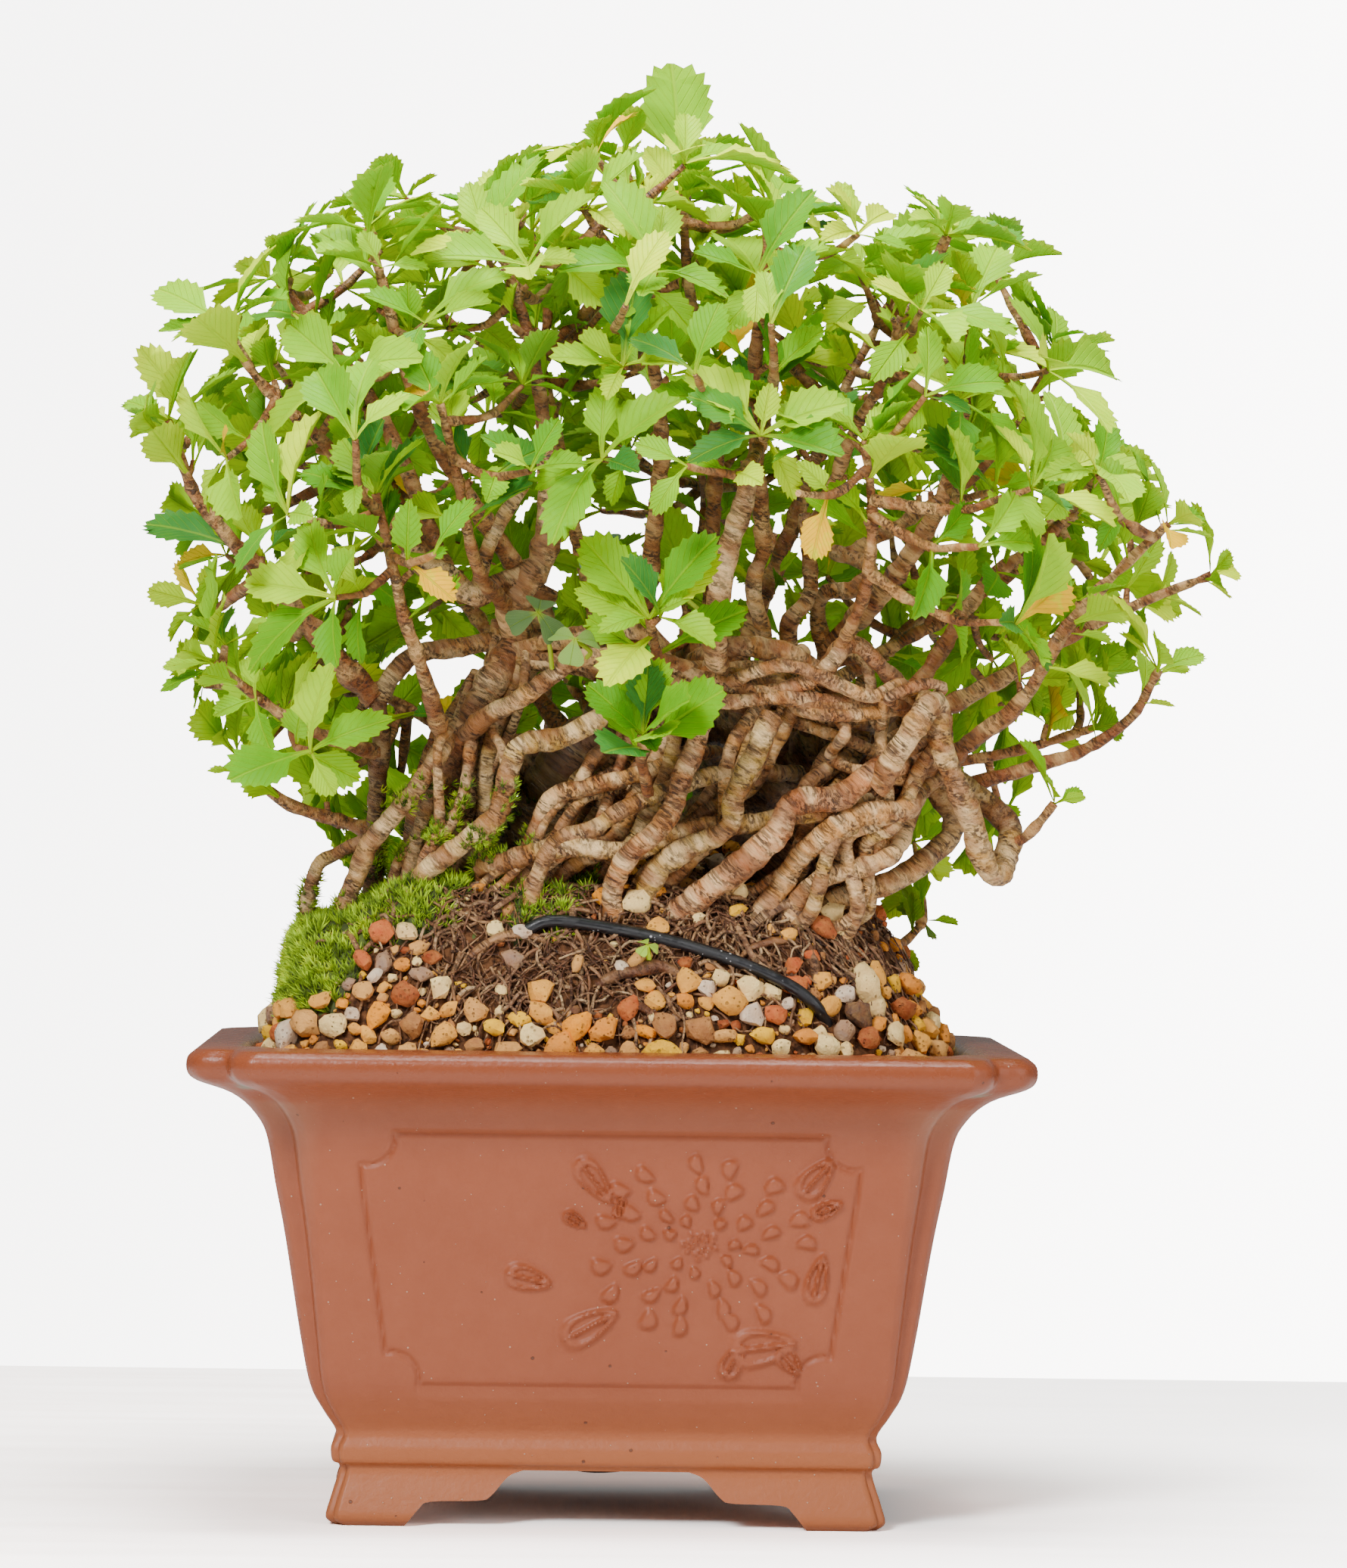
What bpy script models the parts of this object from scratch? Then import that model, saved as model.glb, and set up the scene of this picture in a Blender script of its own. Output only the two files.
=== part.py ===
"""Flowering quince bonsai: a root-tangle tree with leafy shoots in a notched-corner stoneware pot.

Lengths are millimetres until a mesh is made, and Blender's units are metres. The front faces -Y,
X runs to the right and Z up. The pot stands on Z = 0, and the finished object is moved so that
its origin is the bottom centre of the box round the whole of it.
"""

import math
import random

import bmesh
import bpy
import numpy as np
from mathutils import Vector, noise

MM = 0.001
CLEARANCE, SEAT_GAP, SEAT_STEP = 0.35, 0.45, 0.1
TINY = 1e-9

# Pot
RIM_HALF_X = 80.2
SHORTER_HALF_Y = 16.2
RIM_TOP = 90.0
FLOOR_TOP = 17.0
UNDERSIDE = 12.0
DRAIN_RADIUS = 11.0
# Each row is half width, height and how far the corner steps in.
OUTER_ROWS = [
    (52.4, 0.0, 1.6), (51.3, 5.0, 1.5), (50.0, 10.8, 1.4), (51.6, 12.2, 1.5), (51.9, 14.9, 1.6),
    (51.0, 17.8, 1.6), (53.4, 22.0, 1.8), (55.9, 27.0, 2.4), (58.0, 37.0, 3.3), (61.3, 56.5, 4.4),
    (64.6, 71.5, 5.2), (67.6, 77.3, 6.0), (72.0, 81.2, 7.0), (78.3, 83.7, 8.0),
    (RIM_HALF_X, 85.5, 8.4), (RIM_HALF_X, 88.2, 8.4), (78.7, 89.7, 8.2),
]  # fmt: skip
INNER_ROWS = [(76.0, RIM_TOP, 7.8), (70.4, RIM_TOP, 6.4)]
WALL_ROWS = [(68.0, 87.0, 6.0), (62.4, 76.0, 4.8), (48.6, 24.0, 2.2), (45.0, FLOOR_TOP, 1.8)]
SKIRT_ROWS = [(46.0, UNDERSIDE, 1.6), (47.0, 0.0, 1.4)]
# Half of the cut between the front feet, from the foot up to the middle.
ARCH = [(38.6, -1.0), (37.6, 0.4), (35.2, 3.4), (33.0, 4.8),
        (24.0, 5.1), (21.6, 6.0), (18.4, 9.6), (15.6, 10.8)]  # fmt: skip
# Its body is then let out: wider by a share below the rim, and taller above the belt.
LET_OUT_WIDTH, LET_OUT_HEIGHT = 0.016, 1.7
LET_OUT_BELOW, LET_OUT_ABOVE = (62.0, 80.0), (20.0, 60.0)

# Relief on the front of the pot
PANEL_TOP, PANEL_BOTTOM = 73.0, 28.4
PANEL_TOP_HALF, PANEL_BOTTOM_HALF, PANEL_NOTCH = 45.6, 40.4, 5.0
GROOVE_WIDTH, GROOVE_DEPTH = 1.1, 0.7
RELIEF_HEIGHT, RELIEF_SINK = 1.1, 0.12
BLOOM_CENTRE, BLOOM_STRETCH = (17.5, 52.5), 0.74
# Each ring of petals is radius, number, petal length and petal width.
BLOOM_RINGS = [(18.2, 12, 8.4, 5.4), (10.6, 8, 7.0, 4.8), (3.6, 3, 5.0, 3.4)]
# Each relief leaf is place across and up, length, width and turn in degrees.
RELIEF_LEAVES = [
    (-3.5, 38.5, 12.0, 5.4, 28.0), (29.0, 35.0, 13.0, 6.6, 8.0), (-15.0, 47.0, 9.0, 4.4, -12.0),
    (-3.0, 65.5, 10.5, 4.6, -52.0), (38.5, 66.5, 10.0, 4.8, 48.0), (39.0, 47.5, 9.5, 4.2, 78.0),
]  # fmt: skip

# Soil
SOIL_EDGE, MOUND_HEIGHT = 86.4, 33.0
MOUND_HALF_X, MOUND_HALF_Y, MOUND_POWER = 66.0, 51.0, 2.7
# The slope is the outer share of the mound, and it is rounder for a smaller power.
MOUND_FLANK, FLANK_POWER = 0.35, 1.4
LEFT_STEEPNESS, RIGHT_STEEPNESS = 5.0, 1.15
MOUND_TOP = SOIL_EDGE + MOUND_HEIGHT + 6
SOIL_RINGS = [1.0, 0.95, 0.88, 0.80, 0.70, 0.50, 0.25]
STONES, STONE_SIZE, STONE_BAND = 18, (2.0, 3.1), (0.80, 0.965)
MOSS_RINGS, MOSS_COLUMNS, MOSS_THICKNESS = (1, 5), (12, 19), 2.6

# Drain screen and tie wire
SCREEN_HALF, SCREEN_THICKNESS, SCREEN_CELLS, SCREEN_BAR = 13.0, 1.0, 3, 1.6
WIRE_RADIUS = 1.2
WIRE_ROUTE = [
    (-17.0, -40.4, 112.4), (-12.0, -40.0, 114.4), (-3.0, -40.2, 113.6), (10.0, -41.2, 111.2),
    (23.0, -42.8, 107.4), (33.0, -44.2, 103.2), (38.5, -44.0, 99.2), (41.0, -41.0, 95.4),
]  # fmt: skip
LOOP_ROUTE = [
    (-8.6, 0.0, 27.0), (-8.6, 0.0, 14.0), (-7.8, 0.0, 9.6), (-4.6, 0.0, 8.2), (0.0, 0.0, 8.0),
    (4.6, 0.0, 8.6), (7.8, 0.0, 10.4), (8.6, 0.0, 14.0), (8.6, 0.0, 27.0),
]  # fmt: skip

# Roots and trunks: radius at the foot, radius at the top, and the route
ROOTS = [
    (8.0, 5.4, [(-18, 6, 111), (-13, 6, 134), (-3, 4, 149), (9, -2, 159), (19, -10, 166)]),
    (8.0, 5.2, [(8, 10, 111), (18, 10, 129), (32, 7, 142), (45, 0, 149), (56, -8, 152)]),
    (7.0, 4.4, [(-34, 3, 112), (-33, 1, 132), (-27, -1, 150), (-19, -3, 165), (-15, -8, 180)]),
    (5.0, 4.6, [(-30, 8, 138), (-8, 12, 147), (14, 13, 152), (36, 11, 153), (50, 2, 153)]),
    (6.4, 4.8, [(26, -4, 113), (36, -12, 128), (48, -16, 136), (58, -18, 142), (62, -16, 149)]),
    (2.2, 1.9, [(-54, -23, 108), (-52, -24, 116), (-47, -25, 128), (-40, -26, 137),
                (-35, -25, 144), (-31, -18, 152)]),
    (3.6, 3.3, [(-41, -12, 114), (-36, -16, 136), (-33, -18, 144), (-28, -18, 153),
                (-23, -16, 161), (-17, -6, 172)]),
    (2.2, 2.0, [(-47, -6, 113), (-46, -10, 139), (-45, -11, 148), (-46, -12, 156),
                (-39, -10, 165), (-21, -5, 169)]),
    (2.2, 2.3, [(-42, -31, 108), (-37, -32, 122), (-29, -34, 129), (-22, -34, 135),
                (-19, -33, 147), (-11, -32, 149), (-4, -31, 153), (4, -25, 160), (13, -9, 163)]),
    (1.9, 1.8, [(-17, -34, 110), (-13, -36, 127), (-4, -36, 132), (4, -35, 137), (14, -32, 141),
                (24, -28, 143), (36, -16, 143)]),
    (1.8, 1.7, [(-22, -26, 113), (-13, -29, 136), (-5, -30, 140), (6, -29, 143), (16, -24, 147),
                (30, 1, 144)]),
    (2.4, 2.1, [(-1, -33, 106), (-0.5, -35.6, 114), (0, -38.6, 121), (4, -40, 128),
                (10, -39, 134), (13, -37, 142), (17, -33, 154), (18, -30, 163)]),
    (2.5, 2.3, [(2, -33, 109), (8, -37, 124), (15, -38, 129), (22, -39, 133), (23, -39, 139),
                (30, -37, 154)]),
    (2.9, 2.5, [(7, -33, 106), (12, -35.4, 115), (20, -38.6, 122), (31, -39, 131), (34, -38, 137),
                (43, -37, 139), (51, -33, 144), (60, -20, 145)]),
    (2.5, 2.4, [(25, -33, 109), (34, -34, 125), (40, -35, 131), (47, -35, 135), (56, -31, 137),
                (60, -20, 142)]),
    (2.1, 2.0, [(30, -32, 108), (38, -33, 122), (46, -32, 125), (54, -29, 128), (58, -19, 139)]),
    (2.4, 2.3, [(34, -26, 106), (42, -27, 118), (50, -26, 121), (60, -22, 126), (66, -16, 134),
                (60, -16, 144)]),
    (2.3, 2.6, [(57, -25, 158), (61, -33, 156), (62, -35, 150), (66, -34, 141), (69, -32, 133),
                (73, -29, 124), (76, -23, 128), (76, -18, 135), (61, -17, 145)]),
    (2.7, 2.2, [(50, -35, 141), (57, -38, 152), (61, -35, 157), (63, -31, 150), (59, -20, 141)]),
    (1.4, 1.5, [(18, -31, 158), (28, -36, 163), (36, -37, 163), (48, -36, 158), (54, -34, 160),
                (60, -26, 158)]),
    (1.8, 1.8, [(20, -31, 157), (33, -33, 159), (40, -34, 163), (45, -33, 168), (50, -33, 165),
                (57, -26, 158)]),
    (2.4, 2.2, [(13, -7, 162), (21, -27, 167), (29, -29, 167), (37, -27, 164), (53, -8, 152)]),
    (2.0, 1.8, [(-29, -20, 150), (-19, -31, 157), (-12, -31, 161), (-5, -30, 165), (14, -8, 164)]),
    (3.1, 2.0, [(13, -3, 159), (19, -28, 163), (19, -34, 170), (21, -35, 185), (24, -36, 194),
                (25, -37, 203)]),
    (3.6, 2.4, [(-16, -6, 166), (-20, -14, 174), (-14, -15, 185), (-13, -14, 195), (-14, -12, 206)]),
    (3.0, 2.4, [(-41, -17, 186), (-35, -18, 182), (-27, -18, 177), (-17, -14, 182)]),
    (1.7, 1.5, [(-27, -18, 178), (-24, -18, 188), (-18, -17, 199)]),
    (2.0, 1.6, [(34, 4, 144), (29, -13, 170), (27, -15, 180), (30, -14, 190)]),
    (2.2, 1.5, [(40, 2, 147), (34, -8, 170), (38, -8, 179), (37, -6, 194)]),
    (1.9, 1.7, [(45, 0, 150), (40, -4, 176), (47, -6, 179), (50, -3, 184), (43, 1, 187)]),
    (2.3, 2.0, [(-26, -28, 124), (-12, -35, 128), (3, -37, 128), (14, -35, 132), (28, -36, 134),
                (42, -33, 136), (55, -18, 140)]),
    (1.5, 1.4, [(-60, -14, 104), (-58, -20, 122), (-53, -21, 127), (-46, -25, 130)]),
]  # fmt: skip
THICK_ROD = 4.0
BACK_ROOTS, BACK_ROOT_SEED = 8, 11
BACK_ROOT_SPREAD, BACK_ROOT_MEETING = (-38.0, 46.0), (11.5, 150.0)

# Shoots: the radius at the foot, then the foot, two points on the way and the tip
SHOOTS = [
    (2.3, (-50, -8, 158), (-64, -14, 176), (-82, -20, 196), (-87, -22, 210)),
    (1.9, (-22, -12, 186), (-37, -22, 209), (-44, -27, 231), (-49, -28, 247)),
    (1.7, (-30, -4, 184), (-47, -6, 214), (-59, -6, 229), (-67, -6, 239)),
    (1.6, (-33, -20, 148), (-37, -38, 162), (-41, -46, 174), (-46, -50, 195)),
    (1.8, (10, -22, 176), (8, -30, 206), (6, -34, 226), (-8, -36, 252)),
    (1.7, (25, -34, 200), (27, -37, 206), (28, -38, 210), (27, -39, 214)),
    (2.2, (42, -10, 166), (58, -18, 187), (66, -20, 206), (68, -22, 234)),
    (1.9, (54, -4, 160), (73, 0, 181), (85, 4, 190), (95, 6, 202)),
    (1.8, (60, -16, 143), (79, -24, 158), (88, -28, 174), (106, -30, 192)),
    (1.9, (58, -8, 150), (81, -6, 165), (95, -4, 174), (117, -4, 183)),
    (1.6, (64, -14, 140), (90, -18, 148), (101, -22, 156), (105, -24, 164)),
    (1.5, (44, 2, 180), (70, 6, 202), (81, 8, 216), (87, 8, 227)),
    (1.5, (38, -8, 188), (46, -24, 210), (51, -30, 220), (54, -32, 231)),
    (1.7, (18, -8, 168), (19, -6, 214), (14, -8, 236), (12, -10, 256)),
    (1.6, (-14, -12, 200), (-16, -14, 222), (-21, -14, 238), (-26, -12, 251)),
    (1.6, (-38, -16, 184), (-57, -24, 206), (-69, -28, 217), (-76, -30, 228)),
    (1.5, (-45, -10, 146), (-58, -24, 150), (-68, -30, 156), (-77, -32, 163)),
    (1.5, (-44, 0, 132), (-58, -4, 134), (-67, -6, 138), (-74, -6, 146)),
    (1.5, (74, -20, 128), (78, -22, 130), (82, -24, 134), (85, -25, 138)),
    (1.6, (48, 14, 120), (56, 24, 110), (60, 30, 110), (64, 33, 114)),
    (1.2, (6, -34, 140), (5, -44, 145), (5, -49, 147), (5, -51, 150)),
    (1.4, (12, -26, 160), (8, -40, 165), (7, -47, 169), (6, -50, 172)),
    (1.6, (-22, -16, 170), (-27, -34, 182), (-30, -46, 196), (-34, -52, 212)),
    (1.6, (40, -26, 160), (46, -42, 174), (48, -50, 190), (46, -54, 206)),
    (1.6, (30, -14, 186), (26, -24, 214), (27, -30, 232), (28, -32, 247)),
]  # fmt: skip
BACK_SHOOTS, BACK_SHOOT_SEED = 11, 5
CROWN_CENTRE = (8.0, 0.0, 168.0)
CROWN_REACH = (100.0, 84.0, 94.0)

# Leaves
LEAF_LENGTH = (13.0, 21.0)
TALL_SHOOT, TALL_LEAF_LENGTH = 14, 26.0
LEAF_WIDTH, LEAF_THICKNESS = 0.56, 0.7
# Half of a leaf's outline: share of the length, share of the width.
LEAF_EDGE = [(0.34, 0.11), (0.68, 0.50), (0.77, 0.37), (0.91, 0.34)]
LEAF_MIDDLE = 0.64
LEAF_SEED = 23
# Where leaves spring from a shoot: share of its length and how many there.
WHORLS = [(0.55, 1), (0.82, 2), (0.97, 2), (1.0, 2)]
SHOOT_STEPS, TIP_RADIUS = 4, 0.8
# A shoot's foot ends in a nose this much thinner, which reaches further towards the wood.
NOSE = 0.5
LEAF_TRIES = 14
# How much a leaf's upper face looks up its shoot, up to the sky and out of the crown
LEAF_FACING = (1.0, 0.5, 0.9)
SHEET_LINES, SHEET_HALF = 5, 0.95

# Weeds: the foot, the middle of the stem, the place of the leaflets and their length
SORRELS = [
    ((16, -35, 172), (8, -39, 180), (-1, -42, 185), 6.4),
    ((-12, -31, 161), (-13, -38, 168), (-15, -41, 173), 6.0),
    ((-6, -31, 165), (-5, -39, 166), (-8, -44, 168), 5.0),
]  # fmt: skip
SEEDLING = ((7.0, -41.4, 102.6), (7.0, -43.8, 106.2), (6.5, -45.4, 110.2), 2.4)
SORREL_STEM, SORREL_DROOPS = 0.55, (0.24, 0.35, 0.47)


# Numbers and curves


def smooth_path(points, steps):
    """A curve through the points, with this many steps between one and the next."""
    ends = [2 * points[0] - points[1], *points, 2 * points[-1] - points[-2]]
    path = []
    for i in range(len(points) - 1):
        before, start, stop, after = ends[i : i + 4]
        for k in range(steps):
            t = k / steps
            path.append(
                0.5 * (2 * start + (stop - before) * t + (2 * before - 5 * start + 4 * stop - after) * t * t
                       + (3 * start - before - 3 * stop + after) * t * t * t)
            )  # fmt: skip
    return [*path, points[-1].copy()]


def along(path, share):
    """The point and direction at this share of a path's length."""
    lengths = [(b - a).length for a, b in zip(path, path[1:])]
    left = share * sum(lengths)
    for a, b, length in zip(path, path[1:], lengths):
        if left <= length or b is path[-1]:
            return a.lerp(b, min(left / length, 1.0)), (b - a).normalized()
        left -= length


def resampled(path, count):
    return [along(path, i / count)[0] for i in range(count + 1)]


def square_to(direction, towards):
    """The unit vector nearest to towards that is square to direction."""
    side = towards - direction * towards.dot(direction)
    return side.normalized() if side.length > 1e-4 else direction.orthogonal().normalized()


def front_of_pot(height):
    """Half width of the pot's outside at this height."""
    for (low, z0, _), (high, z1, _) in zip(OUTER_ROWS, OUTER_ROWS[1:]):
        if z0 <= height <= z1:
            return low + (high - low) * (height - z0) / (z1 - z0)
    return RIM_HALF_X


def soil_height(x, y):
    """Height of the soil: level inside the rim, with the root ball standing up in the middle."""
    across = (abs(x) / MOUND_HALF_X) ** (LEFT_STEEPNESS if x < 0 else RIGHT_STEEPNESS)
    out = (across**MOUND_POWER + (abs(y) / MOUND_HALF_Y) ** MOUND_POWER) ** (1 / MOUND_POWER)
    rise = min(max((1 - out) / MOUND_FLANK, 0.0), 1.0)
    lumps = 1.1 * noise.noise(Vector((x, y, 0)) * 0.09) * min(rise * 4, 1.0)
    return SOIL_EDGE + MOUND_HEIGHT * (1 - (1 - rise) ** FLANK_POWER) + lumps


# What is already taken up


class Space:
    """Tapered rods with round ends that stand for all that is placed so far, each with its owner's name."""

    def __init__(self):
        self.rods, self.owners = [], []

    def add(self, owner, path, radii):
        for a, b, start_radius, stop_radius in zip(path, path[1:], radii, radii[1:]):
            self.rods.append((*a, *b, start_radius, stop_radius))
            self.owners.append(owner)

    def of(self, owners):
        """The rods whose owner passes a test."""
        return np.array([rod for rod, owner in zip(self.rods, self.owners) if owners(owner)]).reshape(-1, 8)

    def gap(self, start, stop, radius, owners):
        """How far a new rod would lie from the nearest rod of the owners it is tested against."""
        return rod_gap(start, stop, self.of(owners)) - radius


def rod_gap(start, stop, rods):
    """Distance of the segment from start to stop from the surface of the nearest rod."""
    if not len(rods):
        return math.inf
    p, q, a, b = np.array(start), np.array(stop), rods[:, :3], rods[:, 3:6]
    d1, d2, r = q - p, b - a, p - a
    long1, long2 = max(d1 @ d1, TINY), np.maximum((d2 * d2).sum(1), TINY)
    f, c, cross = (d2 * r).sum(1), r @ d1, d2 @ d1
    spread = long1 * long2 - cross * cross
    s = np.where(spread > TINY, np.clip((cross * f - c * long2) / np.maximum(spread, TINY), 0, 1), 0.0)
    t = np.clip((cross * s + f) / long2, 0, 1)
    s = np.clip((cross * t - c) / long1, 0, 1)
    apart = np.linalg.norm((p + s[:, None] * d1) - (a + t[:, None] * d2), axis=1)
    return float((apart - rods[:, 6] - (rods[:, 7] - rods[:, 6]) * t).min())


# The plan of the tree


def plan_roots():
    """Every root and trunk as (path, radii): those seen from the front, then the back ones by rule."""
    roots = []
    for foot, top, route in ROOTS:
        path = [Vector(p) for p in route]
        radii = [foot + (top - foot) * i / (len(path) - 1) for i in range(len(path))]
        roots.append((path, radii))
    draw = random.Random(BACK_ROOT_SEED)
    low, high = BACK_ROOT_SPREAD
    for i in range(BACK_ROOTS):
        x = low + (high - low) * i / (BACK_ROOTS - 1)
        y = draw.uniform(18, 31)
        end_x = min(max(x + draw.uniform(-4, 14), low + 10), high - 6)
        path = [Vector((x, y, soil_height(x, y) - 9))]
        for share in (0.35, 0.65, 0.88):
            path.append(
                Vector((x + (end_x - x) * share + draw.uniform(-3, 3), y + draw.uniform(-2, 4) * (1 - share),
                        path[0].z + (BACK_ROOT_MEETING[1] - path[0].z) * share))
            )  # fmt: skip
        path.append(Vector((end_x, *BACK_ROOT_MEETING)))
        foot = draw.uniform(2.2, 3.4)
        roots.append((path, [foot * (1 - 0.08 * k) for k in range(5)]))
    return roots


def back_shoots():
    """Shoots of the back and top by rule: directions spread evenly, from the nearest wood."""
    draw = random.Random(BACK_SHOOT_SEED)
    centre, reach = Vector(CROWN_CENTRE), Vector(CROWN_REACH)
    shoots = []
    for i in range(BACK_SHOOTS):
        rise = -0.22 + 1.12 * (i + 0.5) / BACK_SHOOTS
        flat = math.sqrt(1 - min(rise, 0.97) ** 2)
        turn = math.radians(14 + (i * 61.8) % 152)
        way = Vector((math.cos(turn) * flat, math.sin(turn) * flat, rise))
        tip = centre + Vector(way[k] * reach[k] * draw.uniform(0.86, 0.96) for k in range(3))
        foot = Vector((centre.x + way.x * 24, 12 + way.y * 12, 146 + 24 * max(rise, 0)))
        bend = foot.lerp(tip, 0.45) + Vector((0, 3, draw.uniform(-9, -3)))
        rest = foot.lerp(tip, 0.75) + Vector((0, 2, draw.uniform(-7, -2)))
        shoots.append((draw.uniform(1.5, 2.0), foot, bend, rest, tip))
    return shoots


def nearest_wood(space, point):
    """The point nearest to this one on the middle lines of the wood."""
    wood = space.of(lambda owner: owner == "wood")
    starts, ways = wood[:, :3], wood[:, 3:6] - wood[:, :3]
    shares = np.clip(((np.array(point) - starts) * ways).sum(1) / (ways * ways).sum(1), 0, 1)
    places = starts + shares[:, None] * ways
    return Vector(places[np.linalg.norm(places - np.array(point), axis=1).argmin()])


def seated(path, radii, space):
    """How far along the path its end disc still keeps the seat's gap from the wood, from its tip."""
    wood = space.of(lambda owner: owner == "wood")
    total = sum((b - a).length for a, b in zip(path, path[1:]))
    steps = int(total / SEAT_STEP)
    kept = 1.0
    for i in range(steps, -1, -1):
        share = i / steps
        point, way = along(path, share)
        side = square_to(way, Vector((0, 0, 1)))
        other = way.cross(side)
        radius = radii[0] + (radii[-1] - radii[0]) * share
        for k in range(8):
            turn = math.tau * k / 8
            rim = point + (side * math.cos(turn) + other * math.sin(turn)) * radius
            if rod_gap(rim, rim, wood) < SEAT_GAP:
                return kept
        kept = share
    return kept


def leaf_frame(way, up):
    """Three axes of a leaf: along it, across it and out of its upper face."""
    along_it = way.normalized()
    face = square_to(along_it, up)
    return along_it, face.cross(along_it), face


def leaf_point(leaf, share, across):
    """A point of the leaf's middle surface: it arches down to the tip and folds up at the sides."""
    along_it, sideways, face = leaf["axes"]
    length = leaf["length"]
    drop = leaf["arch"] * length * share * share
    fold = leaf["fold"] * abs(across)
    return leaf["root"] + along_it * (length * share) + sideways * across + face * (fold - drop)


def leaf_lines(leaf, first, last):
    """Lines side by side over the leaf, close enough together that nothing fits between them."""
    half = 0.5 * LEAF_WIDTH * leaf["length"]
    for k in range(SHEET_LINES):
        across = half * (2 * k / (SHEET_LINES - 1) - 1) * 0.9
        begin = first + (0.24 if abs(across) > 0.6 * half else 0.0)
        end = last - (0.10 if abs(across) > 0.6 * half else 0.0)
        shares = [begin, (begin + end) / 2, end]
        yield [leaf_point(leaf, s, across * min(1, s * 1.5)) for s in shares]


def leaf_fits(leaf, owner, space, margin):
    """True if the leaf keeps clear of the soil, of other nodes and of its neighbours' outer halves."""
    if any(p.z < soil_height(p.x, p.y) + 3 or p.z < RIM_TOP + 3 for p in
           (leaf_point(leaf, s, 0) for s in (0.3, 0.6, 1.0))):
        return False
    for line in leaf_lines(leaf, 0.12, 1.0):
        for a, b in zip(line, line[1:]):
            if space.gap(a, b, SHEET_HALF * margin, lambda o: o != owner and o != owner + "_leaf") < 0.3:
                return False
    for line in leaf_lines(leaf, 0.45, 1.0):
        for a, b in zip(line, line[1:]):
            if space.gap(a, b, SHEET_HALF * 0.6, lambda o: o in (owner, owner + "_leaf")) < 0.0:
                return False
    return True


def draw_leaf(draw, point, way, turn, length):
    """One leaf that springs from a shoot: it leans out from the shoot and its upper face looks up it."""
    side = square_to(way, Vector((0, 0, 1)))
    out = side * math.cos(turn) + way.cross(side) * math.sin(turn)
    lean = math.radians(draw.uniform(38, 72))
    towards = way * math.cos(lean) + out * math.sin(lean) + Vector((0, 0, 0.18))
    up_shoot, up, outwards = LEAF_FACING
    facing = way * up_shoot + Vector((0, 0, up)) + (point - Vector(CROWN_CENTRE)).normalized() * outwards
    return {
        "root": point,
        "axes": leaf_frame(towards, facing),
        "length": length,
        "arch": draw.uniform(0.10, 0.30),
        "fold": draw.uniform(0.12, 0.42),
    }


def tall_leaf(path):
    """The long leaf that stands up from the tip of the tallest shoot."""
    way = Vector((-0.06, -0.1, 1))
    return {
        "root": path[-1] - way * 0.5,
        "axes": leaf_frame(way, Vector((0.25, -1, 0))),
        "length": TALL_LEAF_LENGTH,
        "arch": 0.12,
        "fold": 0.3,
    }


def plan_shoots(space):
    """Every leafy shoot: its path and radii, and its leaves where they have room."""
    draw = random.Random(LEAF_SEED)
    shoots = []
    for number, (radius, *route) in enumerate([*SHOOTS, *back_shoots()], start=1):
        owner = f"shoot_{number:02d}"
        shoot = plan_shoot(draw, owner, radius, [Vector(p) for p in route], space)
        if shoot:
            shoots.append(shoot)
    return shoots


def plan_shoot(draw, owner, radius, route, space):
    radii = (radius, TIP_RADIUS)
    route[0] = nearest_wood(space, route[0])
    for _ in range(LEAF_TRIES):
        path = resampled(smooth_path(route, 4), 24)
        start = seated(path, radii, space)
        nose = seated(path, [r * NOSE for r in radii], space)
        shares = [start + (1 - start) * i / SHOOT_STEPS for i in range(SHOOT_STEPS + 1)]
        kept = [along(path, share)[0] for share in (nose, *shares)]
        thick = [radius + (TIP_RADIUS - radius) * share for share in shares]
        thick.insert(0, thick[0] * NOSE)
        clear = min(space.gap(a, b, t, lambda o: o != "wood") for a, b, t in zip(kept, kept[1:], thick))
        if clear > CLEARANCE:
            break
        for point in route[1:]:
            point += Vector((draw.uniform(-3, 3), draw.uniform(-5, 5), draw.uniform(-3, 3)))
    else:
        return None
    space.add(owner, kept, thick)
    leaves = []
    length_here = sum((b - a).length for a, b in zip(kept, kept[1:]))
    turn = draw.uniform(0, math.tau)
    if owner == f"shoot_{TALL_SHOOT:02d}":
        leaves.append(tall_leaf(kept))
    for share, count in WHORLS:
        if share < 1 and share * length_here < 9:
            continue
        point, way = along(kept, min(share, 0.992))
        for _ in range(count):
            turn += 2.4 if share < 1 else math.tau / count
            for attempt in range(LEAF_TRIES):
                size = draw.uniform(*LEAF_LENGTH) * (1 - 0.03 * attempt)
                leaf = draw_leaf(draw, point, way, turn + draw.uniform(-0.5, 0.5), size)
                if leaf_fits(leaf, owner, space, 1.0):
                    leaves.append(leaf)
                    for line in leaf_lines(leaf, 0.25, 1.0):
                        space.add(owner + "_leaf", line, [SHEET_HALF] * 3)
                    break
    return {"name": owner, "path": kept, "radii": thick, "leaves": leaves}


# Meshes


def material(name, colour, roughness):
    made = bpy.data.materials.new(name)
    made.use_nodes = True
    shader = made.node_tree.nodes["Principled BSDF"]
    shader.inputs["Base Color"].default_value = (*colour, 1.0)
    shader.inputs["Roughness"].default_value = roughness
    made.diffuse_color = (*colour, 1.0)
    return made


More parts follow.
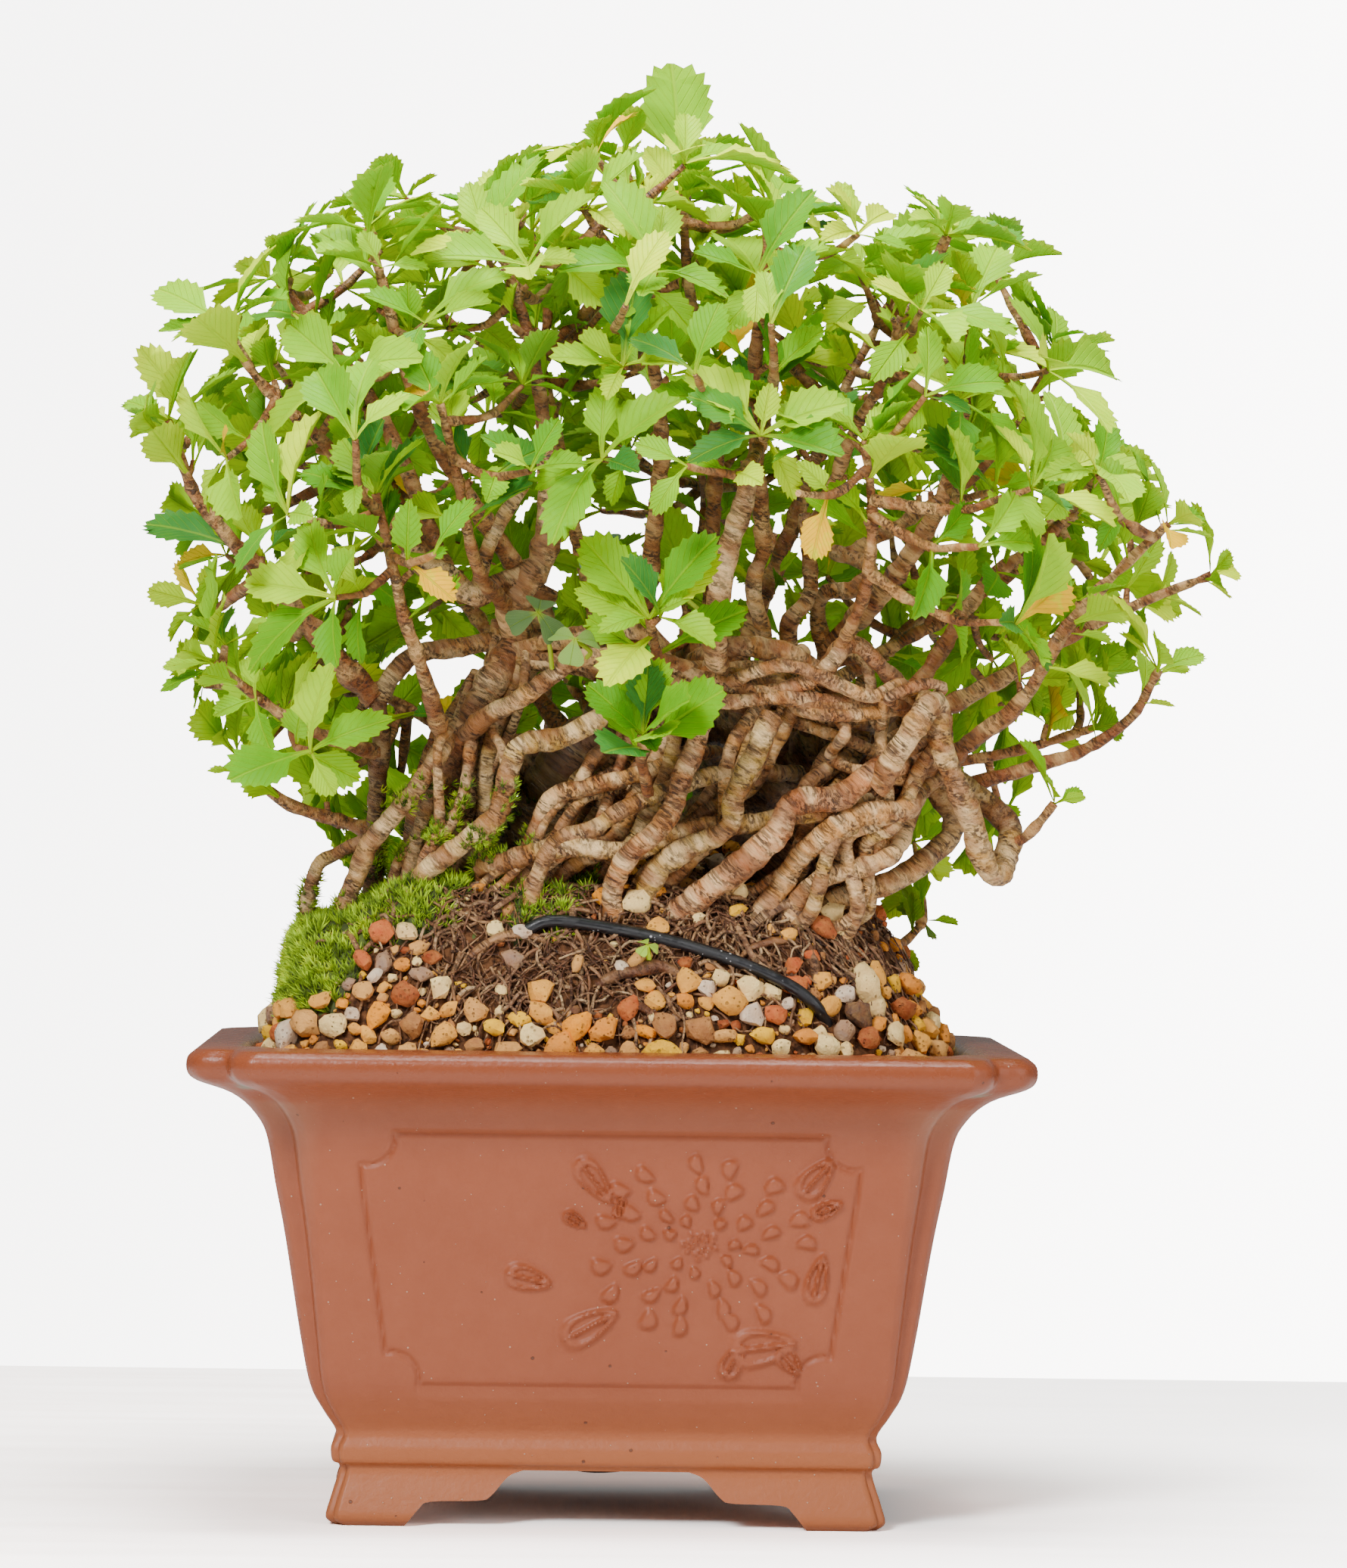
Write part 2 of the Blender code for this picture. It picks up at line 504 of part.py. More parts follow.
def make_object(name, points, faces, finish, smooth=True):
    """A mesh object from points in millimetres, with its faces turned outwards."""
    mesh = bpy.data.meshes.new(name)
    mesh.from_pydata([tuple(c * MM for c in p) for p in points], [], faces)
    shape = bmesh.new()
    shape.from_mesh(mesh)
    bmesh.ops.recalc_face_normals(shape, faces=shape.faces)
    if shape.calc_volume(signed=True) < 0:
        bmesh.ops.reverse_faces(shape, faces=shape.faces)
    shape.to_mesh(mesh)
    shape.free()
    mesh.materials.append(finish)
    if smooth:
        mesh.shade_smooth()
        mesh.set_sharp_from_angle(angle=math.radians(38))
    made = bpy.data.objects.new(name, mesh)
    bpy.context.scene.collection.objects.link(made)
    return made


def combine(target, operation, others, solver="EXACT"):
    """Joins the others to the target or cuts them from it in one Boolean, and removes them."""
    group = bpy.data.collections.new("others")
    bpy.context.scene.collection.children.link(group)
    for other in others:
        bpy.context.scene.collection.objects.unlink(other)
        group.objects.link(other)
    step = target.modifiers.new("boolean", "BOOLEAN")
    step.operation, step.operand_type, step.collection, step.solver = operation, "COLLECTION", group, solver
    bpy.context.view_layer.update()
    result = bpy.data.meshes.new_from_object(target.evaluated_get(bpy.context.evaluated_depsgraph_get()))
    target.modifiers.remove(step)
    target.data = result
    for other in others:
        bpy.data.objects.remove(other)
    bpy.data.collections.remove(group)
    return target


def keep_largest_body(target):
    """Drops any scrap that a union left loose."""
    shape = bmesh.new()
    shape.from_mesh(target.data)
    shape.faces.ensure_lookup_table()
    left, bodies = set(shape.faces), []
    while left:
        body, edge = set(), {left.pop()}
        while edge:
            face = edge.pop()
            body.add(face)
            near = {f for e in face.edges for f in e.link_faces} & left
            left -= near
            edge |= near
        bodies.append(body)
    bodies.sort(key=len, reverse=True)
    scraps = [f for body in bodies[1:] for f in body]
    bmesh.ops.delete(shape, geom=scraps, context="FACES")
    shape.to_mesh(target.data)
    shape.free()


def ring_faces(rings, count, ends=True):
    """Quads between each ring of points and the next, with an end cap on each end ring."""
    faces = []
    for r in range(rings - 1):
        for i in range(count):
            j = (i + 1) % count
            faces.append((r * count + i, r * count + j, (r + 1) * count + j, (r + 1) * count + i))
    if ends:
        faces.append(tuple(range(count - 1, -1, -1)))
        faces.append(tuple((rings - 1) * count + i for i in range(count)))
    return faces


def tube(path, radii, sides):
    """Points and faces of a rod along a path, as thick on average as its radii say."""
    points = []
    corner = 2 / (1 + math.cos(math.pi / sides))
    side = square_to((path[1] - path[0]).normalized(), Vector((0, 0.3, 1)))
    for i, (centre, radius) in enumerate(zip(path, radii)):
        way = (path[min(i + 1, len(path) - 1)] - path[max(i - 1, 0)]).normalized()
        side = square_to(way, side)
        other = way.cross(side)
        for k in range(sides):
            turn = math.tau * k / sides
            points.append(centre + (side * math.cos(turn) + other * math.sin(turn)) * radius * corner)
    return points, ring_faces(len(path), sides)


def prism(outline, low, high, axis):
    """A closed outline pushed from low to high along the X axis (0) or the Y axis (1)."""
    points = []
    for level in (low, high):
        for across, up in outline:
            points.append((level, across, up) if axis == 0 else (across, level, up))
    return points, ring_faces(2, len(outline))


def box(low, high):
    outline = [(low[0], low[2]), (high[0], low[2]), (high[0], high[2]), (low[0], high[2])]
    return prism(outline, low[1], high[1], 1)


# Pot


def notched_loop(half_x, half_y, notch, z):
    """Points round a rectangle whose corners step in, with rounded steps, starting at +X."""
    corner = [(0, -1.5), (-0.28, -1.1), (-0.82, -0.96), (-0.96, -0.82), (-1.1, -0.28), (-1.5, 0)]
    quarter = [(half_x, 0.0)] + [(half_x + a * notch, half_y + b * notch) for a, b in corner]
    top = [(0.0, half_y)] + [(-x, y) for x, y in reversed(quarter[1:])]
    half = quarter + top
    whole = half + [(-x, -y) for x, y in half]
    return [(x, y, z) for x, y in whole]


def round_loop(radius, like, z):
    """Points of a circle, one in the direction of each point of another loop."""
    turns = [math.atan2(y, x) for x, y, _ in like]
    return [(radius * math.cos(t), radius * math.sin(t), z) for t in turns]


def row_loop(row, inset=0.0, lift=0.0):
    half_x, z, notch = row
    return notched_loop(half_x - inset, half_x - SHORTER_HALF_Y - inset, notch, z + lift)


def make_pot(finish):
    loops = [row_loop(row) for row in [*OUTER_ROWS, *INNER_ROWS, *WALL_ROWS]]
    loops.append(round_loop(DRAIN_RADIUS, loops[0], FLOOR_TOP))
    loops.append(round_loop(DRAIN_RADIUS, loops[0], UNDERSIDE))
    loops.extend(row_loop(row) for row in SKIRT_ROWS)
    count = len(loops[0])
    faces = ring_faces(len(loops), count, ends=False)
    last = (len(loops) - 1) * count
    faces.extend((last + i, last + (i + 1) % count, (i + 1) % count, i) for i in range(count))
    pot = make_object("pot", [p for loop in loops for p in loop], faces, finish)
    arch = ARCH + [(-x, z) for x, z in reversed(ARCH)]
    shorter = (RIM_HALF_X - SHORTER_HALF_Y) / RIM_HALF_X
    side_arch = [(x * shorter, z) for x, z in arch]
    combine(pot, "DIFFERENCE", [make_object("cut", *prism(arch, -90, 90, 1), finish)])
    combine(pot, "DIFFERENCE", [make_object("cut", *prism(side_arch, -110, 110, 0), finish)])
    combine(pot, "DIFFERENCE", panel_grooves(finish))
    combine(pot, "UNION", [relief_blade(*blade, finish) for blade in relief_blades()])
    pot.data.shade_smooth()
    pot.data.set_sharp_from_angle(angle=math.radians(38))
    return pot


def on_front(across, up, out):
    """A place on the pot's front face, standing out from it by this much."""
    return Vector((across, -(front_of_pot(up) - SHORTER_HALF_Y) - out, up))


def panel_outline():
    """Corners of the panel's line, clockwise from the top left, each corner stepping in."""
    n = PANEL_NOTCH
    top, bottom = PANEL_TOP_HALF, PANEL_BOTTOM_HALF
    quarter = [(top, PANEL_TOP - n), (top - n, PANEL_TOP - n), (top - n, PANEL_TOP)]
    low = [(bottom, PANEL_BOTTOM + n), (bottom - n, PANEL_BOTTOM + n), (bottom - n, PANEL_BOTTOM)]
    right = [*reversed(quarter), *low]
    return right + [(-x, z) for x, z in reversed(right)]


def offset_outline(outline, distance):
    """The closed outline moved sideways by a distance, its corners mitred."""
    moved = []
    for i, corner in enumerate(outline):
        before = (Vector(corner) - Vector(outline[i - 1])).normalized()
        after = (Vector(outline[(i + 1) % len(outline)]) - Vector(corner)).normalized()
        square = Vector((-before.y - after.y, before.x + after.x)).normalized()
        cosine = square.dot(Vector((-before.y, before.x)))
        moved.append(Vector(corner) + square * distance / cosine)
    return moved


def panel_grooves(finish):
    """A band along the panel's line on the front and one on the back, which cut its groove."""
    bands, line = [], panel_outline()
    count = len(line)
    for turned in (1, -1):
        points = []
        for side, out in ((1, 2.0), (-1, 2.0), (-1, -GROOVE_DEPTH), (1, -GROOVE_DEPTH)):
            ring = offset_outline(line, side * GROOVE_WIDTH / 2)
            points += [on_front(p.x, p.y, out) * turned for p in ring]
        for p in points:
            p.z = abs(p.z)
        faces = ring_faces(4, count, ends=False)
        last = 3 * count
        faces += [(last + i, last + (i + 1) % count, (i + 1) % count, i) for i in range(count)]
        bands.append(make_object("band", points, faces, finish))
    return bands


def relief_blades():
    """Petals in rings round the bloom's centre, then the leaves, as place, size and turn."""
    for ring, (radius, count, length, width) in enumerate(BLOOM_RINGS):
        for k in range(count):
            turn = math.tau * (k + 0.5 * (ring % 2)) / count
            out = Vector((math.cos(turn), math.sin(turn) * BLOOM_STRETCH))
            place = Vector(BLOOM_CENTRE) + out * radius
            yield place.x, place.y, length, width, math.degrees(math.atan2(out.y, out.x))
    yield from RELIEF_LEAVES


def relief_blade(across, up, length, width, turn, finish):
    """One petal or leaf of the relief: a low ridge with pointed ends, its rim just under the pot's face."""
    way = Vector((math.cos(math.radians(turn)), math.sin(math.radians(turn))))
    square = Vector((-way.y, way.x))
    centre = Vector((across, up))
    rim = [centre - way * length / 2, centre + square * width / 2 + way * length * 0.1,
           centre + way * length / 2, centre - square * width / 2 + way * length * 0.1]  # fmt: skip
    crest = centre + way * length * 0.22
    points = [on_front(p.x, p.y, -RELIEF_SINK) for p in rim]
    points += [on_front(crest.x, crest.y, RELIEF_HEIGHT), on_front(crest.x, crest.y, -RELIEF_HEIGHT)]
    faces = [(i, (i + 1) % 4, 4) for i in range(4)] + [((i + 1) % 4, i, 5) for i in range(4)]
    return make_object("petal", points, faces, finish)


# Soil, moss and wire


def soil_surface():
    """Points of the soil's top as rings from the pot's wall inwards."""
    edge = row_loop(WALL_ROWS[0], CLEARANCE)
    rings = []
    for share in SOIL_RINGS:
        ring = []
        for x, y, _ in edge:
            x, y = x * share, y * share
            ring.append(Vector((x, y, SOIL_EDGE if share == 1.0 else soil_height(x, y))))
        rings.append(ring)
    return rings


def grid_triangles(rings, columns, wrap):
    """Triangles between rings of points, split the same way wherever they are used."""
    faces = []
    for r in range(rings - 1):
        for i in range(columns if wrap else columns - 1):
            j = (i + 1) % columns
            a, b = r * columns + i, r * columns + j
            c, d = (r + 1) * columns + j, (r + 1) * columns + i
            faces += [(a, b, c), (a, c, d)]
    return faces


def make_soil(finish, roots):
    walls = [row_loop(row, CLEARANCE, CLEARANCE if row is WALL_ROWS[-1] else 0.0) for row in WALL_ROWS[:0:-1]]
    rings = soil_surface()
    count = len(walls[0])
    points = [Vector(p) for loop in walls for p in loop] + [p for ring in rings for p in ring]
    faces = ring_faces(len(walls) + 1, count, ends=False)
    faces.append(tuple(range(count - 1, -1, -1)))
    first = len(walls) * count
    faces += [tuple(first + i for i in f) for f in grid_triangles(len(rings), count, True)]
    centre = Vector((0, 0, soil_height(0, 0)))
    points.append(centre)
    last = first + (len(rings) - 1) * count
    faces += [(last + i, last + (i + 1) % count, len(points) - 1) for i in range(count)]
    soil = make_object("soil_mound", points, faces, finish, smooth=False)
    combine(soil, "UNION", [make_stone(*stone, finish) for stone in stone_places(rings, roots)])
    half, top = SCREEN_HALF + 0.6, FLOOR_TOP + SCREEN_THICKNESS + 2 * CLEARANCE
    cuts = [make_object("cut", *box((-half, -half, FLOOR_TOP - 2), (half, half, top)), finish)]
    cuts += [make_hole(*root, finish) for root in roots if root[0][0].z < MOUND_TOP]
    for radius, route in ((WIRE_RADIUS, WIRE_ROUTE), (WIRE_RADIUS, LOOP_ROUTE), (SORREL_STEM, SEEDLING[:3])):
        cuts.append(make_hole([Vector(p) for p in route], [radius] * len(route), finish))
    combine(soil, "DIFFERENCE", cuts)
    keep_largest_body(soil)
    return soil


def make_hole(path, radii, finish):
    """A rod a clearance thicker and longer at both ends, to cut the plain hole that the rod stands in."""
    first, last = (path[0] - path[1]).normalized(), (path[-1] - path[-2]).normalized()
    longer = [path[0] + first * CLEARANCE, *path[1:-1], path[-1] + last * CLEARANCE]
    wider = [r + CLEARANCE * 1.25 for r in radii]
    return make_object("cut", *tube(longer, wider, rod_sides(radii)), finish)


def domed(path, radii):
    """The rod with a dome of one ring, or of two if it is thick, added at its far end."""
    way, radius = (path[-1] - path[-2]).normalized(), radii[-1]
    shares = (0.5, 0.9) if radius > THICK_ROD else (0.75,)
    tops = [path[-1] + way * radius * share for share in shares]
    return [*path, *tops], [*radii, *(radius * math.sqrt(1 - share * share) for share in shares)]


def rod_sides(radii):
    return 8 if max(radii) > THICK_ROD else 5


def soil_at(rings, share, column):
    """A point on the soil's own faces, from its share of the way out and its place round the edge."""
    near, far = int(column) % len(rings[0]), (int(column) + 1) % len(rings[0])
    for outer, inner, ring, next_ring in zip(SOIL_RINGS, SOIL_RINGS[1:], rings, rings[1:]):
        if inner <= share <= outer:
            high = ring[near].lerp(ring[far], column % 1)
            low = next_ring[near].lerp(next_ring[far], column % 1)
            return low.lerp(high, (share - inner) / (outer - inner))
    return None


def stone_places(rings, roots):
    """Places of the loose stones round the slope of the root ball, clear of moss, wood and wire."""
    draw = random.Random(3)
    taken = Space()
    for path, radii in roots:
        taken.add("wood", path, radii)
    wire = [Vector(p) for p in WIRE_ROUTE]
    taken.add("wire", wire, [WIRE_RADIUS] * len(wire))
    placed = 0
    for attempt in range(STONES * 12):
        column = (attempt * 0.618034 % 1.0) * len(rings[0])
        if MOSS_COLUMNS[0] - 1 < column < MOSS_COLUMNS[1] + 1:
            continue
        size = draw.uniform(*STONE_SIZE)
        place = soil_at(rings, draw.uniform(*STONE_BAND), column)
        if taken.gap(place, place + Vector((0, 0, 0.01)), size, lambda o: True) < 0.5:
            continue
        taken.add("stone", [place, place + Vector((0, 0, 0.01))], [size * 0.6] * 2)
        yield place, size, draw.random()
        placed += 1
        if placed == STONES:
            return


def make_stone(place, size, seed, finish):
    """An uneven eight-sided stone."""
    draw = random.Random(seed)
    ways = [(1, 0, 0), (0, 1, 0), (-1, 0, 0), (0, -1, 0), (0, 0, 1), (0, 0, -1)]
    turn = draw.uniform(0, math.tau)
    points = []
    for x, y, z in ways:
        reach = size * draw.uniform(0.8, 1.15)
        spun = (x * math.cos(turn) - y * math.sin(turn), x * math.sin(turn) + y * math.cos(turn), z)
        points.append(place + Vector(spun) * reach)
    faces = [(0, 1, 4), (1, 2, 4), (2, 3, 4), (3, 0, 4), (1, 0, 5), (2, 1, 5), (3, 2, 5), (0, 3, 5)]
    return make_object("stone", points, faces, finish)


def make_moss(finish, roots):
    """A lumpy cushion over the left flank of the root ball, on the soil's own points."""
    first, last = MOSS_RINGS
    left, right = MOSS_COLUMNS
    rows = [ring[left : right + 1] for ring in soil_surface()[first : last + 1]]
    columns = right - left + 1
    under, over = [], []
    for r, row in enumerate(rows):
        for c, p in enumerate(row):
            out = Vector((p.x / MOUND_HALF_X, p.y / MOUND_HALF_Y, 1.0)).normalized()
            edge = r in (0, len(rows) - 1) or c in (0, columns - 1)
            lump = 1.0 + 0.35 * noise.noise(p * 0.21)
            under.append(p + out * 0.5)
            over.append(p + out * (0.5 + (0.9 if edge else MOSS_THICKNESS * lump)))
    top = grid_triangles(len(rows), columns, False)
    size = len(under)
    faces = [(c, b, a) for a, b, c in top] + [(a + size, b + size, c + size) for a, b, c in top]
    border = [i for i in range(columns)]
    border += [r * columns + columns - 1 for r in range(1, len(rows))]
    border += [(len(rows) - 1) * columns + i for i in range(columns - 2, -1, -1)]
    border += [r * columns for r in range(len(rows) - 2, 0, -1)]
    for a, b in zip(border, border[1:] + border[:1]):
        faces += [(a, b, b + size), (a, b + size, a + size)]
    moss = make_object("moss_cushion", under + over, faces, finish)
    combine(moss, "DIFFERENCE", [make_hole(*root, finish) for root in roots if root[0][0].z < MOUND_TOP])
    keep_largest_body(moss)
    return moss


def make_screen(finish):
    """A square plastic grid on the pot's floor over the drain hole."""
    low = FLOOR_TOP + CLEARANCE
    points, faces = box((-SCREEN_HALF, -SCREEN_HALF, low), (SCREEN_HALF, SCREEN_HALF, low + SCREEN_THICKNESS))
    screen = make_object("drain_screen", points, faces, finish, smooth=False)
    cell = 2 * (SCREEN_HALF - 2.0) / SCREEN_CELLS
    cuts = []
    for i in range(SCREEN_CELLS):
        for j in range(SCREEN_CELLS):
            x, y = (cell * (k + 0.5) - (SCREEN_HALF - 2.0) for k in (i, j))
            half = (cell - SCREEN_BAR) / 2
            hole = box((x - half, y - half, low - 1), (x + half, y + half, low + 3))
            cuts.append(make_object("cut", *hole, finish))
    return combine(screen, "DIFFERENCE", cuts)


def make_wire(name, route, finish):
    path = [Vector(p) for p in route]
    return make_object(name, *tube(path, [WIRE_RADIUS] * len(path), 7), finish)


# Wood and leaves


def make_tangle(finish, roots):
    rods = []
    for path, radii in roots:
        rod = domed(path, radii)
        if path[0].z > MOUND_TOP:
            rod = domed(rod[0][::-1], rod[1][::-1])
        rods.append(make_object("root", *tube(*rod, rod_sides(radii)), finish))
    tangle = rods.pop(0)
    tangle.name = "root_tangle"
    combine(tangle, "UNION", rods, "MANIFOLD")
    keep_largest_body(tangle)
    tangle.data.shade_smooth()
    tangle.data.set_sharp_from_angle(angle=math.radians(50))
    return tangle


def leaf_mesh(leaf):
    """A toothed, spoon-shaped blade: an outline with one raised and one lowered point in its middle."""
    half = LEAF_WIDTH * leaf["length"]
    edge = [leaf_point(leaf, 0.0, 0.0)]
    edge += [leaf_point(leaf, share, across * half) for share, across in LEAF_EDGE]
    edge.append(leaf_point(leaf, 1.0, 0.0))
    edge += [leaf_point(leaf, share, -across * half) for share, across in reversed(LEAF_EDGE)]
    face = leaf["axes"][2]
    middle = leaf_point(leaf, LEAF_MIDDLE, 0.0)
    count = len(edge)
    edge += [middle + face * LEAF_THICKNESS * 0.5, middle - face * LEAF_THICKNESS * 0.5]
    faces = [(i, (i + 1) % count, count) for i in range(count)]
    faces += [((i + 1) % count, i, count + 1) for i in range(count)]
    return edge, faces


def make_shoot(shoot, bark):
    """A shoot's wood with its leaves fused to it."""
    wood = make_object(shoot["name"], *tube(shoot["path"], shoot["radii"], 5), bark)
    leaves = [make_object("leaf", *leaf_mesh(leaf), bark) for leaf in shoot["leaves"]]
    if leaves:
        combine(wood, "UNION", leaves, "MANIFOLD")
    keep_largest_body(wood)
    wood.data.shade_smooth()
    wood.data.set_sharp_from_angle(angle=math.radians(40))
    return wood


def leaflet(centre, way, face, size, droop):
    """A drooping heart-shaped leaflet, thickest in its middle."""
    out = way * math.cos(droop) - face * math.sin(droop)
    top = face * math.cos(droop) + way * math.sin(droop)
    side = top.cross(out)
    outline = [(-0.08, 0.0), (0.62, 0.46), (1.0, 0.30), (0.84, 0.0), (1.0, -0.30), (0.62, -0.46)]
    points = [centre + out * a * size + side * b * size for a, b in outline]
    count = len(points)
    middle = centre + out * 0.5 * size
    points += [middle + top * LEAF_THICKNESS / 2, middle - top * LEAF_THICKNESS / 2]
    faces = [(i, (i + 1) % count, count) for i in range(count)]
    faces += [((i + 1) % count, i, count + 1) for i in range(count)]
    return points, faces


def make_sorrel(name, stem, size, finish, space):
    """A small weed: a thin stem with three leaflets at its head, turned by a share of its size."""
    weed = make_object(name, *tube(stem, [SORREL_STEM] * len(stem), 5), finish)
    face = Vector((0.15, -0.75, 0.65)).normalized()
    up = square_to(face, Vector((0, 0, 1)))
    parts = []
    for k, droop in enumerate(SORREL_DROOPS):
        turn = math.tau * k / 3 + size
        way = up * math.cos(turn) + face.cross(up) * math.sin(turn)
        start = stem[-1] + face * 0.13 * k
        parts.append(make_object("leaflet", *leaflet(start, way, face, size, droop), finish))
    combine(weed, "UNION", parts)
    space.add(name, stem, [SORREL_STEM] * len(stem))
    space.add(name, [stem[-1] - up * 0.01, stem[-1]], [size * 1.05] * 2)
    return weed


def make_weeds(finish, space):
    """The wood sorrels, seated on the wood, and the seedling, which stands in a hole in the soil."""
    weeds = []
    for i, (foot, bend, head, size) in enumerate(SORRELS, start=1):
        route = [nearest_wood(space, Vector(foot)), Vector(bend), Vector(head)]
        path = resampled(smooth_path(route, 4), 10)
        start = seated(path, (SORREL_STEM, SORREL_STEM), space)
        stem = [along(path, start + (1 - start) * k / 2)[0] for k in range(3)]
        weeds.append(make_sorrel(f"wood_sorrel_{i}", stem, size, finish, space))
    *stem, size = SEEDLING
    weeds.append(make_sorrel("seedling", [Vector(p) for p in stem], size, finish, space))
    return weeds


def eased(value, low, high):
    """A share that goes smoothly from 0 at low to 1 at high."""
    share = min(max((value - low) / (high - low), 0.0), 1.0)
    return share * share * (3 - 2 * share)


def let_out(made):
    """Makes the pot's body a little wider and taller, and takes along all that stands in it."""
    for corner in made.data.vertices:
        height = corner.co.z / MM
        wider = 1 + LET_OUT_WIDTH * (1 - eased(height, *LET_OUT_BELOW))
        corner.co.x *= wider
        corner.co.y *= wider
        corner.co.z += LET_OUT_HEIGHT * MM * eased(height, *LET_OUT_ABOVE)


def centre_on_box(objects):
    """Moves everything so that the bottom centre of the box round it is the origin."""
    corners = np.array([v.co[:] for o in objects for v in o.data.vertices])
    low, high = corners.min(0), corners.max(0)
    shift = Vector((-(low[0] + high[0]) / 2, -(low[1] + high[1]) / 2, -low[2]))
    for made in objects:
        made.location = shift


def main():
    for old in list(bpy.data.objects):
        bpy.data.objects.remove(old)
    clay = material("unglazed_clay", (0.36, 0.17, 0.11), 0.62)
    bark = material("bark", (0.33, 0.20, 0.12), 0.85)
    green = material("leaf_green", (0.22, 0.40, 0.05), 0.5)
    earth = material("soil", (0.20, 0.12, 0.07), 0.95)
    moss = material("moss", (0.16, 0.28, 0.03), 0.95)
    plastic = material("black_plastic", (0.02, 0.02, 0.022), 0.45)
    roots = plan_roots()
    space = Space()
    for path, radii in roots:
        space.add("wood", path, radii)
    made = [
        make_pot(clay),
        make_screen(plastic),
        make_wire("tie_wire", WIRE_ROUTE, plastic),
        make_wire("tie_wire_loop", LOOP_ROUTE, plastic),
        make_soil(earth, roots),
        make_moss(moss, roots),
        make_tangle(bark, roots),
    ]
    made += make_weeds(green, space)
    made += [make_shoot(shoot, green) for shoot in plan_shoots(space)]
    for piece in made:
        let_out(piece)
    centre_on_box(made)


main()
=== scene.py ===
"""Looks of the quince bonsai: fine wood, leaves, gravel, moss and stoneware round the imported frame.

Lengths are millimetres in the pot's own frame until a mesh is made. The front faces -Y, X runs to
the right and Z up, and the pot stands on Z = 0. The values shared with the part's source are
written here again.
"""

import math
import random

import bmesh
import bpy
import numpy as np
from mathutils import Matrix, Vector, noise


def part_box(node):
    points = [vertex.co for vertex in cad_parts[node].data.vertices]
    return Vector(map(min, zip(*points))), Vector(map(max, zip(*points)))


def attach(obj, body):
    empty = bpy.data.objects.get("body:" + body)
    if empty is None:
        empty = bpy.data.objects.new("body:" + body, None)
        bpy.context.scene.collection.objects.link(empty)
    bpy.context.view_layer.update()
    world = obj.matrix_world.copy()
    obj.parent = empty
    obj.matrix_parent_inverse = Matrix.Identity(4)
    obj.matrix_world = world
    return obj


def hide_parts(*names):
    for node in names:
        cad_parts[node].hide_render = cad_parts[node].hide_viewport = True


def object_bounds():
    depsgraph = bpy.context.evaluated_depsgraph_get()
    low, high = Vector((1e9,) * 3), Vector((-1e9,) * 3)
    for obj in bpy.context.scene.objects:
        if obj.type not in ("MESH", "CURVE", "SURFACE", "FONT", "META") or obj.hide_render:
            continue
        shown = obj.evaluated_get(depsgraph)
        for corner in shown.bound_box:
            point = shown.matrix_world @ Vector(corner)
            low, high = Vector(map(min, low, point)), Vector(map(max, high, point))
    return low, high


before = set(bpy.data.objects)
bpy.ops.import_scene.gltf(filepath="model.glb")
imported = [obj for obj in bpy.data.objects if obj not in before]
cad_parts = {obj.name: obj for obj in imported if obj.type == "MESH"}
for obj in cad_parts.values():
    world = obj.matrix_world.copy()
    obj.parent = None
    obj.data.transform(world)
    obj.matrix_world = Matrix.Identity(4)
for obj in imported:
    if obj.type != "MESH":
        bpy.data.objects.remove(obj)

# Noise vectors change from run to run unless they have a seed.
noise.seed_set(1)

MM = 0.001
UP = Vector((0, 0, 1))
GOLDEN_TURN = 2.4
TINY = 1e-9
CAD_LOW, CAD_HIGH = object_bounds()
POT_LOW, POT_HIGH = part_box("pot")
# The pot's body is let out: wider by a share below the rim, and taller above the belt.
LET_OUT_WIDTH, LET_OUT_HEIGHT = 0.016, 1.7
LET_OUT_BELOW, LET_OUT_ABOVE = (62.0, 80.0), (20.0, 60.0)
SHIFT = Vector(((POT_LOW.x + POT_HIGH.x) / 2, (POT_LOW.y + POT_HIGH.y) / 2, LET_OUT_HEIGHT * MM)) / MM

# Camera
PHOTO_WIDTH, PHOTO_HEIGHT = 1780, 2072
CAMERA_BACK, CAMERA_UP, CAMERA_ASIDE, LENS, SENSOR = 1250.0, 140.5, -15.0, 145.8, 36.0
POT_PIXEL, CAMERA_ROLL = 809, -0.7

# Each light is name, place, size in metres and power in watts.
LIGHTS = [("key", (-360, -760, 660), 0.25, 10.5), ("fill", (620, -600, 380), 0.6, 3.0),
          ("top", (30, -80, 950), 0.4, 13.0)]

# Pot
RIM_HALF_X = 80.2
SHORTER_HALF_Y = 16.2
RIM_TOP, FLOOR_TOP, UNDERSIDE, DRAIN_RADIUS = 90.0, 17.0, 12.0, 11.0
# Each row is half width, height and how far the corner steps in.
OUTER_ROWS = [
    (51.2, 0.0, 1.6), (52.7, 1.6, 1.6), (51.9, 5.0, 1.5), (50.2, 10.8, 1.4), (51.6, 12.2, 1.5),
    (51.9, 14.9, 1.6), (51.0, 17.8, 1.6), (53.4, 22.0, 1.8), (55.9, 27.0, 2.4), (58.0, 37.0, 3.3),
    (61.3, 56.5, 4.4), (64.6, 71.5, 5.2), (67.6, 77.3, 6.0), (72.0, 81.2, 7.0), (78.3, 83.7, 8.0),
    (RIM_HALF_X, 85.5, 8.4), (RIM_HALF_X, 88.2, 8.4), (78.7, 89.7, 8.2),
]
INNER_ROWS = [(76.0, RIM_TOP, 7.8), (70.4, RIM_TOP, 6.4)]
WALL_ROWS = [(68.0, 87.0, 6.0), (62.4, 76.0, 4.8), (48.6, 24.0, 2.2), (45.0, FLOOR_TOP, 1.8)]
SKIRT_ROWS = [(46.0, UNDERSIDE, 1.6), (47.0, 0.0, 1.4)]
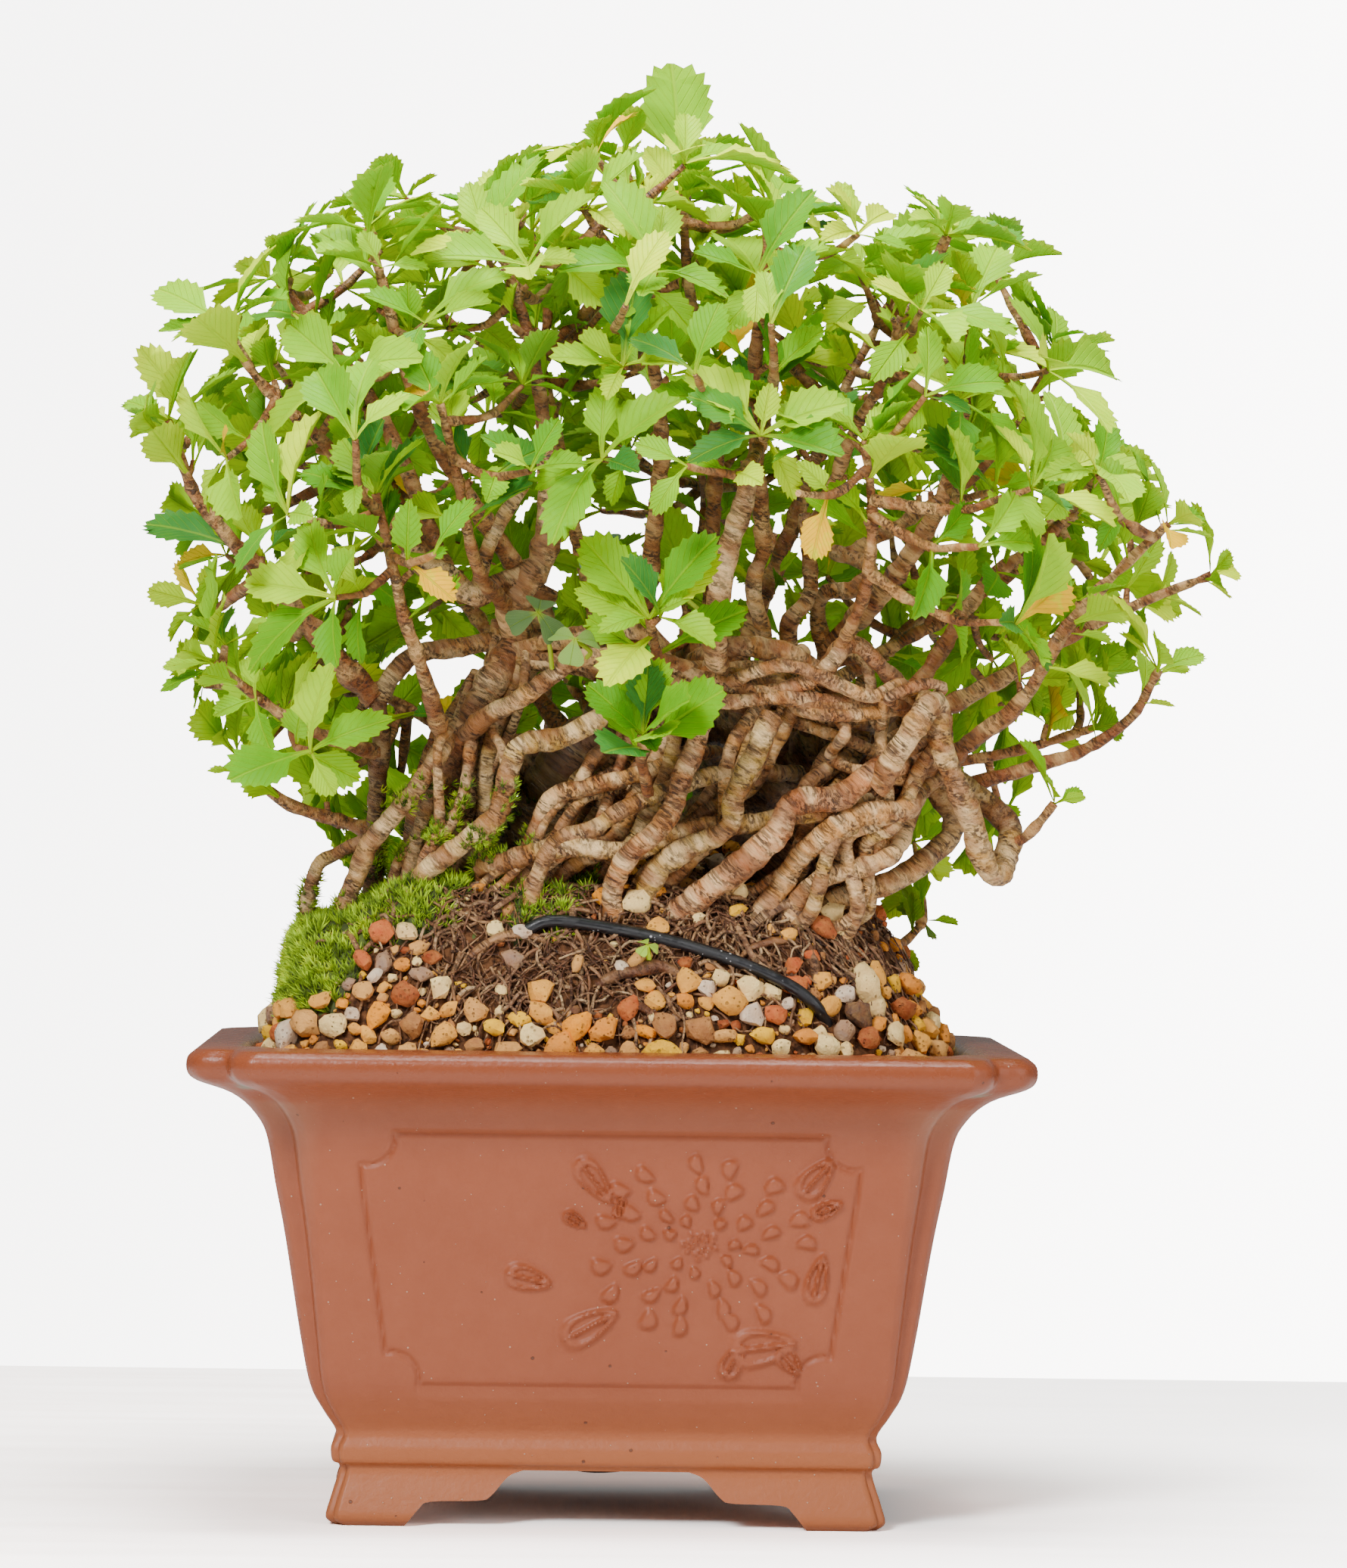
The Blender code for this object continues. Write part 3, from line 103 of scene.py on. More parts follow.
ARCH = [(38.6, -1.0), (37.6, 0.4), (35.2, 3.4), (33.0, 4.8),
        (24.0, 5.1), (21.6, 6.0), (18.4, 9.6), (15.6, 10.8)]
PANEL_TOP, PANEL_BOTTOM = 73.0, 28.4
PANEL_TOP_HALF, PANEL_BOTTOM_HALF, PANEL_NOTCH = 45.6, 40.4, 5.0
GROOVE_WIDTH, GROOVE_DEPTH = 0.95, 0.65
RELIEF_HEIGHT = 1.3
# The bloom's rings are radius, petals, and each petal's length and width.
BLOOM_CENTRE, BLOOM_STRETCH = (17.0, 53.5), 0.80
BLOOM_RINGS = [(19.0, 15, 5.2, 5.2), (14.2, 13, 5.0, 4.8), (9.8, 10, 4.2, 4.2), (6.0, 7, 3.2, 3.4)]
BLOOM_SEEDS, BLOOM_EYE = 18, 3.4
# Each leaf of the relief is place across and up, length, width and turn in degrees.
RELIEF_LEAVES = [
    (-3.5, 38.5, 12.0, 5.4, 28.0), (29.0, 35.0, 13.0, 6.6, 8.0), (-15.0, 47.0, 9.0, 4.4, -12.0),
    (-3.0, 65.5, 10.5, 4.6, -52.0), (38.5, 66.5, 10.0, 4.8, 48.0), (39.0, 47.5, 9.5, 4.2, 78.0),
    (23.5, 32.5, 7.5, 4.0, 60.0), (34.0, 32.5, 6.5, 3.6, -48.0), (40.5, 60.5, 6.5, 3.0, 24.0),
    (-6.5, 58.0, 5.0, 2.6, -30.0), (2.0, 60.5, 4.5, 2.4, 80.0),
]

# Soil
CLEARANCE = 0.35
SOIL_EDGE, MOUND_HEIGHT = 86.4, 33.0
MOUND_HALF_X, MOUND_HALF_Y, MOUND_POWER = 66.0, 51.0, 2.7
MOUND_FLANK, FLANK_POWER = 0.35, 1.4
LEFT_STEEPNESS, RIGHT_STEEPNESS = 5.0, 1.15
GROUND_RINGS, GROUND_SIDES = 70, (36, 26, 36, 26)
WIRE_RADIUS = 1.2
WIRE_ROUTE = [
    (-17.0, -40.4, 112.4), (-12.0, -40.0, 114.4), (-3.0, -40.2, 113.6), (10.0, -41.2, 111.2),
    (23.0, -42.8, 107.4), (33.0, -44.2, 103.2), (38.5, -44.0, 99.2), (41.0, -41.0, 95.4),
]
LOOP_ROUTE = [
    (-8.6, 0.0, 27.0), (-8.6, 0.0, 14.0), (-7.8, 0.0, 9.6), (-4.6, 0.0, 8.2), (0.0, 0.0, 8.0),
    (4.6, 0.0, 8.6), (7.8, 0.0, 10.4), (8.6, 0.0, 14.0), (8.6, 0.0, 27.0),
]

# Roots and trunks: radius at the foot, radius at the top, and the route
ROOTS = [
    (8.0, 5.4, [(-18, 6, 111), (-13, 6, 134), (-3, 4, 149), (9, -2, 159), (19, -10, 166)]),
    (8.0, 5.2, [(8, 10, 111), (18, 10, 129), (32, 7, 142), (45, 0, 149), (56, -8, 152)]),
    (7.0, 4.4, [(-34, 3, 112), (-33, 1, 132), (-27, -1, 150), (-19, -3, 165), (-15, -8, 180)]),
    (5.0, 4.6, [(-30, 8, 138), (-8, 12, 147), (14, 13, 152), (36, 11, 153), (50, 2, 153)]),
    (6.4, 4.8, [(26, -4, 113), (36, -12, 128), (48, -16, 136), (58, -18, 142), (62, -16, 149)]),
    (2.2, 1.9, [(-54, -23, 108), (-52, -24, 116), (-47, -25, 128), (-40, -26, 137),
                (-35, -25, 144), (-31, -18, 152)]),
    (3.6, 3.3, [(-41, -12, 114), (-36, -16, 136), (-33, -18, 144), (-28, -18, 153),
                (-23, -16, 161), (-17, -6, 172)]),
    (2.2, 2.0, [(-47, -6, 113), (-46, -10, 139), (-45, -11, 148), (-46, -12, 156),
                (-39, -10, 165), (-21, -5, 169)]),
    (2.2, 2.3, [(-42, -31, 108), (-37, -32, 122), (-29, -34, 129), (-22, -34, 135),
                (-19, -33, 147), (-11, -32, 149), (-4, -31, 153), (4, -25, 160), (13, -9, 163)]),
    (1.9, 1.8, [(-17, -34, 110), (-13, -36, 127), (-4, -36, 132), (4, -35, 137), (14, -32, 141),
                (24, -28, 143), (36, -16, 143)]),
    (1.8, 1.7, [(-22, -26, 113), (-13, -29, 136), (-5, -30, 140), (6, -29, 143), (16, -24, 147),
                (30, 1, 144)]),
    (2.4, 2.1, [(-1, -33, 106), (-0.5, -35.6, 114), (0, -38.6, 121), (4, -40, 128),
                (10, -39, 134), (13, -37, 142), (17, -33, 154), (18, -30, 163)]),
    (2.5, 2.3, [(2, -33, 109), (8, -37, 124), (15, -38, 129), (22, -39, 133), (23, -39, 139),
                (30, -37, 154)]),
    (2.9, 2.5, [(7, -33, 106), (12, -35.4, 115), (20, -38.6, 122), (31, -39, 131), (34, -38, 137),
                (43, -37, 139), (51, -33, 144), (60, -20, 145)]),
    (2.5, 2.4, [(25, -33, 109), (34, -34, 125), (40, -35, 131), (47, -35, 135), (56, -31, 137),
                (60, -20, 142)]),
    (2.1, 2.0, [(30, -32, 108), (38, -33, 122), (46, -32, 125), (54, -29, 128), (58, -19, 139)]),
    (2.4, 2.3, [(34, -26, 106), (42, -27, 118), (50, -26, 121), (60, -22, 126), (66, -16, 134),
                (60, -16, 144)]),
    (2.3, 2.6, [(57, -25, 158), (61, -33, 156), (62, -35, 150), (66, -34, 141), (69, -32, 133),
                (73, -29, 124), (76, -23, 128), (76, -18, 135), (61, -17, 145)]),
    (2.7, 2.2, [(50, -35, 141), (57, -38, 152), (61, -35, 157), (63, -31, 150), (59, -20, 141)]),
    (1.4, 1.5, [(18, -31, 158), (28, -36, 163), (36, -37, 163), (48, -36, 158), (54, -34, 160),
                (60, -26, 158)]),
    (1.8, 1.8, [(20, -31, 157), (33, -33, 159), (40, -34, 163), (45, -33, 168), (50, -33, 165),
                (57, -26, 158)]),
    (2.4, 2.2, [(13, -7, 162), (21, -27, 167), (29, -29, 167), (37, -27, 164), (53, -8, 152)]),
    (2.0, 1.8, [(-29, -20, 150), (-19, -31, 157), (-12, -31, 161), (-5, -30, 165), (14, -8, 164)]),
    (3.1, 2.0, [(13, -3, 159), (19, -28, 163), (19, -34, 170), (21, -35, 185), (24, -36, 194),
                (25, -37, 203)]),
    (3.6, 2.4, [(-16, -6, 166), (-20, -14, 174), (-14, -15, 185), (-13, -14, 195), (-14, -12, 206)]),
    (3.0, 2.4, [(-41, -17, 186), (-35, -18, 182), (-27, -18, 177), (-17, -14, 182)]),
    (1.7, 1.5, [(-27, -18, 178), (-24, -18, 188), (-18, -17, 199)]),
    (2.0, 1.6, [(34, 4, 144), (29, -13, 170), (27, -15, 180), (30, -14, 190)]),
    (2.2, 1.5, [(40, 2, 147), (34, -8, 170), (38, -8, 179), (37, -6, 194)]),
    (1.9, 1.7, [(45, 0, 150), (40, -4, 176), (47, -6, 179), (50, -3, 184), (43, 1, 187)]),
    (2.3, 2.0, [(-26, -28, 124), (-12, -35, 128), (3, -37, 128), (14, -35, 132), (28, -36, 134),
                (42, -33, 136), (55, -18, 140)]),
    (1.5, 1.4, [(-60, -14, 104), (-58, -20, 122), (-53, -21, 127), (-46, -25, 130)]),
]
# Thin roots by rule, from the root ball up to these hubs, and from hub to hub
ROOT_HUBS = [(60, -20, 143), (52, -14, 151), (15, -14, 163), (36, -20, 160), (-22, -12, 166), (58, -28, 156)]
THIN_ROOTS, HUB_LINKS = 46, 12
# How pale some of the roots are; the others' tones are drawn
ROOT_TONES = {1: 0.35, 11: 0.45, 12: 0.75, 13: 0.55, 14: 0.30, 15: 0.95, 16: 0.9, 17: 0.7, 18: 0.65}
BACK_ROOTS, BACK_ROOT_SEED = 8, 11
BACK_ROOT_SPREAD, BACK_ROOT_MEETING = (-38.0, 46.0), (11.5, 150.0)

# Shoots: the radius at the foot, then the foot, two points on the way and the tip
SHOOTS = [
    (2.3, (-50, -8, 158), (-64, -14, 176), (-82, -20, 196), (-87, -22, 210)),
    (1.9, (-22, -12, 186), (-37, -22, 209), (-44, -27, 231), (-49, -28, 247)),
    (1.7, (-30, -4, 184), (-47, -6, 214), (-59, -6, 229), (-67, -6, 239)),
    (1.6, (-33, -20, 148), (-37, -38, 162), (-41, -46, 174), (-46, -50, 195)),
    (1.8, (10, -22, 176), (8, -30, 206), (6, -34, 226), (-8, -36, 252)),
    (1.7, (25, -34, 200), (27, -37, 206), (28, -38, 210), (27, -39, 214)),
    (2.2, (42, -10, 166), (58, -18, 187), (66, -20, 206), (68, -22, 234)),
    (1.9, (54, -4, 160), (73, 0, 181), (85, 4, 190), (95, 6, 202)),
    (1.8, (60, -16, 143), (79, -24, 158), (88, -28, 174), (106, -30, 192)),
    (1.9, (58, -8, 150), (81, -6, 165), (95, -4, 174), (117, -4, 183)),
    (1.6, (64, -14, 140), (90, -18, 148), (101, -22, 156), (105, -24, 164)),
    (1.5, (44, 2, 180), (70, 6, 202), (81, 8, 216), (87, 8, 227)),
    (1.5, (38, -8, 188), (46, -24, 210), (51, -30, 220), (54, -32, 231)),
    (1.7, (18, -8, 168), (19, -6, 214), (14, -8, 236), (12, -10, 256)),
    (1.6, (-14, -12, 200), (-16, -14, 222), (-21, -14, 238), (-26, -12, 251)),
    (1.6, (-38, -16, 184), (-57, -24, 206), (-69, -28, 217), (-76, -30, 228)),
    (1.5, (-45, -10, 146), (-58, -24, 150), (-68, -30, 156), (-77, -32, 163)),
    (1.5, (-44, 0, 132), (-58, -4, 134), (-67, -6, 138), (-74, -6, 146)),
    (1.5, (74, -20, 128), (78, -22, 130), (82, -24, 134), (85, -25, 138)),
    (1.6, (48, 14, 120), (56, 24, 110), (60, 30, 110), (64, 33, 114)),
    (1.2, (6, -34, 140), (5, -44, 145), (5, -49, 147), (5, -51, 150)),
    (1.4, (12, -26, 160), (8, -40, 165), (7, -47, 169), (6, -50, 172)),
    (1.6, (-22, -16, 170), (-27, -34, 182), (-30, -46, 196), (-34, -52, 212)),
    (1.6, (40, -26, 160), (46, -42, 174), (48, -50, 190), (46, -54, 206)),
    (1.6, (30, -14, 186), (26, -24, 214), (27, -30, 232), (28, -32, 247)),
]
BACK_SHOOTS, BACK_SHOOT_SEED = 11, 5
CROWN_CENTRE = (8.0, 0.0, 168.0)
CROWN_REACH = (100.0, 84.0, 94.0)
LEAF_LENGTH = (13.0, 21.0)
TALL_SHOOT, TALL_LEAF_LENGTH = 14, 26.0
LEAF_WIDTH = 0.56
LEAF_SEED = 23
LEAF_FORMS, LEAF_TEETH = 6, 6
LEAF_RIB = (0.1, 0.3, 0.5, 0.68, 0.86)
LEAF_HALF_LINE = ((0.32, 0.10), (0.46, 0.30), (0.64, 0.52), (0.82, 0.44))
# The crown's outline as the camera sees it, about its middle: direction in degrees and reach
CROWN_MIDDLE = (8.0, 165.0)
CROWN_EDGE = [
    (-100, 60), (-50, 80), (-42, 67), (-36, 70), (-30, 72), (-24, 80), (-18, 72), (-12, 77), (-6, 87),
    (0, 90), (6, 100), (12, 104), (18, 104), (24, 97), (30, 94), (36, 104), (42, 102), (48, 108), (54, 106),
    (60, 103), (66, 95), (72, 94), (78, 97), (84, 104), (90, 114), (96, 108), (102, 100), (108, 96),
    (114, 97), (120, 109), (132, 106), (138, 107), (144, 118), (150, 110), (156, 110), (162, 112),
    (168, 101), (174, 95), (180, 92), (186, 94), (192, 86), (198, 84), (204, 78), (210, 73), (225, 70),
    (260, 60),
]
CROWN_SPACING, CROWN_LOWEST, CROWN_TRIES = 17.0, 128.0, 9000
WITHERED = [(61, 240), (25, 228), (-36, 214), (55, 191), (42, 173), (-20, 178)]
WHORLS = [(0.55, 1), (0.82, 2), (0.97, 2), (1.0, 2)]
SHOOT_STEPS, TIP_RADIUS = 4, 0.8
NOSE = 0.5
SEAT_GAP, SEAT_STEP = 0.45, 0.1
LEAF_TRIES = 14
LEAF_FACING = (1.0, 0.5, 0.9)
SHEET_LINES, SHEET_HALF = 5, 0.95
SORRELS = [
    ((16, -35, 172), (8, -39, 180), (-1, -42, 185), 6.4),
    ((-12, -31, 161), (-13, -38, 168), (-15, -41, 173), 6.0),
    ((-6, -31, 165), (-5, -39, 166), (-8, -44, 168), 5.0),
]
SEEDLING = ((7.0, -41.4, 102.6), (7.0, -43.8, 106.2), (6.5, -45.4, 110.2), 2.4)
SORREL_STEM, SORREL_DROOPS = 0.55, (0.24, 0.35, 0.47)

# Fine roots seen on the root ball: radius, tone, then places across and up on its front
FINE_ROOTS = [
    (0.8, 0.55, [(-40, 130), (-34, 123), (-28, 116)]),
    (0.9, 0.35, [(-13, 122), (-19, 118), (-25, 115)]),
    (0.9, 0.30, [(-12, 119), (-8, 117), (-8, 113), (-11, 110)]),
    (0.8, 0.45, [(23, 107), (28, 110), (36, 111)]),
    (1.3, 0.20, [(26, 113), (32, 116), (37, 115), (38, 119), (44, 118), (49, 115)]),
    (1.1, 0.70, [(37, 111), (38, 107), (39, 102)]),
    (0.9, 0.40, [(-29, 105), (-23, 110), (-17, 111), (-12, 110)]),
    (1.2, 0.80, [(-3, 102), (3, 104), (10, 105), (15, 104)]),
    (0.8, 0.65, [(0, 102), (6, 98), (12, 95)]),
    (1.0, 0.75, [(-46, 112), (-45, 118), (-44, 123)]),
    (0.9, 0.50, [(-52, 116), (-49, 110), (-47, 106)]),
    (0.7, 0.30, [(20, 118), (24, 112), (27, 107), (33, 104)]),
    (0.7, 0.85, [(44, 112), (47, 106), (45, 101)]),
]
FIBRES = 1750
# Stones seen on the front: place across and up, size and tint
STONES = [
    (-1.6, 93.5, 3.4, 0.15), (-15.6, 92.3, 3.2, 0.32), (-37.7, 94.0, 3.0, 0.75), (-31, 97.5, 2.4, 0.22),
    (-22.5, 94.0, 2.8, 0.42), (26.0, 101.5, 3.2, 0.35), (20.5, 103.5, 2.3, 0.37), (41.0, 98.0, 3.0, 0.25),
    (46.5, 96.5, 3.3, 0.97), (28.3, 93.0, 2.8, 0.45), (53.0, 93.0, 3.2, 0.31), (36.0, 92.6, 3.2, 0.12),
    (30.5, 96.8, 2.6, 0.55), (-34.2, 107.0, 2.6, 0.62), (-43.7, 111.0, 3.6, 0.57),
    (-40.0, 105.5, 2.2, 0.14), (-36.4, 103.6, 2.3, 0.85), (14.0, 103.0, 3.1, 0.18), (13.8, 99.0, 2.4, 0.13),
    (6.0, 93.5, 2.1, 0.52), (4.5, 117.0, 3.4, 0.34), (58.0, 94.5, 2.6, 0.47), (62.0, 96.0, 2.8, 0.70),
    (34.0, 106.0, 2.6, 0.60), (-17.5, 111.6, 2.9, 0.93), (-19.0, 107.0, 2.3, 0.90), (9.0, 113.0, 2.6, 0.20),
    (39.5, 103.0, 2.4, 0.17),
]
# How often each tint comes among the loose stones
STONE_TINTS = [
    (0.05, 6), (0.2, 12), (0.34, 10), (0.44, 5), (0.5, 1), (0.56, 4), (0.63, 6), (0.71, 7), (0.8, 9),
    (0.87, 4), (0.92, 3), (0.98, 1),
]
STONE_FORMS = 8
STONE_TRIES, FRONT_TRIES = 26000, 11000
# The loose stones get smaller as they fill in: share of the tries and size
STONE_SIZES = [(0, 3.3), (0.03, 2.5), (0.15, 1.9), (0.4, 1.2), (1, 0.5)]
# How high the gravel reaches on the front, and from where on moss grows: place across and height
GRAVEL_EDGE = [
    (-66, 95), (-55, 99), (-46, 109), (-38, 112), (-32, 104), (-25, 97.5), (-10, 96), (5, 97), (12, 101),
    (20, 104), (45, 104), (55, 103), (66, 98),
]
MOSS_EDGE = [(-66, 96), (-51, 98), (-46, 109), (-36, 112), (-30, 109), (-8, 112), (2, 122)]


# The moss cushion's grid: step, columns and rows, and its front left corner
MOSS_GRID, MOSS_CORNER = (1.2, 58, 84), (-66, -50.2)


# Curves and the shape of the ground


def held(share):
    """A share kept from 0 to 1."""
    return min(max(share, 0), 1)


def eased(value, low, high):
    """A share that goes smoothly from 0 at low to 1 at high."""
    share = np.clip((value - low) / (high - low), 0, 1)
    return share * share * (3 - 2 * share)


def placed(points):
    """Where the frame has these places, in metres."""
    spots = np.array([tuple(p) for p in points], float)
    height = spots[:, 2:].copy()
    spots[:, :2] *= 1 + LET_OUT_WIDTH * (1 - eased(height, *LET_OUT_BELOW))
    spots[:, 2:] += LET_OUT_HEIGHT * (eased(height, *LET_OUT_ABOVE) - 1)
    return (spots + np.array(SHIFT)) * MM


def smooth_path(points, steps):
    """A curve through the points, with this many steps between one and the next."""
    ends = [2 * points[0] - points[1], *points, 2 * points[-1] - points[-2]]
    path = []
    for i in range(len(points) - 1):
        before, start, stop, after = ends[i : i + 4]
        for k in range(steps):
            t = k / steps
            path.append(
                0.5 * (2 * start + (stop - before) * t + (2 * before - 5 * start + 4 * stop - after) * t * t
                       + (3 * start - before - 3 * stop + after) * t * t * t)
            )
    return [*path, points[-1].copy()]


def path_length(path):
    return sum((b - a).length for a, b in zip(path, path[1:]))


def along(path, share):
    """The point and direction at this share of a path's length."""
    lengths = [(b - a).length for a, b in zip(path, path[1:])]
    left = share * sum(lengths)
    for a, b, length in zip(path, path[1:], lengths):
        if left <= length or b is path[-1]:
            return a.lerp(b, min(left / length, 1.0)), (b - a).normalized()
        left -= length


def resampled(path, count):
    return [along(path, i / count)[0] for i in range(count + 1)]


def any_vector(draw, *spans):
    """A vector drawn between these lowest and highest values."""
    return Vector([draw.uniform(low, high) for low, high in spans])


def square_to(direction, towards):
    """The unit vector nearest to towards that is square to direction."""
    side = towards - direction * towards.dot(direction)
    return side.normalized() if side.length > 1e-4 else direction.orthogonal().normalized()


def soil_height(x, y):
    """Height of the soil: level inside the rim, with the root ball standing up in the middle."""
    across = (abs(x) / MOUND_HALF_X) ** (LEFT_STEEPNESS if x < 0 else RIGHT_STEEPNESS)
    out = (across**MOUND_POWER + (abs(y) / MOUND_HALF_Y) ** MOUND_POWER) ** (1 / MOUND_POWER)
    rise = min(max((1 - out) / MOUND_FLANK, 0.0), 1.0)
    lumps = 1.1 * noise.noise(Vector((x, y, 0)) * 0.09) * min(rise * 4, 1.0)
    return SOIL_EDGE + MOUND_HEIGHT * (1 - (1 - rise) ** FLANK_POWER) + lumps


def ground_height(x, y):
    """Height of the visible ground: lower at the left shoulder, higher under the roots."""
    height = soil_height(x, y)
    left = held((-38 - x) / 18)
    height -= (height - SOIL_EDGE) * 0.24 * left * left * (3 - 2 * left)
    return height + 9 * math.exp(-(((x - 8) / 36) ** 2) - ((y - 6) / 17) ** 2)


def gravel_edge(x, y):
    """Height up to which gravel covers the ground."""
    return float(np.interp(x, *zip(*GRAVEL_EDGE))) if y < -12 else 94.0


def soil_front(x, height):
    """The place on the root ball's front that has this height."""
    low, high = -MOUND_HALF_Y, -6.0
    for _ in range(10):
        y = (low + high) / 2
        low, high = (y, high) if ground_height(x, y) < height else (low, y)
    return Vector((x, y, ground_height(x, y)))


def soil_way(place):
    """The direction that the soil faces at a place."""
    step = 1.5
    slope_x = ground_height(place.x + step, place.y) - ground_height(place.x - step, place.y)
    slope_y = ground_height(place.x, place.y + step) - ground_height(place.x, place.y - step)
    return Vector((-slope_x, -slope_y, 2 * step)).normalized()


# The plan of the tree, as in the part's source


class Space:
    """Tapered rods with round ends that stand for all that is placed so far, each with its owner's name."""

    def __init__(self):
        self.rods, self.owners = [], []

    def add(self, owner, path, radii):
        for a, b, start_radius, stop_radius in zip(path, path[1:], radii, radii[1:]):
            self.rods.append((*a, *b, start_radius, stop_radius))
            self.owners.append(owner)

    def of(self, owners):
        """The rods whose owner passes a test."""
        return np.array([rod for rod, owner in zip(self.rods, self.owners) if owners(owner)]).reshape(-1, 8)

    def gap(self, start, stop, radius, owners):
        """How far a new rod would lie from the nearest rod of the owners it is tested against."""
        return rod_gap(start, stop, self.of(owners)) - radius


def rod_gap(start, stop, rods):
    """Distance of the segment from start to stop from the surface of the nearest rod."""
    if not len(rods):
        return math.inf
    p, q, a, b = np.array(start), np.array(stop), rods[:, :3], rods[:, 3:6]
    d1, d2, r = q - p, b - a, p - a
    long1, long2 = max(d1 @ d1, TINY), np.maximum((d2 * d2).sum(1), TINY)
    f, c, cross = (d2 * r).sum(1), r @ d1, d2 @ d1
    spread = long1 * long2 - cross * cross
    s = np.where(spread > TINY, np.clip((cross * f - c * long2) / np.maximum(spread, TINY), 0, 1), 0.0)
    t = np.clip((cross * s + f) / long2, 0, 1)
    s = np.clip((cross * t - c) / long1, 0, 1)
    apart = np.linalg.norm((p + s[:, None] * d1) - (a + t[:, None] * d2), axis=1)
    return float((apart - rods[:, 6] - (rods[:, 7] - rods[:, 6]) * t).min())


def plan_roots():
    """Every root and trunk as (path, radii): those seen from the front, then the back ones by rule."""
    roots = []
    for foot, top, route in ROOTS:
        path = [Vector(p) for p in route]
        radii = [foot + (top - foot) * i / (len(path) - 1) for i in range(len(path))]
        roots.append((path, radii))
    draw = random.Random(BACK_ROOT_SEED)
    low, high = BACK_ROOT_SPREAD
    for i in range(BACK_ROOTS):
        x = low + (high - low) * i / (BACK_ROOTS - 1)
        y = draw.uniform(18, 31)
        end_x = min(max(x + draw.uniform(-4, 14), low + 10), high - 6)
        path = [Vector((x, y, soil_height(x, y) - 9))]
        for share in (0.35, 0.65, 0.88):
            path.append(
                Vector((x + (end_x - x) * share + draw.uniform(-3, 3), y + draw.uniform(-2, 4) * (1 - share),
                        path[0].z + (BACK_ROOT_MEETING[1] - path[0].z) * share))
            )
        path.append(Vector((end_x, *BACK_ROOT_MEETING)))
        foot = draw.uniform(2.2, 3.4)
        roots.append((path, [foot * (1 - 0.08 * k) for k in range(5)]))
    return roots


def back_shoots():
    """Shoots of the back and top by rule: directions spread evenly, from the nearest wood."""
    draw = random.Random(BACK_SHOOT_SEED)
    centre, reach = Vector(CROWN_CENTRE), Vector(CROWN_REACH)
    shoots = []
    for i in range(BACK_SHOOTS):
        rise = -0.22 + 1.12 * (i + 0.5) / BACK_SHOOTS
        flat = math.sqrt(1 - min(rise, 0.97) ** 2)
        turn = math.radians(14 + (i * 61.8) % 152)
        way = Vector((math.cos(turn) * flat, math.sin(turn) * flat, rise))
        tip = centre + Vector(way[k] * reach[k] * draw.uniform(0.86, 0.96) for k in range(3))
        foot = Vector((centre.x + way.x * 24, 12 + way.y * 12, 146 + 24 * max(rise, 0)))
        bend = foot.lerp(tip, 0.45) + Vector((0, 3, draw.uniform(-9, -3)))
        rest = foot.lerp(tip, 0.75) + Vector((0, 2, draw.uniform(-7, -2)))
        shoots.append((draw.uniform(1.5, 2.0), foot, bend, rest, tip))
    return shoots


def nearest_wood(space, point):
    """The point nearest to this one on the middle lines of the wood."""
    wood = space.of(lambda owner: owner == "wood")
    starts, ways = wood[:, :3], wood[:, 3:6] - wood[:, :3]
    shares = np.clip(((np.array(point) - starts) * ways).sum(1) / (ways * ways).sum(1), 0, 1)
    places = starts + shares[:, None] * ways
    return Vector(places[np.linalg.norm(places - np.array(point), axis=1).argmin()])


def seated(path, radii, space):
    """How far along the path its end disc still keeps the seat's gap from the wood, from its tip."""
    wood = space.of(lambda owner: owner == "wood")
    steps = int(path_length(path) / SEAT_STEP)
    rims = []
    for i in range(steps + 1):
        point, way = along(path, i / steps)
        side = square_to(way, UP)
        other = way.cross(side)
        radius = radii[0] + (radii[-1] - radii[0]) * i / steps
        for k in range(8):
            turn = math.tau * k / 8
            rims.append(point + (side * math.cos(turn) + other * math.sin(turn)) * radius)
    places, ways = np.array([tuple(p) for p in rims])[:, None, :], wood[:, 3:6] - wood[:, :3]
    t = np.clip(((places - wood[:, :3]) * ways).sum(2) / (ways * ways).sum(1), 0, 1)
    apart = np.linalg.norm(places - wood[:, :3] - t[..., None] * ways, axis=2)
    gaps = (apart - wood[:, 6] - (wood[:, 7] - wood[:, 6]) * t).min(1).reshape(-1, 8).min(1)
    blocked = np.nonzero(gaps < SEAT_GAP)[0]
    return min((int(blocked[-1]) + 1) / steps, 1.0) if len(blocked) else 0.0


def leaf_frame(way, up):
    """Three axes of a leaf: along it, across it and out of its upper face."""
    along_it = way.normalized()
    face = square_to(along_it, up)
    return along_it, face.cross(along_it), face


def leaf_point(leaf, share, across):
    """A point of the leaf's middle surface: it arches down to the tip and folds up at the sides."""
    along_it, sideways, face = leaf["axes"]
    length = leaf["length"]
    drop = leaf["arch"] * length * share * share
    fold = leaf["fold"] * abs(across)
    return leaf["root"] + along_it * (length * share) + sideways * across + face * (fold - drop)


def leaf_lines(leaf, first, last):
    """Lines side by side over the leaf, close enough together that nothing fits between them."""
    half = 0.5 * LEAF_WIDTH * leaf["length"]
    for k in range(SHEET_LINES):
        across = half * (2 * k / (SHEET_LINES - 1) - 1) * 0.9
        begin = first + (0.24 if abs(across) > 0.6 * half else 0.0)
        end = last - (0.10 if abs(across) > 0.6 * half else 0.0)
        shares = [begin, (begin + end) / 2, end]
        yield [leaf_point(leaf, s, across * min(1, s * 1.5)) for s in shares]


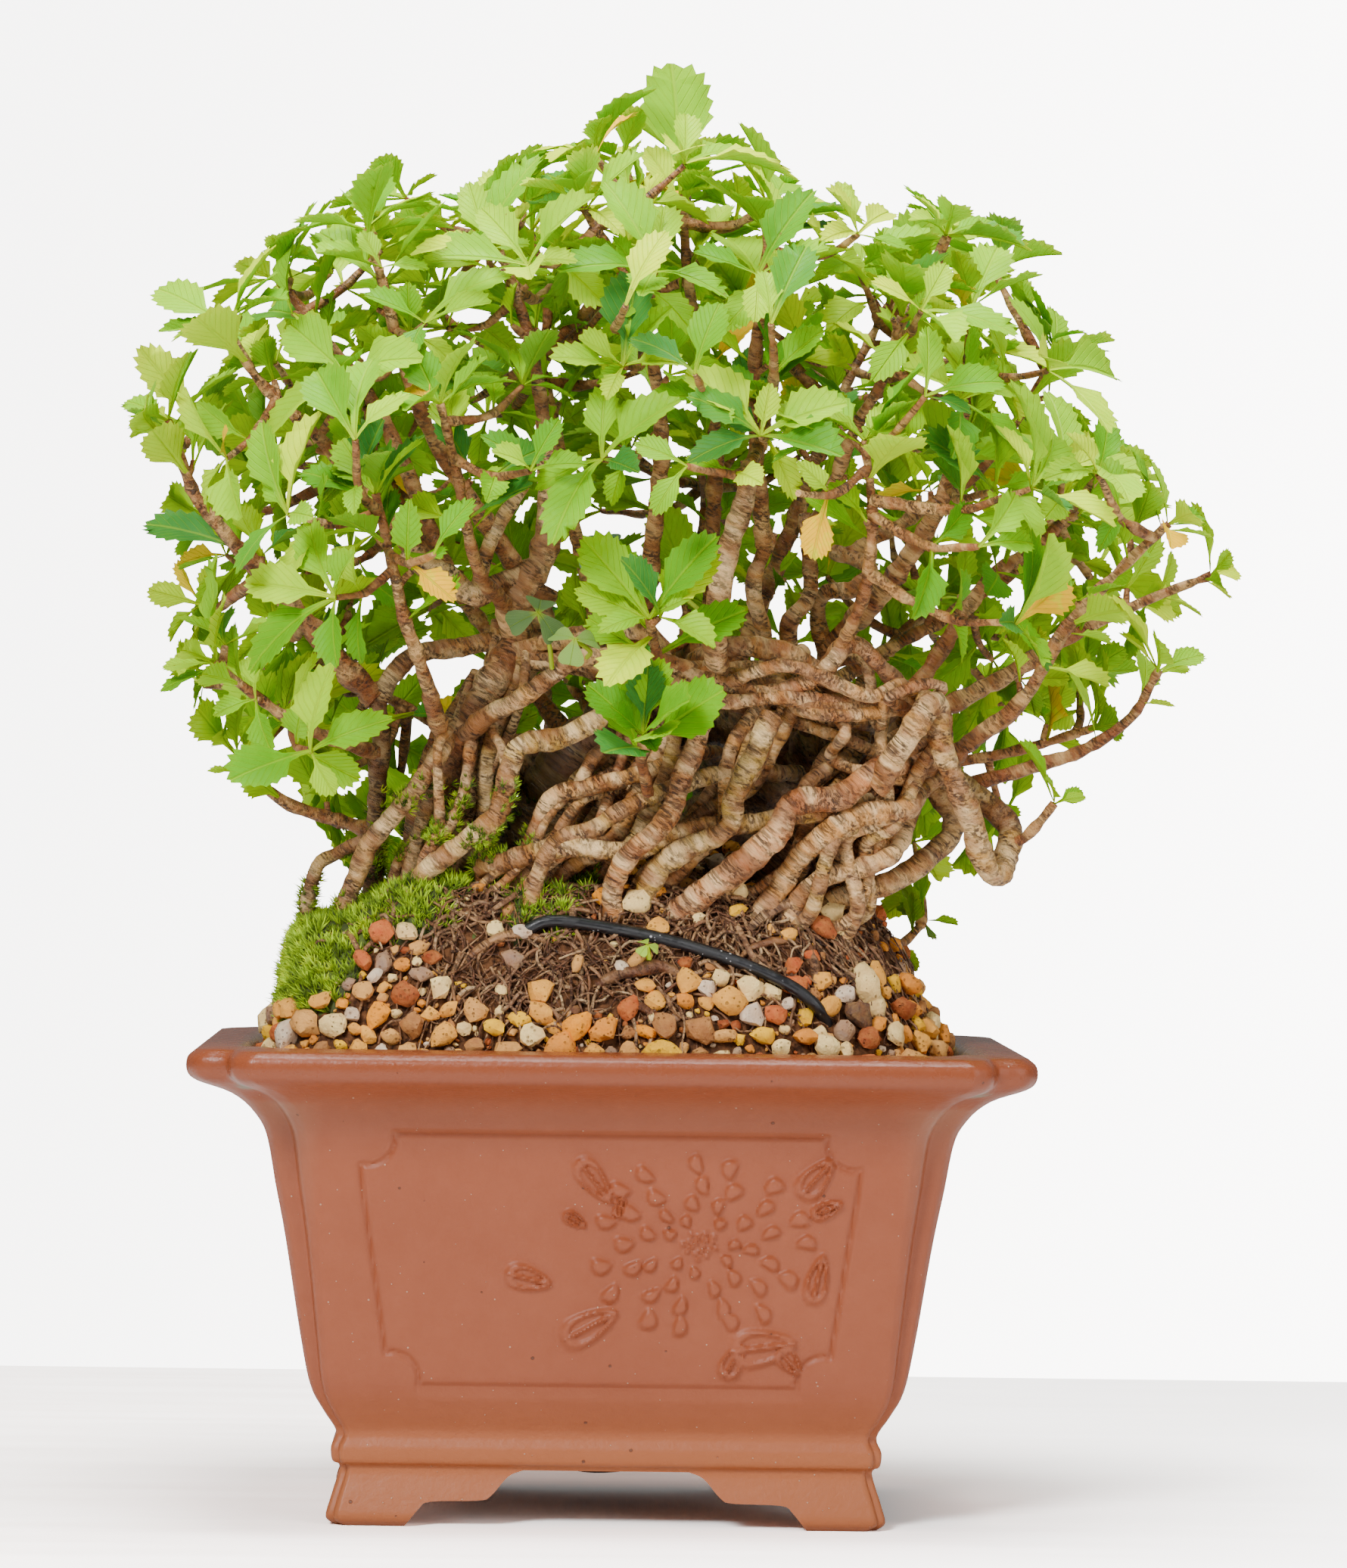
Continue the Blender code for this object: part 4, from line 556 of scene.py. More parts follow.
def above_ground(leaf):
    points = [leaf_point(leaf, s, 0) for s in (0.3, 0.6, 1.0)]
    return all(p.z >= soil_height(p.x, p.y) + 3 and p.z >= RIM_TOP + 3 for p in points)


def leaf_fits(leaf, owner, space, margin):
    """True if the leaf keeps clear of the soil, of other nodes and of its neighbours' outer halves."""
    if not above_ground(leaf):
        return False
    for line in leaf_lines(leaf, 0.12, 1.0):
        for a, b in zip(line, line[1:]):
            if space.gap(a, b, SHEET_HALF * margin, lambda o: o != owner and o != owner + "_leaf") < 0.3:
                return False
    for line in leaf_lines(leaf, 0.45, 1.0):
        for a, b in zip(line, line[1:]):
            if space.gap(a, b, SHEET_HALF * 0.6, lambda o: o in (owner, owner + "_leaf")) < 0.0:
                return False
    return True


def draw_leaf(draw, point, way, turn, length):
    """One leaf that springs from a shoot: it leans out from the shoot and its upper face looks up it."""
    side = square_to(way, UP)
    out = side * math.cos(turn) + way.cross(side) * math.sin(turn)
    lean = math.radians(draw.uniform(38, 72))
    towards = way * math.cos(lean) + out * math.sin(lean) + Vector((0, 0, 0.18))
    up_shoot, up, outwards = LEAF_FACING
    facing = way * up_shoot + Vector((0, 0, up)) + (point - Vector(CROWN_CENTRE)).normalized() * outwards
    return {
        "root": point,
        "axes": leaf_frame(towards, facing),
        "length": length,
        "arch": draw.uniform(0.10, 0.30),
        "fold": draw.uniform(0.12, 0.42),
    }


def tall_leaf(path):
    """The long leaf that stands up from the tip of the tallest shoot."""
    way = Vector((-0.06, -0.1, 1))
    return {
        "root": path[-1] - way * 0.5,
        "axes": leaf_frame(way, Vector((0.25, -1, 0))),
        "length": TALL_LEAF_LENGTH,
        "arch": 0.12,
        "fold": 0.3,
    }


def plan_shoots(space):
    """Every leafy shoot: its path and radii, and its leaves where they have room."""
    draw = random.Random(LEAF_SEED)
    shoots = []
    for number, (radius, *route) in enumerate([*SHOOTS, *back_shoots()], start=1):
        owner = f"shoot_{number:02d}"
        shoot = plan_shoot(draw, owner, radius, [Vector(p) for p in route], space)
        if shoot:
            shoots.append(shoot)
    return shoots


def plan_shoot(draw, owner, radius, route, space):
    radii = (radius, TIP_RADIUS)
    route[0] = nearest_wood(space, route[0])
    for _ in range(LEAF_TRIES):
        path = resampled(smooth_path(route, 4), 24)
        start = seated(path, radii, space)
        nose = seated(path, [r * NOSE for r in radii], space)
        shares = [start + (1 - start) * i / SHOOT_STEPS for i in range(SHOOT_STEPS + 1)]
        kept = [along(path, share)[0] for share in (nose, *shares)]
        thick = [radius + (TIP_RADIUS - radius) * share for share in shares]
        thick.insert(0, thick[0] * NOSE)
        clear = min(space.gap(a, b, t, lambda o: o != "wood") for a, b, t in zip(kept, kept[1:], thick))
        if clear > CLEARANCE:
            break
        for point in route[1:]:
            point += any_vector(draw, (-3, 3), (-5, 5), (-3, 3))
    else:
        return None
    space.add(owner, kept, thick)
    leaves = []
    length_here = path_length(kept)
    turn = draw.uniform(0, math.tau)
    if owner == f"shoot_{TALL_SHOOT:02d}":
        leaves.append(tall_leaf(kept))
    for share, count in WHORLS:
        if share < 1 and share * length_here < 9:
            continue
        point, way = along(kept, min(share, 0.992))
        for _ in range(count):
            turn += GOLDEN_TURN if share < 1 else math.tau / count
            for attempt in range(LEAF_TRIES):
                size = draw.uniform(*LEAF_LENGTH) * (1 - 0.03 * attempt)
                leaf = draw_leaf(draw, point, way, turn + draw.uniform(-0.5, 0.5), size)
                if leaf_fits(leaf, owner, space, 1.0):
                    leaves.append(leaf)
                    for line in leaf_lines(leaf, 0.25, 1.0):
                        space.add(owner + "_leaf", line, [SHEET_HALF] * 3)
                    break
    return {"name": owner, "foot": route[0], "path": kept, "radii": thick, "leaves": leaves}


# Node trees for shapes


def join(tree, socket, value):
    """Links a socket to another, or sets it to a plain value."""
    if isinstance(value, bpy.types.NodeSocket):
        tree.links.new(value, socket)
    elif socket.type == "RGBA" and len(value) == 3:
        socket.default_value = (*value, 1.0)
    else:
        socket.default_value = value


def put(tree, kind, inputs=None, **settings):
    """A new node with these settings and inputs."""
    node = tree.nodes.new(kind)
    for name, value in settings.items():
        setattr(node, name, value)
    for key, value in (inputs or {}).items():
        join(tree, node.inputs[key], value)
    return node


def maths(tree, operation, a, b=0.0, c=0.0):
    return put(tree, "ShaderNodeMath", {0: a, 1: b, 2: c}, operation=operation).outputs[0]


def times(tree, a, b):
    return maths(tree, "MULTIPLY", a, b)


def stored(tree, shape, name, value, domain="POINT"):
    """The shape with a number stored on it."""
    return put(tree, "GeometryNodeStoreNamedAttribute", {"Geometry": shape, "Name": name, "Value": value},
               data_type="FLOAT", domain=domain).outputs[0]


def any_value(tree, low, high, seed, kind="FLOAT"):
    """A random number or vector for each point."""
    first = 0 if kind == "FLOAT_VECTOR" else 2
    node = put(tree, "FunctionNodeRandomValue", {first: low, first + 1: high, "Seed": seed}, data_type=kind)
    return node.outputs[first // 2]


def forms_in(tree, group):
    return put(tree, "GeometryNodeCollectionInfo",
               {"Collection": group, "Separate Children": True, "Reset Children": True}).outputs[0]


def read(tree, name, kind="FLOAT"):
    return put(tree, "GeometryNodeInputNamedAttribute", {"Name": name}, data_type=kind).outputs["Attribute"]


def shape_tree(name, inputs):
    """A tree that takes a start shape and these named inputs, with a function that closes it."""
    tree = bpy.data.node_groups.new(name, "GeometryNodeTree")
    tree.interface.new_socket("Start", in_out="INPUT", socket_type="NodeSocketGeometry")
    for label, kind in inputs.items():
        tree.interface.new_socket(label, in_out="INPUT", socket_type="NodeSocket" + kind)
    tree.interface.new_socket("Result", in_out="OUTPUT", socket_type="NodeSocketGeometry")
    given, result = tree.nodes.new("NodeGroupInput").outputs, tree.nodes.new("NodeGroupOutput").inputs

    def close(shape):
        whole = put(tree, "GeometryNodeRealizeInstances", {"Geometry": shape}).outputs[0]
        dressed = put(tree, "GeometryNodeSetMaterial", {"Geometry": whole, "Material": given["Finish"]})
        tree.links.new(dressed.outputs[0], result[0])

    return tree, given, close


def rods_tree():
    """Round rods along the start's edges, as thick as its attribute says."""
    tree, given, close = shape_tree("rods_along_paths", {"Sides": "Int", "Finish": "Material"})
    curve = put(tree, "GeometryNodeMeshToCurve", {"Mesh": given["Start"]}).outputs[0]
    reach = put(tree, "GeometryNodeSplineParameter").outputs["Length"]
    marked = stored(tree, curve, "reach", reach)
    ring = put(tree, "GeometryNodeCurvePrimitiveCircle", {"Resolution": given["Sides"], "Radius": 1.0})
    rods = put(tree, "GeometryNodeCurveToMesh", {"Curve": marked, "Profile Curve": ring.outputs[0],
                                                 "Scale": read(tree, "thick"), "Fill Caps": True})
    close(put(tree, "GeometryNodeSetShadeSmooth", {"Geometry": rods.outputs[0]}).outputs[0])
    return tree


def planted_tree():
    """A form on each point of the start, turned and sized as the point says, then arched and folded."""
    tree, given, close = shape_tree("forms_on_points", {"Forms": "Collection", "Finish": "Material"})
    placed = put(tree, "GeometryNodeInstanceOnPoints",
                 {"Points": given["Start"], "Instance": forms_in(tree, given["Forms"]), "Pick Instance": True,
                  "Instance Index": read(tree, "form", "INT"), "Rotation": read(tree, "turn", "QUATERNION"),
                  "Scale": read(tree, "size", "FLOAT_VECTOR")}).outputs[0]
    whole = put(tree, "GeometryNodeRealizeInstances", {"Geometry": placed}).outputs[0]
    parts = parts_of(tree, read(tree, "in_leaf", "FLOAT_VECTOR"))
    drop = times(tree, times(tree, parts[0], parts[0]), read(tree, "arch"))
    lift = times(tree, maths(tree, "ABSOLUTE", parts[1]), read(tree, "fold"))
    wave = maths(tree, "SINE", maths(tree, "MULTIPLY_ADD", parts[0], 13.0, times(tree, parts[1], 5.0)))
    wave = times(tree, times(tree, wave, parts[1]), read(tree, "wave"))
    height = maths(tree, "ADD", maths(tree, "SUBTRACT", lift, drop), wave)
    length = parts_of(tree, read(tree, "size", "FLOAT_VECTOR"))[0]
    height = times(tree, height, length)
    offset = put(tree, "ShaderNodeVectorMath", {0: read(tree, "face", "FLOAT_VECTOR"), 3: height},
                 operation="SCALE").outputs[0]
    close(put(tree, "GeometryNodeSetPosition", {"Geometry": whole, "Offset": offset}).outputs[0])
    return tree


def turf_tree():
    """Forms strewn over the start's faces where its turf attribute is high, standing up and outwards."""
    tree, given, close = shape_tree(
        "forms_on_faces", {"Forms": "Collection", "Density": "Float", "Seed": "Int", "Smallest": "Float",
                           "Largest": "Float", "Finish": "Material"})
    strewn = put(tree, "GeometryNodeDistributePointsOnFaces",
                 {"Mesh": given["Start"], "Density": times(tree, given["Density"], read(tree, "turf")),
                  "Seed": given["Seed"]})
    up = put(tree, "ShaderNodeVectorMath", {0: strewn.outputs["Normal"], 1: (0.0, 0.0, 0.7)}).outputs[0]
    random_way = any_value(tree, (-0.5, -0.5, -0.5), (0.5, 0.5, 0.5), given["Seed"], "FLOAT_VECTOR")
    way = put(tree, "ShaderNodeVectorMath", {0: up, 1: random_way}).outputs[0]
    upright = put(tree, "FunctionNodeAlignRotationToVector", {"Vector": way}, axis="Z").outputs[0]
    spin = any_value(tree, 0.0, math.tau, given["Seed"])
    spun = put(tree, "FunctionNodeRotateRotation",
               {"Rotation": upright, "Rotate By": put(tree, "ShaderNodeCombineXYZ", {2: spin}).outputs[0]},
               rotation_space="LOCAL").outputs[0]
    size = any_value(tree, given["Smallest"], given["Largest"], 7)
    placed = put(tree, "GeometryNodeInstanceOnPoints",
                 {"Points": strewn.outputs[0], "Instance": forms_in(tree, given["Forms"]),
                  "Pick Instance": True, "Rotation": spun, "Scale": size}).outputs[0]
    tint = any_value(tree, 0.0, 1.0, 3)
    close(stored(tree, placed, "tint", tint, "INSTANCE"))
    return tree


def grown(name, start, tree, values):
    """The plain object that a tree grows from a start mesh."""
    holder = shown("start", start)
    step = holder.modifiers.new("grow", "NODES")
    step.node_group = tree
    for item in tree.interface.items_tree:
        if item.in_out == "INPUT" and item.name in values:
            step[item.identifier] = values[item.name]
    bpy.context.view_layer.update()
    graph = bpy.context.evaluated_depsgraph_get()
    mesh = bpy.data.meshes.new_from_object(holder.evaluated_get(graph), depsgraph=graph)
    bpy.data.objects.remove(holder)
    bpy.data.meshes.remove(start)
    mesh.name = name
    return shown(name, mesh)


def shown(name, data):
    """A new object in the scene."""
    made = bpy.data.objects.new(name, data)
    bpy.context.scene.collection.objects.link(made)
    return made


def start_mesh(points, edges=(), faces=()):
    mesh = bpy.data.meshes.new("start")
    mesh.from_pydata(placed(points).tolist(), edges, faces)
    return mesh


def mark(mesh, name, kind, values, domain="POINT"):
    """Stores an attribute: a number, vector or rotation for each point or face."""
    field = {"FLOAT": "value", "INT": "value", "FLOAT_VECTOR": "vector", "QUATERNION": "value"}[kind]
    values = np.array(values, np.int32 if kind == "INT" else np.float32).ravel()
    mesh.attributes.new(name, kind, domain).data.foreach_set(field, values)


def rods(name, paths, sides, finish, tree, tones=None):
    """One piece of rods; each path is (points, radii)."""
    points, edges, thick, tone = [], [], [], []
    for k, (path, radii) in enumerate(paths):
        first = len(points)
        points += path
        thick += [r * MM for r in radii]
        tone += [tones[k] if tones else 0.5] * len(path)
        edges += [(first + i, first + i + 1) for i in range(len(path) - 1)]
    start = start_mesh(points, edges)
    mark(start, "thick", "FLOAT", thick)
    mark(start, "tone", "FLOAT", tone)
    return grown(name, start, tree, {"Sides": sides, "Finish": finish})


def planted(name, items, forms, finish, tree):
    """One piece of forms; each item is a dict of place, turn (3 axes), size, form, tint, arch, fold, wave."""
    start = start_mesh([item["root"] for item in items])
    turns = [Matrix(item["axes"]).transposed().to_quaternion() for item in items]
    mark(start, "turn", "QUATERNION", [q[:] for q in turns])
    mark(start, "face", "FLOAT_VECTOR", [item["axes"][2][:] for item in items])
    mark(start, "size", "FLOAT_VECTOR", [[c * MM for c in item["size"]] for item in items])
    mark(start, "form", "INT", [item["form"] for item in items])
    for key in ("arch", "fold", "wave", "tint"):
        mark(start, key, "FLOAT", [item.get(key, 0.0) for item in items])
    return grown(name, start, tree, {"Forms": forms, "Finish": finish})


def form_collection(name, meshes):
    """Small meshes kept apart from the scene, for the trees to place."""
    group = bpy.data.collections.new(name)
    for i, mesh in enumerate(meshes):
        group.objects.link(bpy.data.objects.new(f"{name}_{i}", mesh))
    return group


# Forms that are repeated


def leaf_side(draw, wide):
    """One side of a leaf from its foot towards its tip: a narrow foot and a round, toothed top."""
    widest, tooth = draw.uniform(0.62, 0.70), draw.uniform(0.020, 0.030)
    side = [(0.0, 0.022), (0.17, 0.034), (0.33, 0.19 * wide + 0.01)]
    for i in range(2 * LEAF_TEETH):
        turn = math.radians(-34 + 120 * (i + draw.uniform(-0.15, 0.15)) / (2 * LEAF_TEETH - 1))
        reach = 0.99 - widest if turn > 0 else 0.30
        share, width = widest + reach * math.sin(turn), wide * math.cos(turn) ** 0.75
        push = tooth if i % 2 else -tooth * 0.5
        side.append((share + push * (0.5 + math.sin(turn)), max(width + push * math.cos(turn), 0.012)))
    return side


def strip(one, other, points):
    """Triangles that join two rows of points, each of which runs from the foot to the tip."""
    i = j = 0
    while i < len(one) - 1 or j < len(other) - 1:
        ahead = i < len(one) - 1 and (j == len(other) - 1 or points[one[i + 1]][0] <= points[other[j + 1]][0])
        face = (one[i], other[j], one[i + 1] if ahead else other[j + 1])
        i, j = (i + 1, j) if ahead else (i, j + 1)
        if len(set(face)) == 3:
            yield face


def leaf_form(seed):
    """A thin leaf of length 1 along X: its rib and a line half way out, above and below a toothed edge."""
    draw = random.Random(seed)
    wide = draw.uniform(0.21, 0.28)
    left, right = leaf_side(draw, wide), leaf_side(draw, wide * draw.uniform(0.92, 1.06))
    flat = [(1.0, 0.0), *left, *((a, -b) for a, b in right)]
    edge = len(flat)
    flat += [(s, 0.0) for s in LEAF_RIB]
    flat += [(s, k * wide * w) for k in (1, -1) for s, w in LEAF_HALF_LINE]
    ribs = list(range(edge, edge + len(LEAF_RIB)))
    top = [(edge, 1, 1 + len(left))]
    for side in (0, 1):
        rim = [*range(1 + side * len(left), 1 + len(left) + side * len(right)), 0]
        first = ribs[-1] + 1 + side * len(LEAF_HALF_LINE)
        half = [ribs[0], *range(first, first + len(LEAF_HALF_LINE)), ribs[-1]]
        top += [*strip(ribs, half, flat), *strip(half, rim, flat)]
    points = [(a, b, 0.0) for a, b in flat[:edge]]
    for level in (1, -1):
        points += [(a, b, level * (0.012 if b else 0.007)) for a, b in flat[edge:]]
    faces = []
    for a, b, c in top:
        (ax, ay), (bx, by), (cx, cy) = flat[a], flat[b], flat[c]
        faces.append((a, b, c) if (bx - ax) * (cy - ay) > (by - ay) * (cx - ax) else (a, c, b))
    below = [tuple(i if i < edge else i + len(flat) - edge for i in reversed(face)) for face in faces]
    mesh = bpy.data.meshes.new("leaf_form")
    mesh.from_pydata(points, [], faces + below)
    mark(mesh, "in_leaf", "FLOAT_VECTOR", points)
    mark(mesh, "under", "FLOAT", [0.0] * len(faces) + [1.0] * len(below), "FACE")
    mesh.shade_smooth()
    mesh.set_sharp_from_angle(angle=math.radians(70))
    return mesh


def stone_form(seed, faces=2):
    """A rough stone about 1 across its half."""
    shape = bmesh.new()
    bmesh.ops.create_icosphere(shape, subdivisions=faces, radius=1.0)
    draw = random.Random(seed)
    drift = any_vector(draw, *[(0, 50)] * 3)
    stretch = any_vector(draw, (0.85, 1.2), (0.8, 1.1), (0.68, 0.95))
    cuts = [any_vector(draw, *[(-1, 1)] * 3).normalized() for _ in range(6)]
    for v in shape.verts:
        reach = 1 + 0.34 * noise.noise(v.co * 1.3 + drift) + 0.30 * noise.noise(v.co * 2.9 + drift)
        for cut in cuts:
            high = v.co.dot(cut) * reach
            if high > 0.70:
                reach *= 0.70 / high
        v.co = Vector((v.co.x * stretch.x, v.co.y * stretch.y, v.co.z * stretch.z)) * reach
    mesh = bpy.data.meshes.new("stone_form")
    shape.to_mesh(mesh)
    shape.free()
    mesh.shade_smooth()
    mesh.set_sharp_from_angle(angle=math.radians(38))
    return mesh


def sprig_form(seed):
    """A sprig of moss about 1 high: spikes that lean out from a foot."""
    draw = random.Random(seed)
    points, faces = [], []
    for k in range(6):
        turn = math.tau * k / 6 + draw.uniform(-0.4, 0.4)
        out = Vector((math.cos(turn), math.sin(turn), 0))
        side = Vector((-out.y, out.x, 0))
        foot = out * 0.05
        tip = out * draw.uniform(0.1, 0.7) + Vector((0, 0, draw.uniform(0.6, 1.0)))
        first = len(points)
        points += [foot + side * 0.11, foot - side * 0.11, foot + out * 0.12 + Vector((0, 0, -0.05)), tip]
        corners = ((0, 1, 3), (1, 2, 3), (2, 0, 3), (0, 2, 1))
        faces += [(first + a, first + b, first + c) for a, b, c in corners]
    mesh = bpy.data.meshes.new("sprig_form")
    mesh.from_pydata(points, [], faces)
    mark(mesh, "up_sprig", "FLOAT", [p[2] for p in points])
    return mesh


# Materials


def tone_blend(tree, share, a, b, way="MIX"):
    node = put(tree, "ShaderNodeMix", {0: share, 6: a, 7: b}, data_type="RGBA", blend_type=way)
    return node.outputs[2]


def ramp(tree, value, stops, steps=False):
    """Colours along a value; each stop is a place and a colour."""
    node = put(tree, "ShaderNodeValToRGB", {0: value})
    band = node.color_ramp
    band.interpolation = "CONSTANT" if steps else "LINEAR"
    while len(band.elements) < len(stops):
        band.elements.new(0.5)
    for element, (place, colour) in zip(band.elements, stops):
        element.position = place
        element.color = (*colour, 1.0)
    return node.outputs[0]


def parts_of(tree, vector):
    return put(tree, "ShaderNodeSeparateXYZ", {0: vector}).outputs


def cloud(tree, place, scale, detail, rough=0.5):
    """Noise from 0 to 1."""
    values = {"Vector": place, "Scale": scale, "Detail": detail, "Roughness": rough}
    return put(tree, "ShaderNodeTexNoise", values).outputs[0]


def band_pass(tree, value, low, high, to_low=0.0, to_high=1.0):
    return put(tree, "ShaderNodeMapRange", {0: value, 1: low, 2: high, 3: to_low, 4: to_high}).outputs[0]


def effect_group(name, inputs, outputs):
    tree = bpy.data.node_groups.new(name, "ShaderNodeTree")
    for label, (kind, value) in inputs.items():
        socket = tree.interface.new_socket(label, in_out="INPUT", socket_type="NodeSocket" + kind)
        if value is not None:
            socket.default_value = value
    for label in outputs:
        tree.interface.new_socket(label, in_out="OUTPUT", socket_type="NodeSocketFloat")
    return tree, tree.nodes.new("NodeGroupInput").outputs, tree.nodes.new("NodeGroupOutput").inputs


def patches_group():
    """Soft patches of a size in millimetres."""
    tree, given, result = effect_group(
        "patches", {"Place": ("Vector", None), "Size": ("Float", 10.0), "Edge": ("Float", 0.1)}, ["Mask"])
    soft = cloud(tree, given["Place"], maths(tree, "DIVIDE", 1 / MM, given["Size"]), 4.0, 0.6)
    low, high = maths(tree, "SUBTRACT", 0.5, given["Edge"]), maths(tree, "ADD", 0.5, given["Edge"])
    tree.links.new(band_pass(tree, soft, low, high), result["Mask"])
    return tree


def specks_group():
    """Small round specks a distance in millimetres apart, of which only a share is kept."""
    tree, given, result = effect_group(
        "specks", {"Place": ("Vector", None), "Apart": ("Float", 3.0), "Radius": ("Float", 0.1),
                   "Share": ("Float", 0.5)}, ["Mask"])
    cells = put(tree, "ShaderNodeTexVoronoi",
                {"Vector": given["Place"], "Scale": maths(tree, "DIVIDE", 1 / MM, given["Apart"])})
    chance = put(tree, "ShaderNodeSeparateColor", {0: cells.outputs["Color"]}).outputs
    radius = times(tree, given["Radius"], maths(tree, "ADD", 0.4, chance[1]))
    near = band_pass(tree, maths(tree, "DIVIDE", cells.outputs["Distance"], radius), 0.7, 1.0, 1.0, 0.0)
    kept = maths(tree, "LESS_THAN", chance[0], given["Share"])
    tree.links.new(times(tree, near, kept), result["Mask"])
    return tree


def grain_group():
    """Fine roughness with a coarser part, as a height from 0 to 1."""
    tree, given, result = effect_group(
        "grain", {"Place": ("Vector", None), "Size": ("Float", 1.0)}, ["Height"])
    scale = maths(tree, "DIVIDE", 1 / MM, given["Size"])
    fine = cloud(tree, given["Place"], scale, 5.0, 0.65)
    coarse = cloud(tree, given["Place"], times(tree, scale, 0.22), 2.0)
    tree.links.new(maths(tree, "MULTIPLY_ADD", fine, 0.4, times(tree, coarse, 0.6)), result["Height"])
    return tree


PATCHES, SPECKS, GRAIN = patches_group(), specks_group(), grain_group()


def effect(tree, group, *values):
    """The output of a shared effect with these values."""
    node = tree.nodes.new("ShaderNodeGroup")
    node.node_tree = group
    for socket, value in zip(node.inputs, values):
        join(tree, socket, value)
    return node.outputs[0]


def patches(tree, place, size, edge):
    return effect(tree, PATCHES, place, size, edge)


def specks(tree, place, apart, radius, share):
    return effect(tree, SPECKS, place, apart, radius, share)


def grain(tree, place, size):
    return effect(tree, GRAIN, place, size)


def coats(tree, colour, *layers):
    """A colour with others laid over it in turn; each layer is a mask, its strength and its colour."""
    for mask, strength, tone in layers:
        colour = tone_blend(tree, times(tree, mask, strength), colour, tone)
    return colour


def coloured(tree, shader, colour, rough, shine=0.5):
    for label, value in (("Base Color", colour), ("Roughness", rough), ("Specular IOR Level", shine)):
        join(tree, shader.inputs[label], value)


def new_material(name):
    made = bpy.data.materials.new(name)
    made.use_nodes = True
    tree = made.node_tree
    place = put(tree, "ShaderNodeTexCoord").outputs["Object"]
    return made, tree, tree.nodes["Principled BSDF"], place


def attribute(tree, name, output=2):
    return put(tree, "ShaderNodeAttribute", attribute_name=name).outputs[output]


def bumped(tree, shader, height, depth, before=None):
    """Lets a height from 0 to 1 stand out by a depth in millimetres."""
    inputs = {"Height": height, "Distance": depth * MM}
    if before is not None:
        inputs["Normal"] = before
    normal = put(tree, "ShaderNodeBump", inputs).outputs[0]
    tree.links.new(normal, shader.inputs["Normal"])
    return normal


def clay_material():
    made, tree, shader, place = new_material("unglazed_clay")
    height = parts_of(tree, place)[2]
    broad, fine = patches(tree, place, 46.0, 0.22), patches(tree, place, 4.0, 0.3)
    low, high = band_pass(tree, height, 0.027, 0.012), band_pass(tree, height, 0.082, 0.088)
    # Painted shade: the clay is darkened in a band just under the rim, where the rim's shadow falls.
    painted_rim_shade = times(tree, band_pass(tree, height, 0.0745, 0.0785), band_pass(tree, height, 0.0842, 0.0825))
    pale, pits = specks(tree, place, 1.5, 0.11, 0.3), specks(tree, place, 5.0, 0.06, 0.45)
    colour = coats(
        tree, tone_blend(tree, broad, (0.250, 0.060, 0.022), (0.290, 0.075, 0.030)),
        (fine, 0.4, (0.225, 0.052, 0.017)), (low, 0.85, (0.375, 0.115, 0.038)),
        # The layer after the rim's own darker colour is painted shade under the rim.
        (high, 0.8, (0.20, 0.046, 0.015)), (painted_rim_shade, 0.16, (0.12, 0.055, 0.030)),
        (pale, 0.6, (0.60, 0.38, 0.26)), (pits, 0.8, (0.09, 0.035, 0.02)),
        (attribute(tree, "hollow"), 0.45, (0.29, 0.155, 0.09)),
        (attribute(tree, "inside"), 1.0, (0.19, 0.155, 0.10)))
    rough = maths(tree, "SUBTRACT", maths(tree, "MULTIPLY_ADD", fine, 0.12, 0.38), times(tree, high, 0.16))
    coloured(tree, shader, colour, rough, 0.34)
    normal = bumped(tree, shader, grain(tree, place, 0.8), 0.22)
    bumped(tree, shader, maths(tree, "SUBTRACT", pale, pits), 0.14, normal)
    return made


def bark_material(name, base, patch_colour, dark, pale):
    """Bark with dark crosswise cracks, peeled patches and pale dry skin, and painted shade on roots marked as
    inner.
    """
    made, tree, shader, place = new_material(name)
    spot = attribute(tree, "in_root", 1)
    across = put(tree, "ShaderNodeMapping", {"Vector": spot, "Scale": (1.0, 0.48, 0.48)}).outputs[0]
    rings = cloud(tree, across, 1 / (0.62 * MM), 4.0, 0.6)
    cracks = times(tree, band_pass(tree, rings, 0.48, 0.57), patches(tree, spot, 4.0, 0.14))
    colour = coats(
        tree, ramp(tree, attribute(tree, "tone"), base), (patches(tree, across, 3.4, 0.10), 0.7, pale),
        (patches(tree, spot, 11.0, 0.06), 0.72, patch_colour), (cracks, 0.9, dark),
        # Painted shade: roots marked inner are darkened as if the front ones shade them.
        (attribute(tree, "inner"), 0.60, dark))
    coloured(tree, shader, colour, 0.42, 0.45)
    height = maths(tree, "SUBTRACT", times(tree, rings, 0.8), times(tree, cracks, 0.6))
    normal = bumped(tree, shader, height, 1.1)
    bumped(tree, shader, grain(tree, place, 0.7), 0.25, normal)
    return made


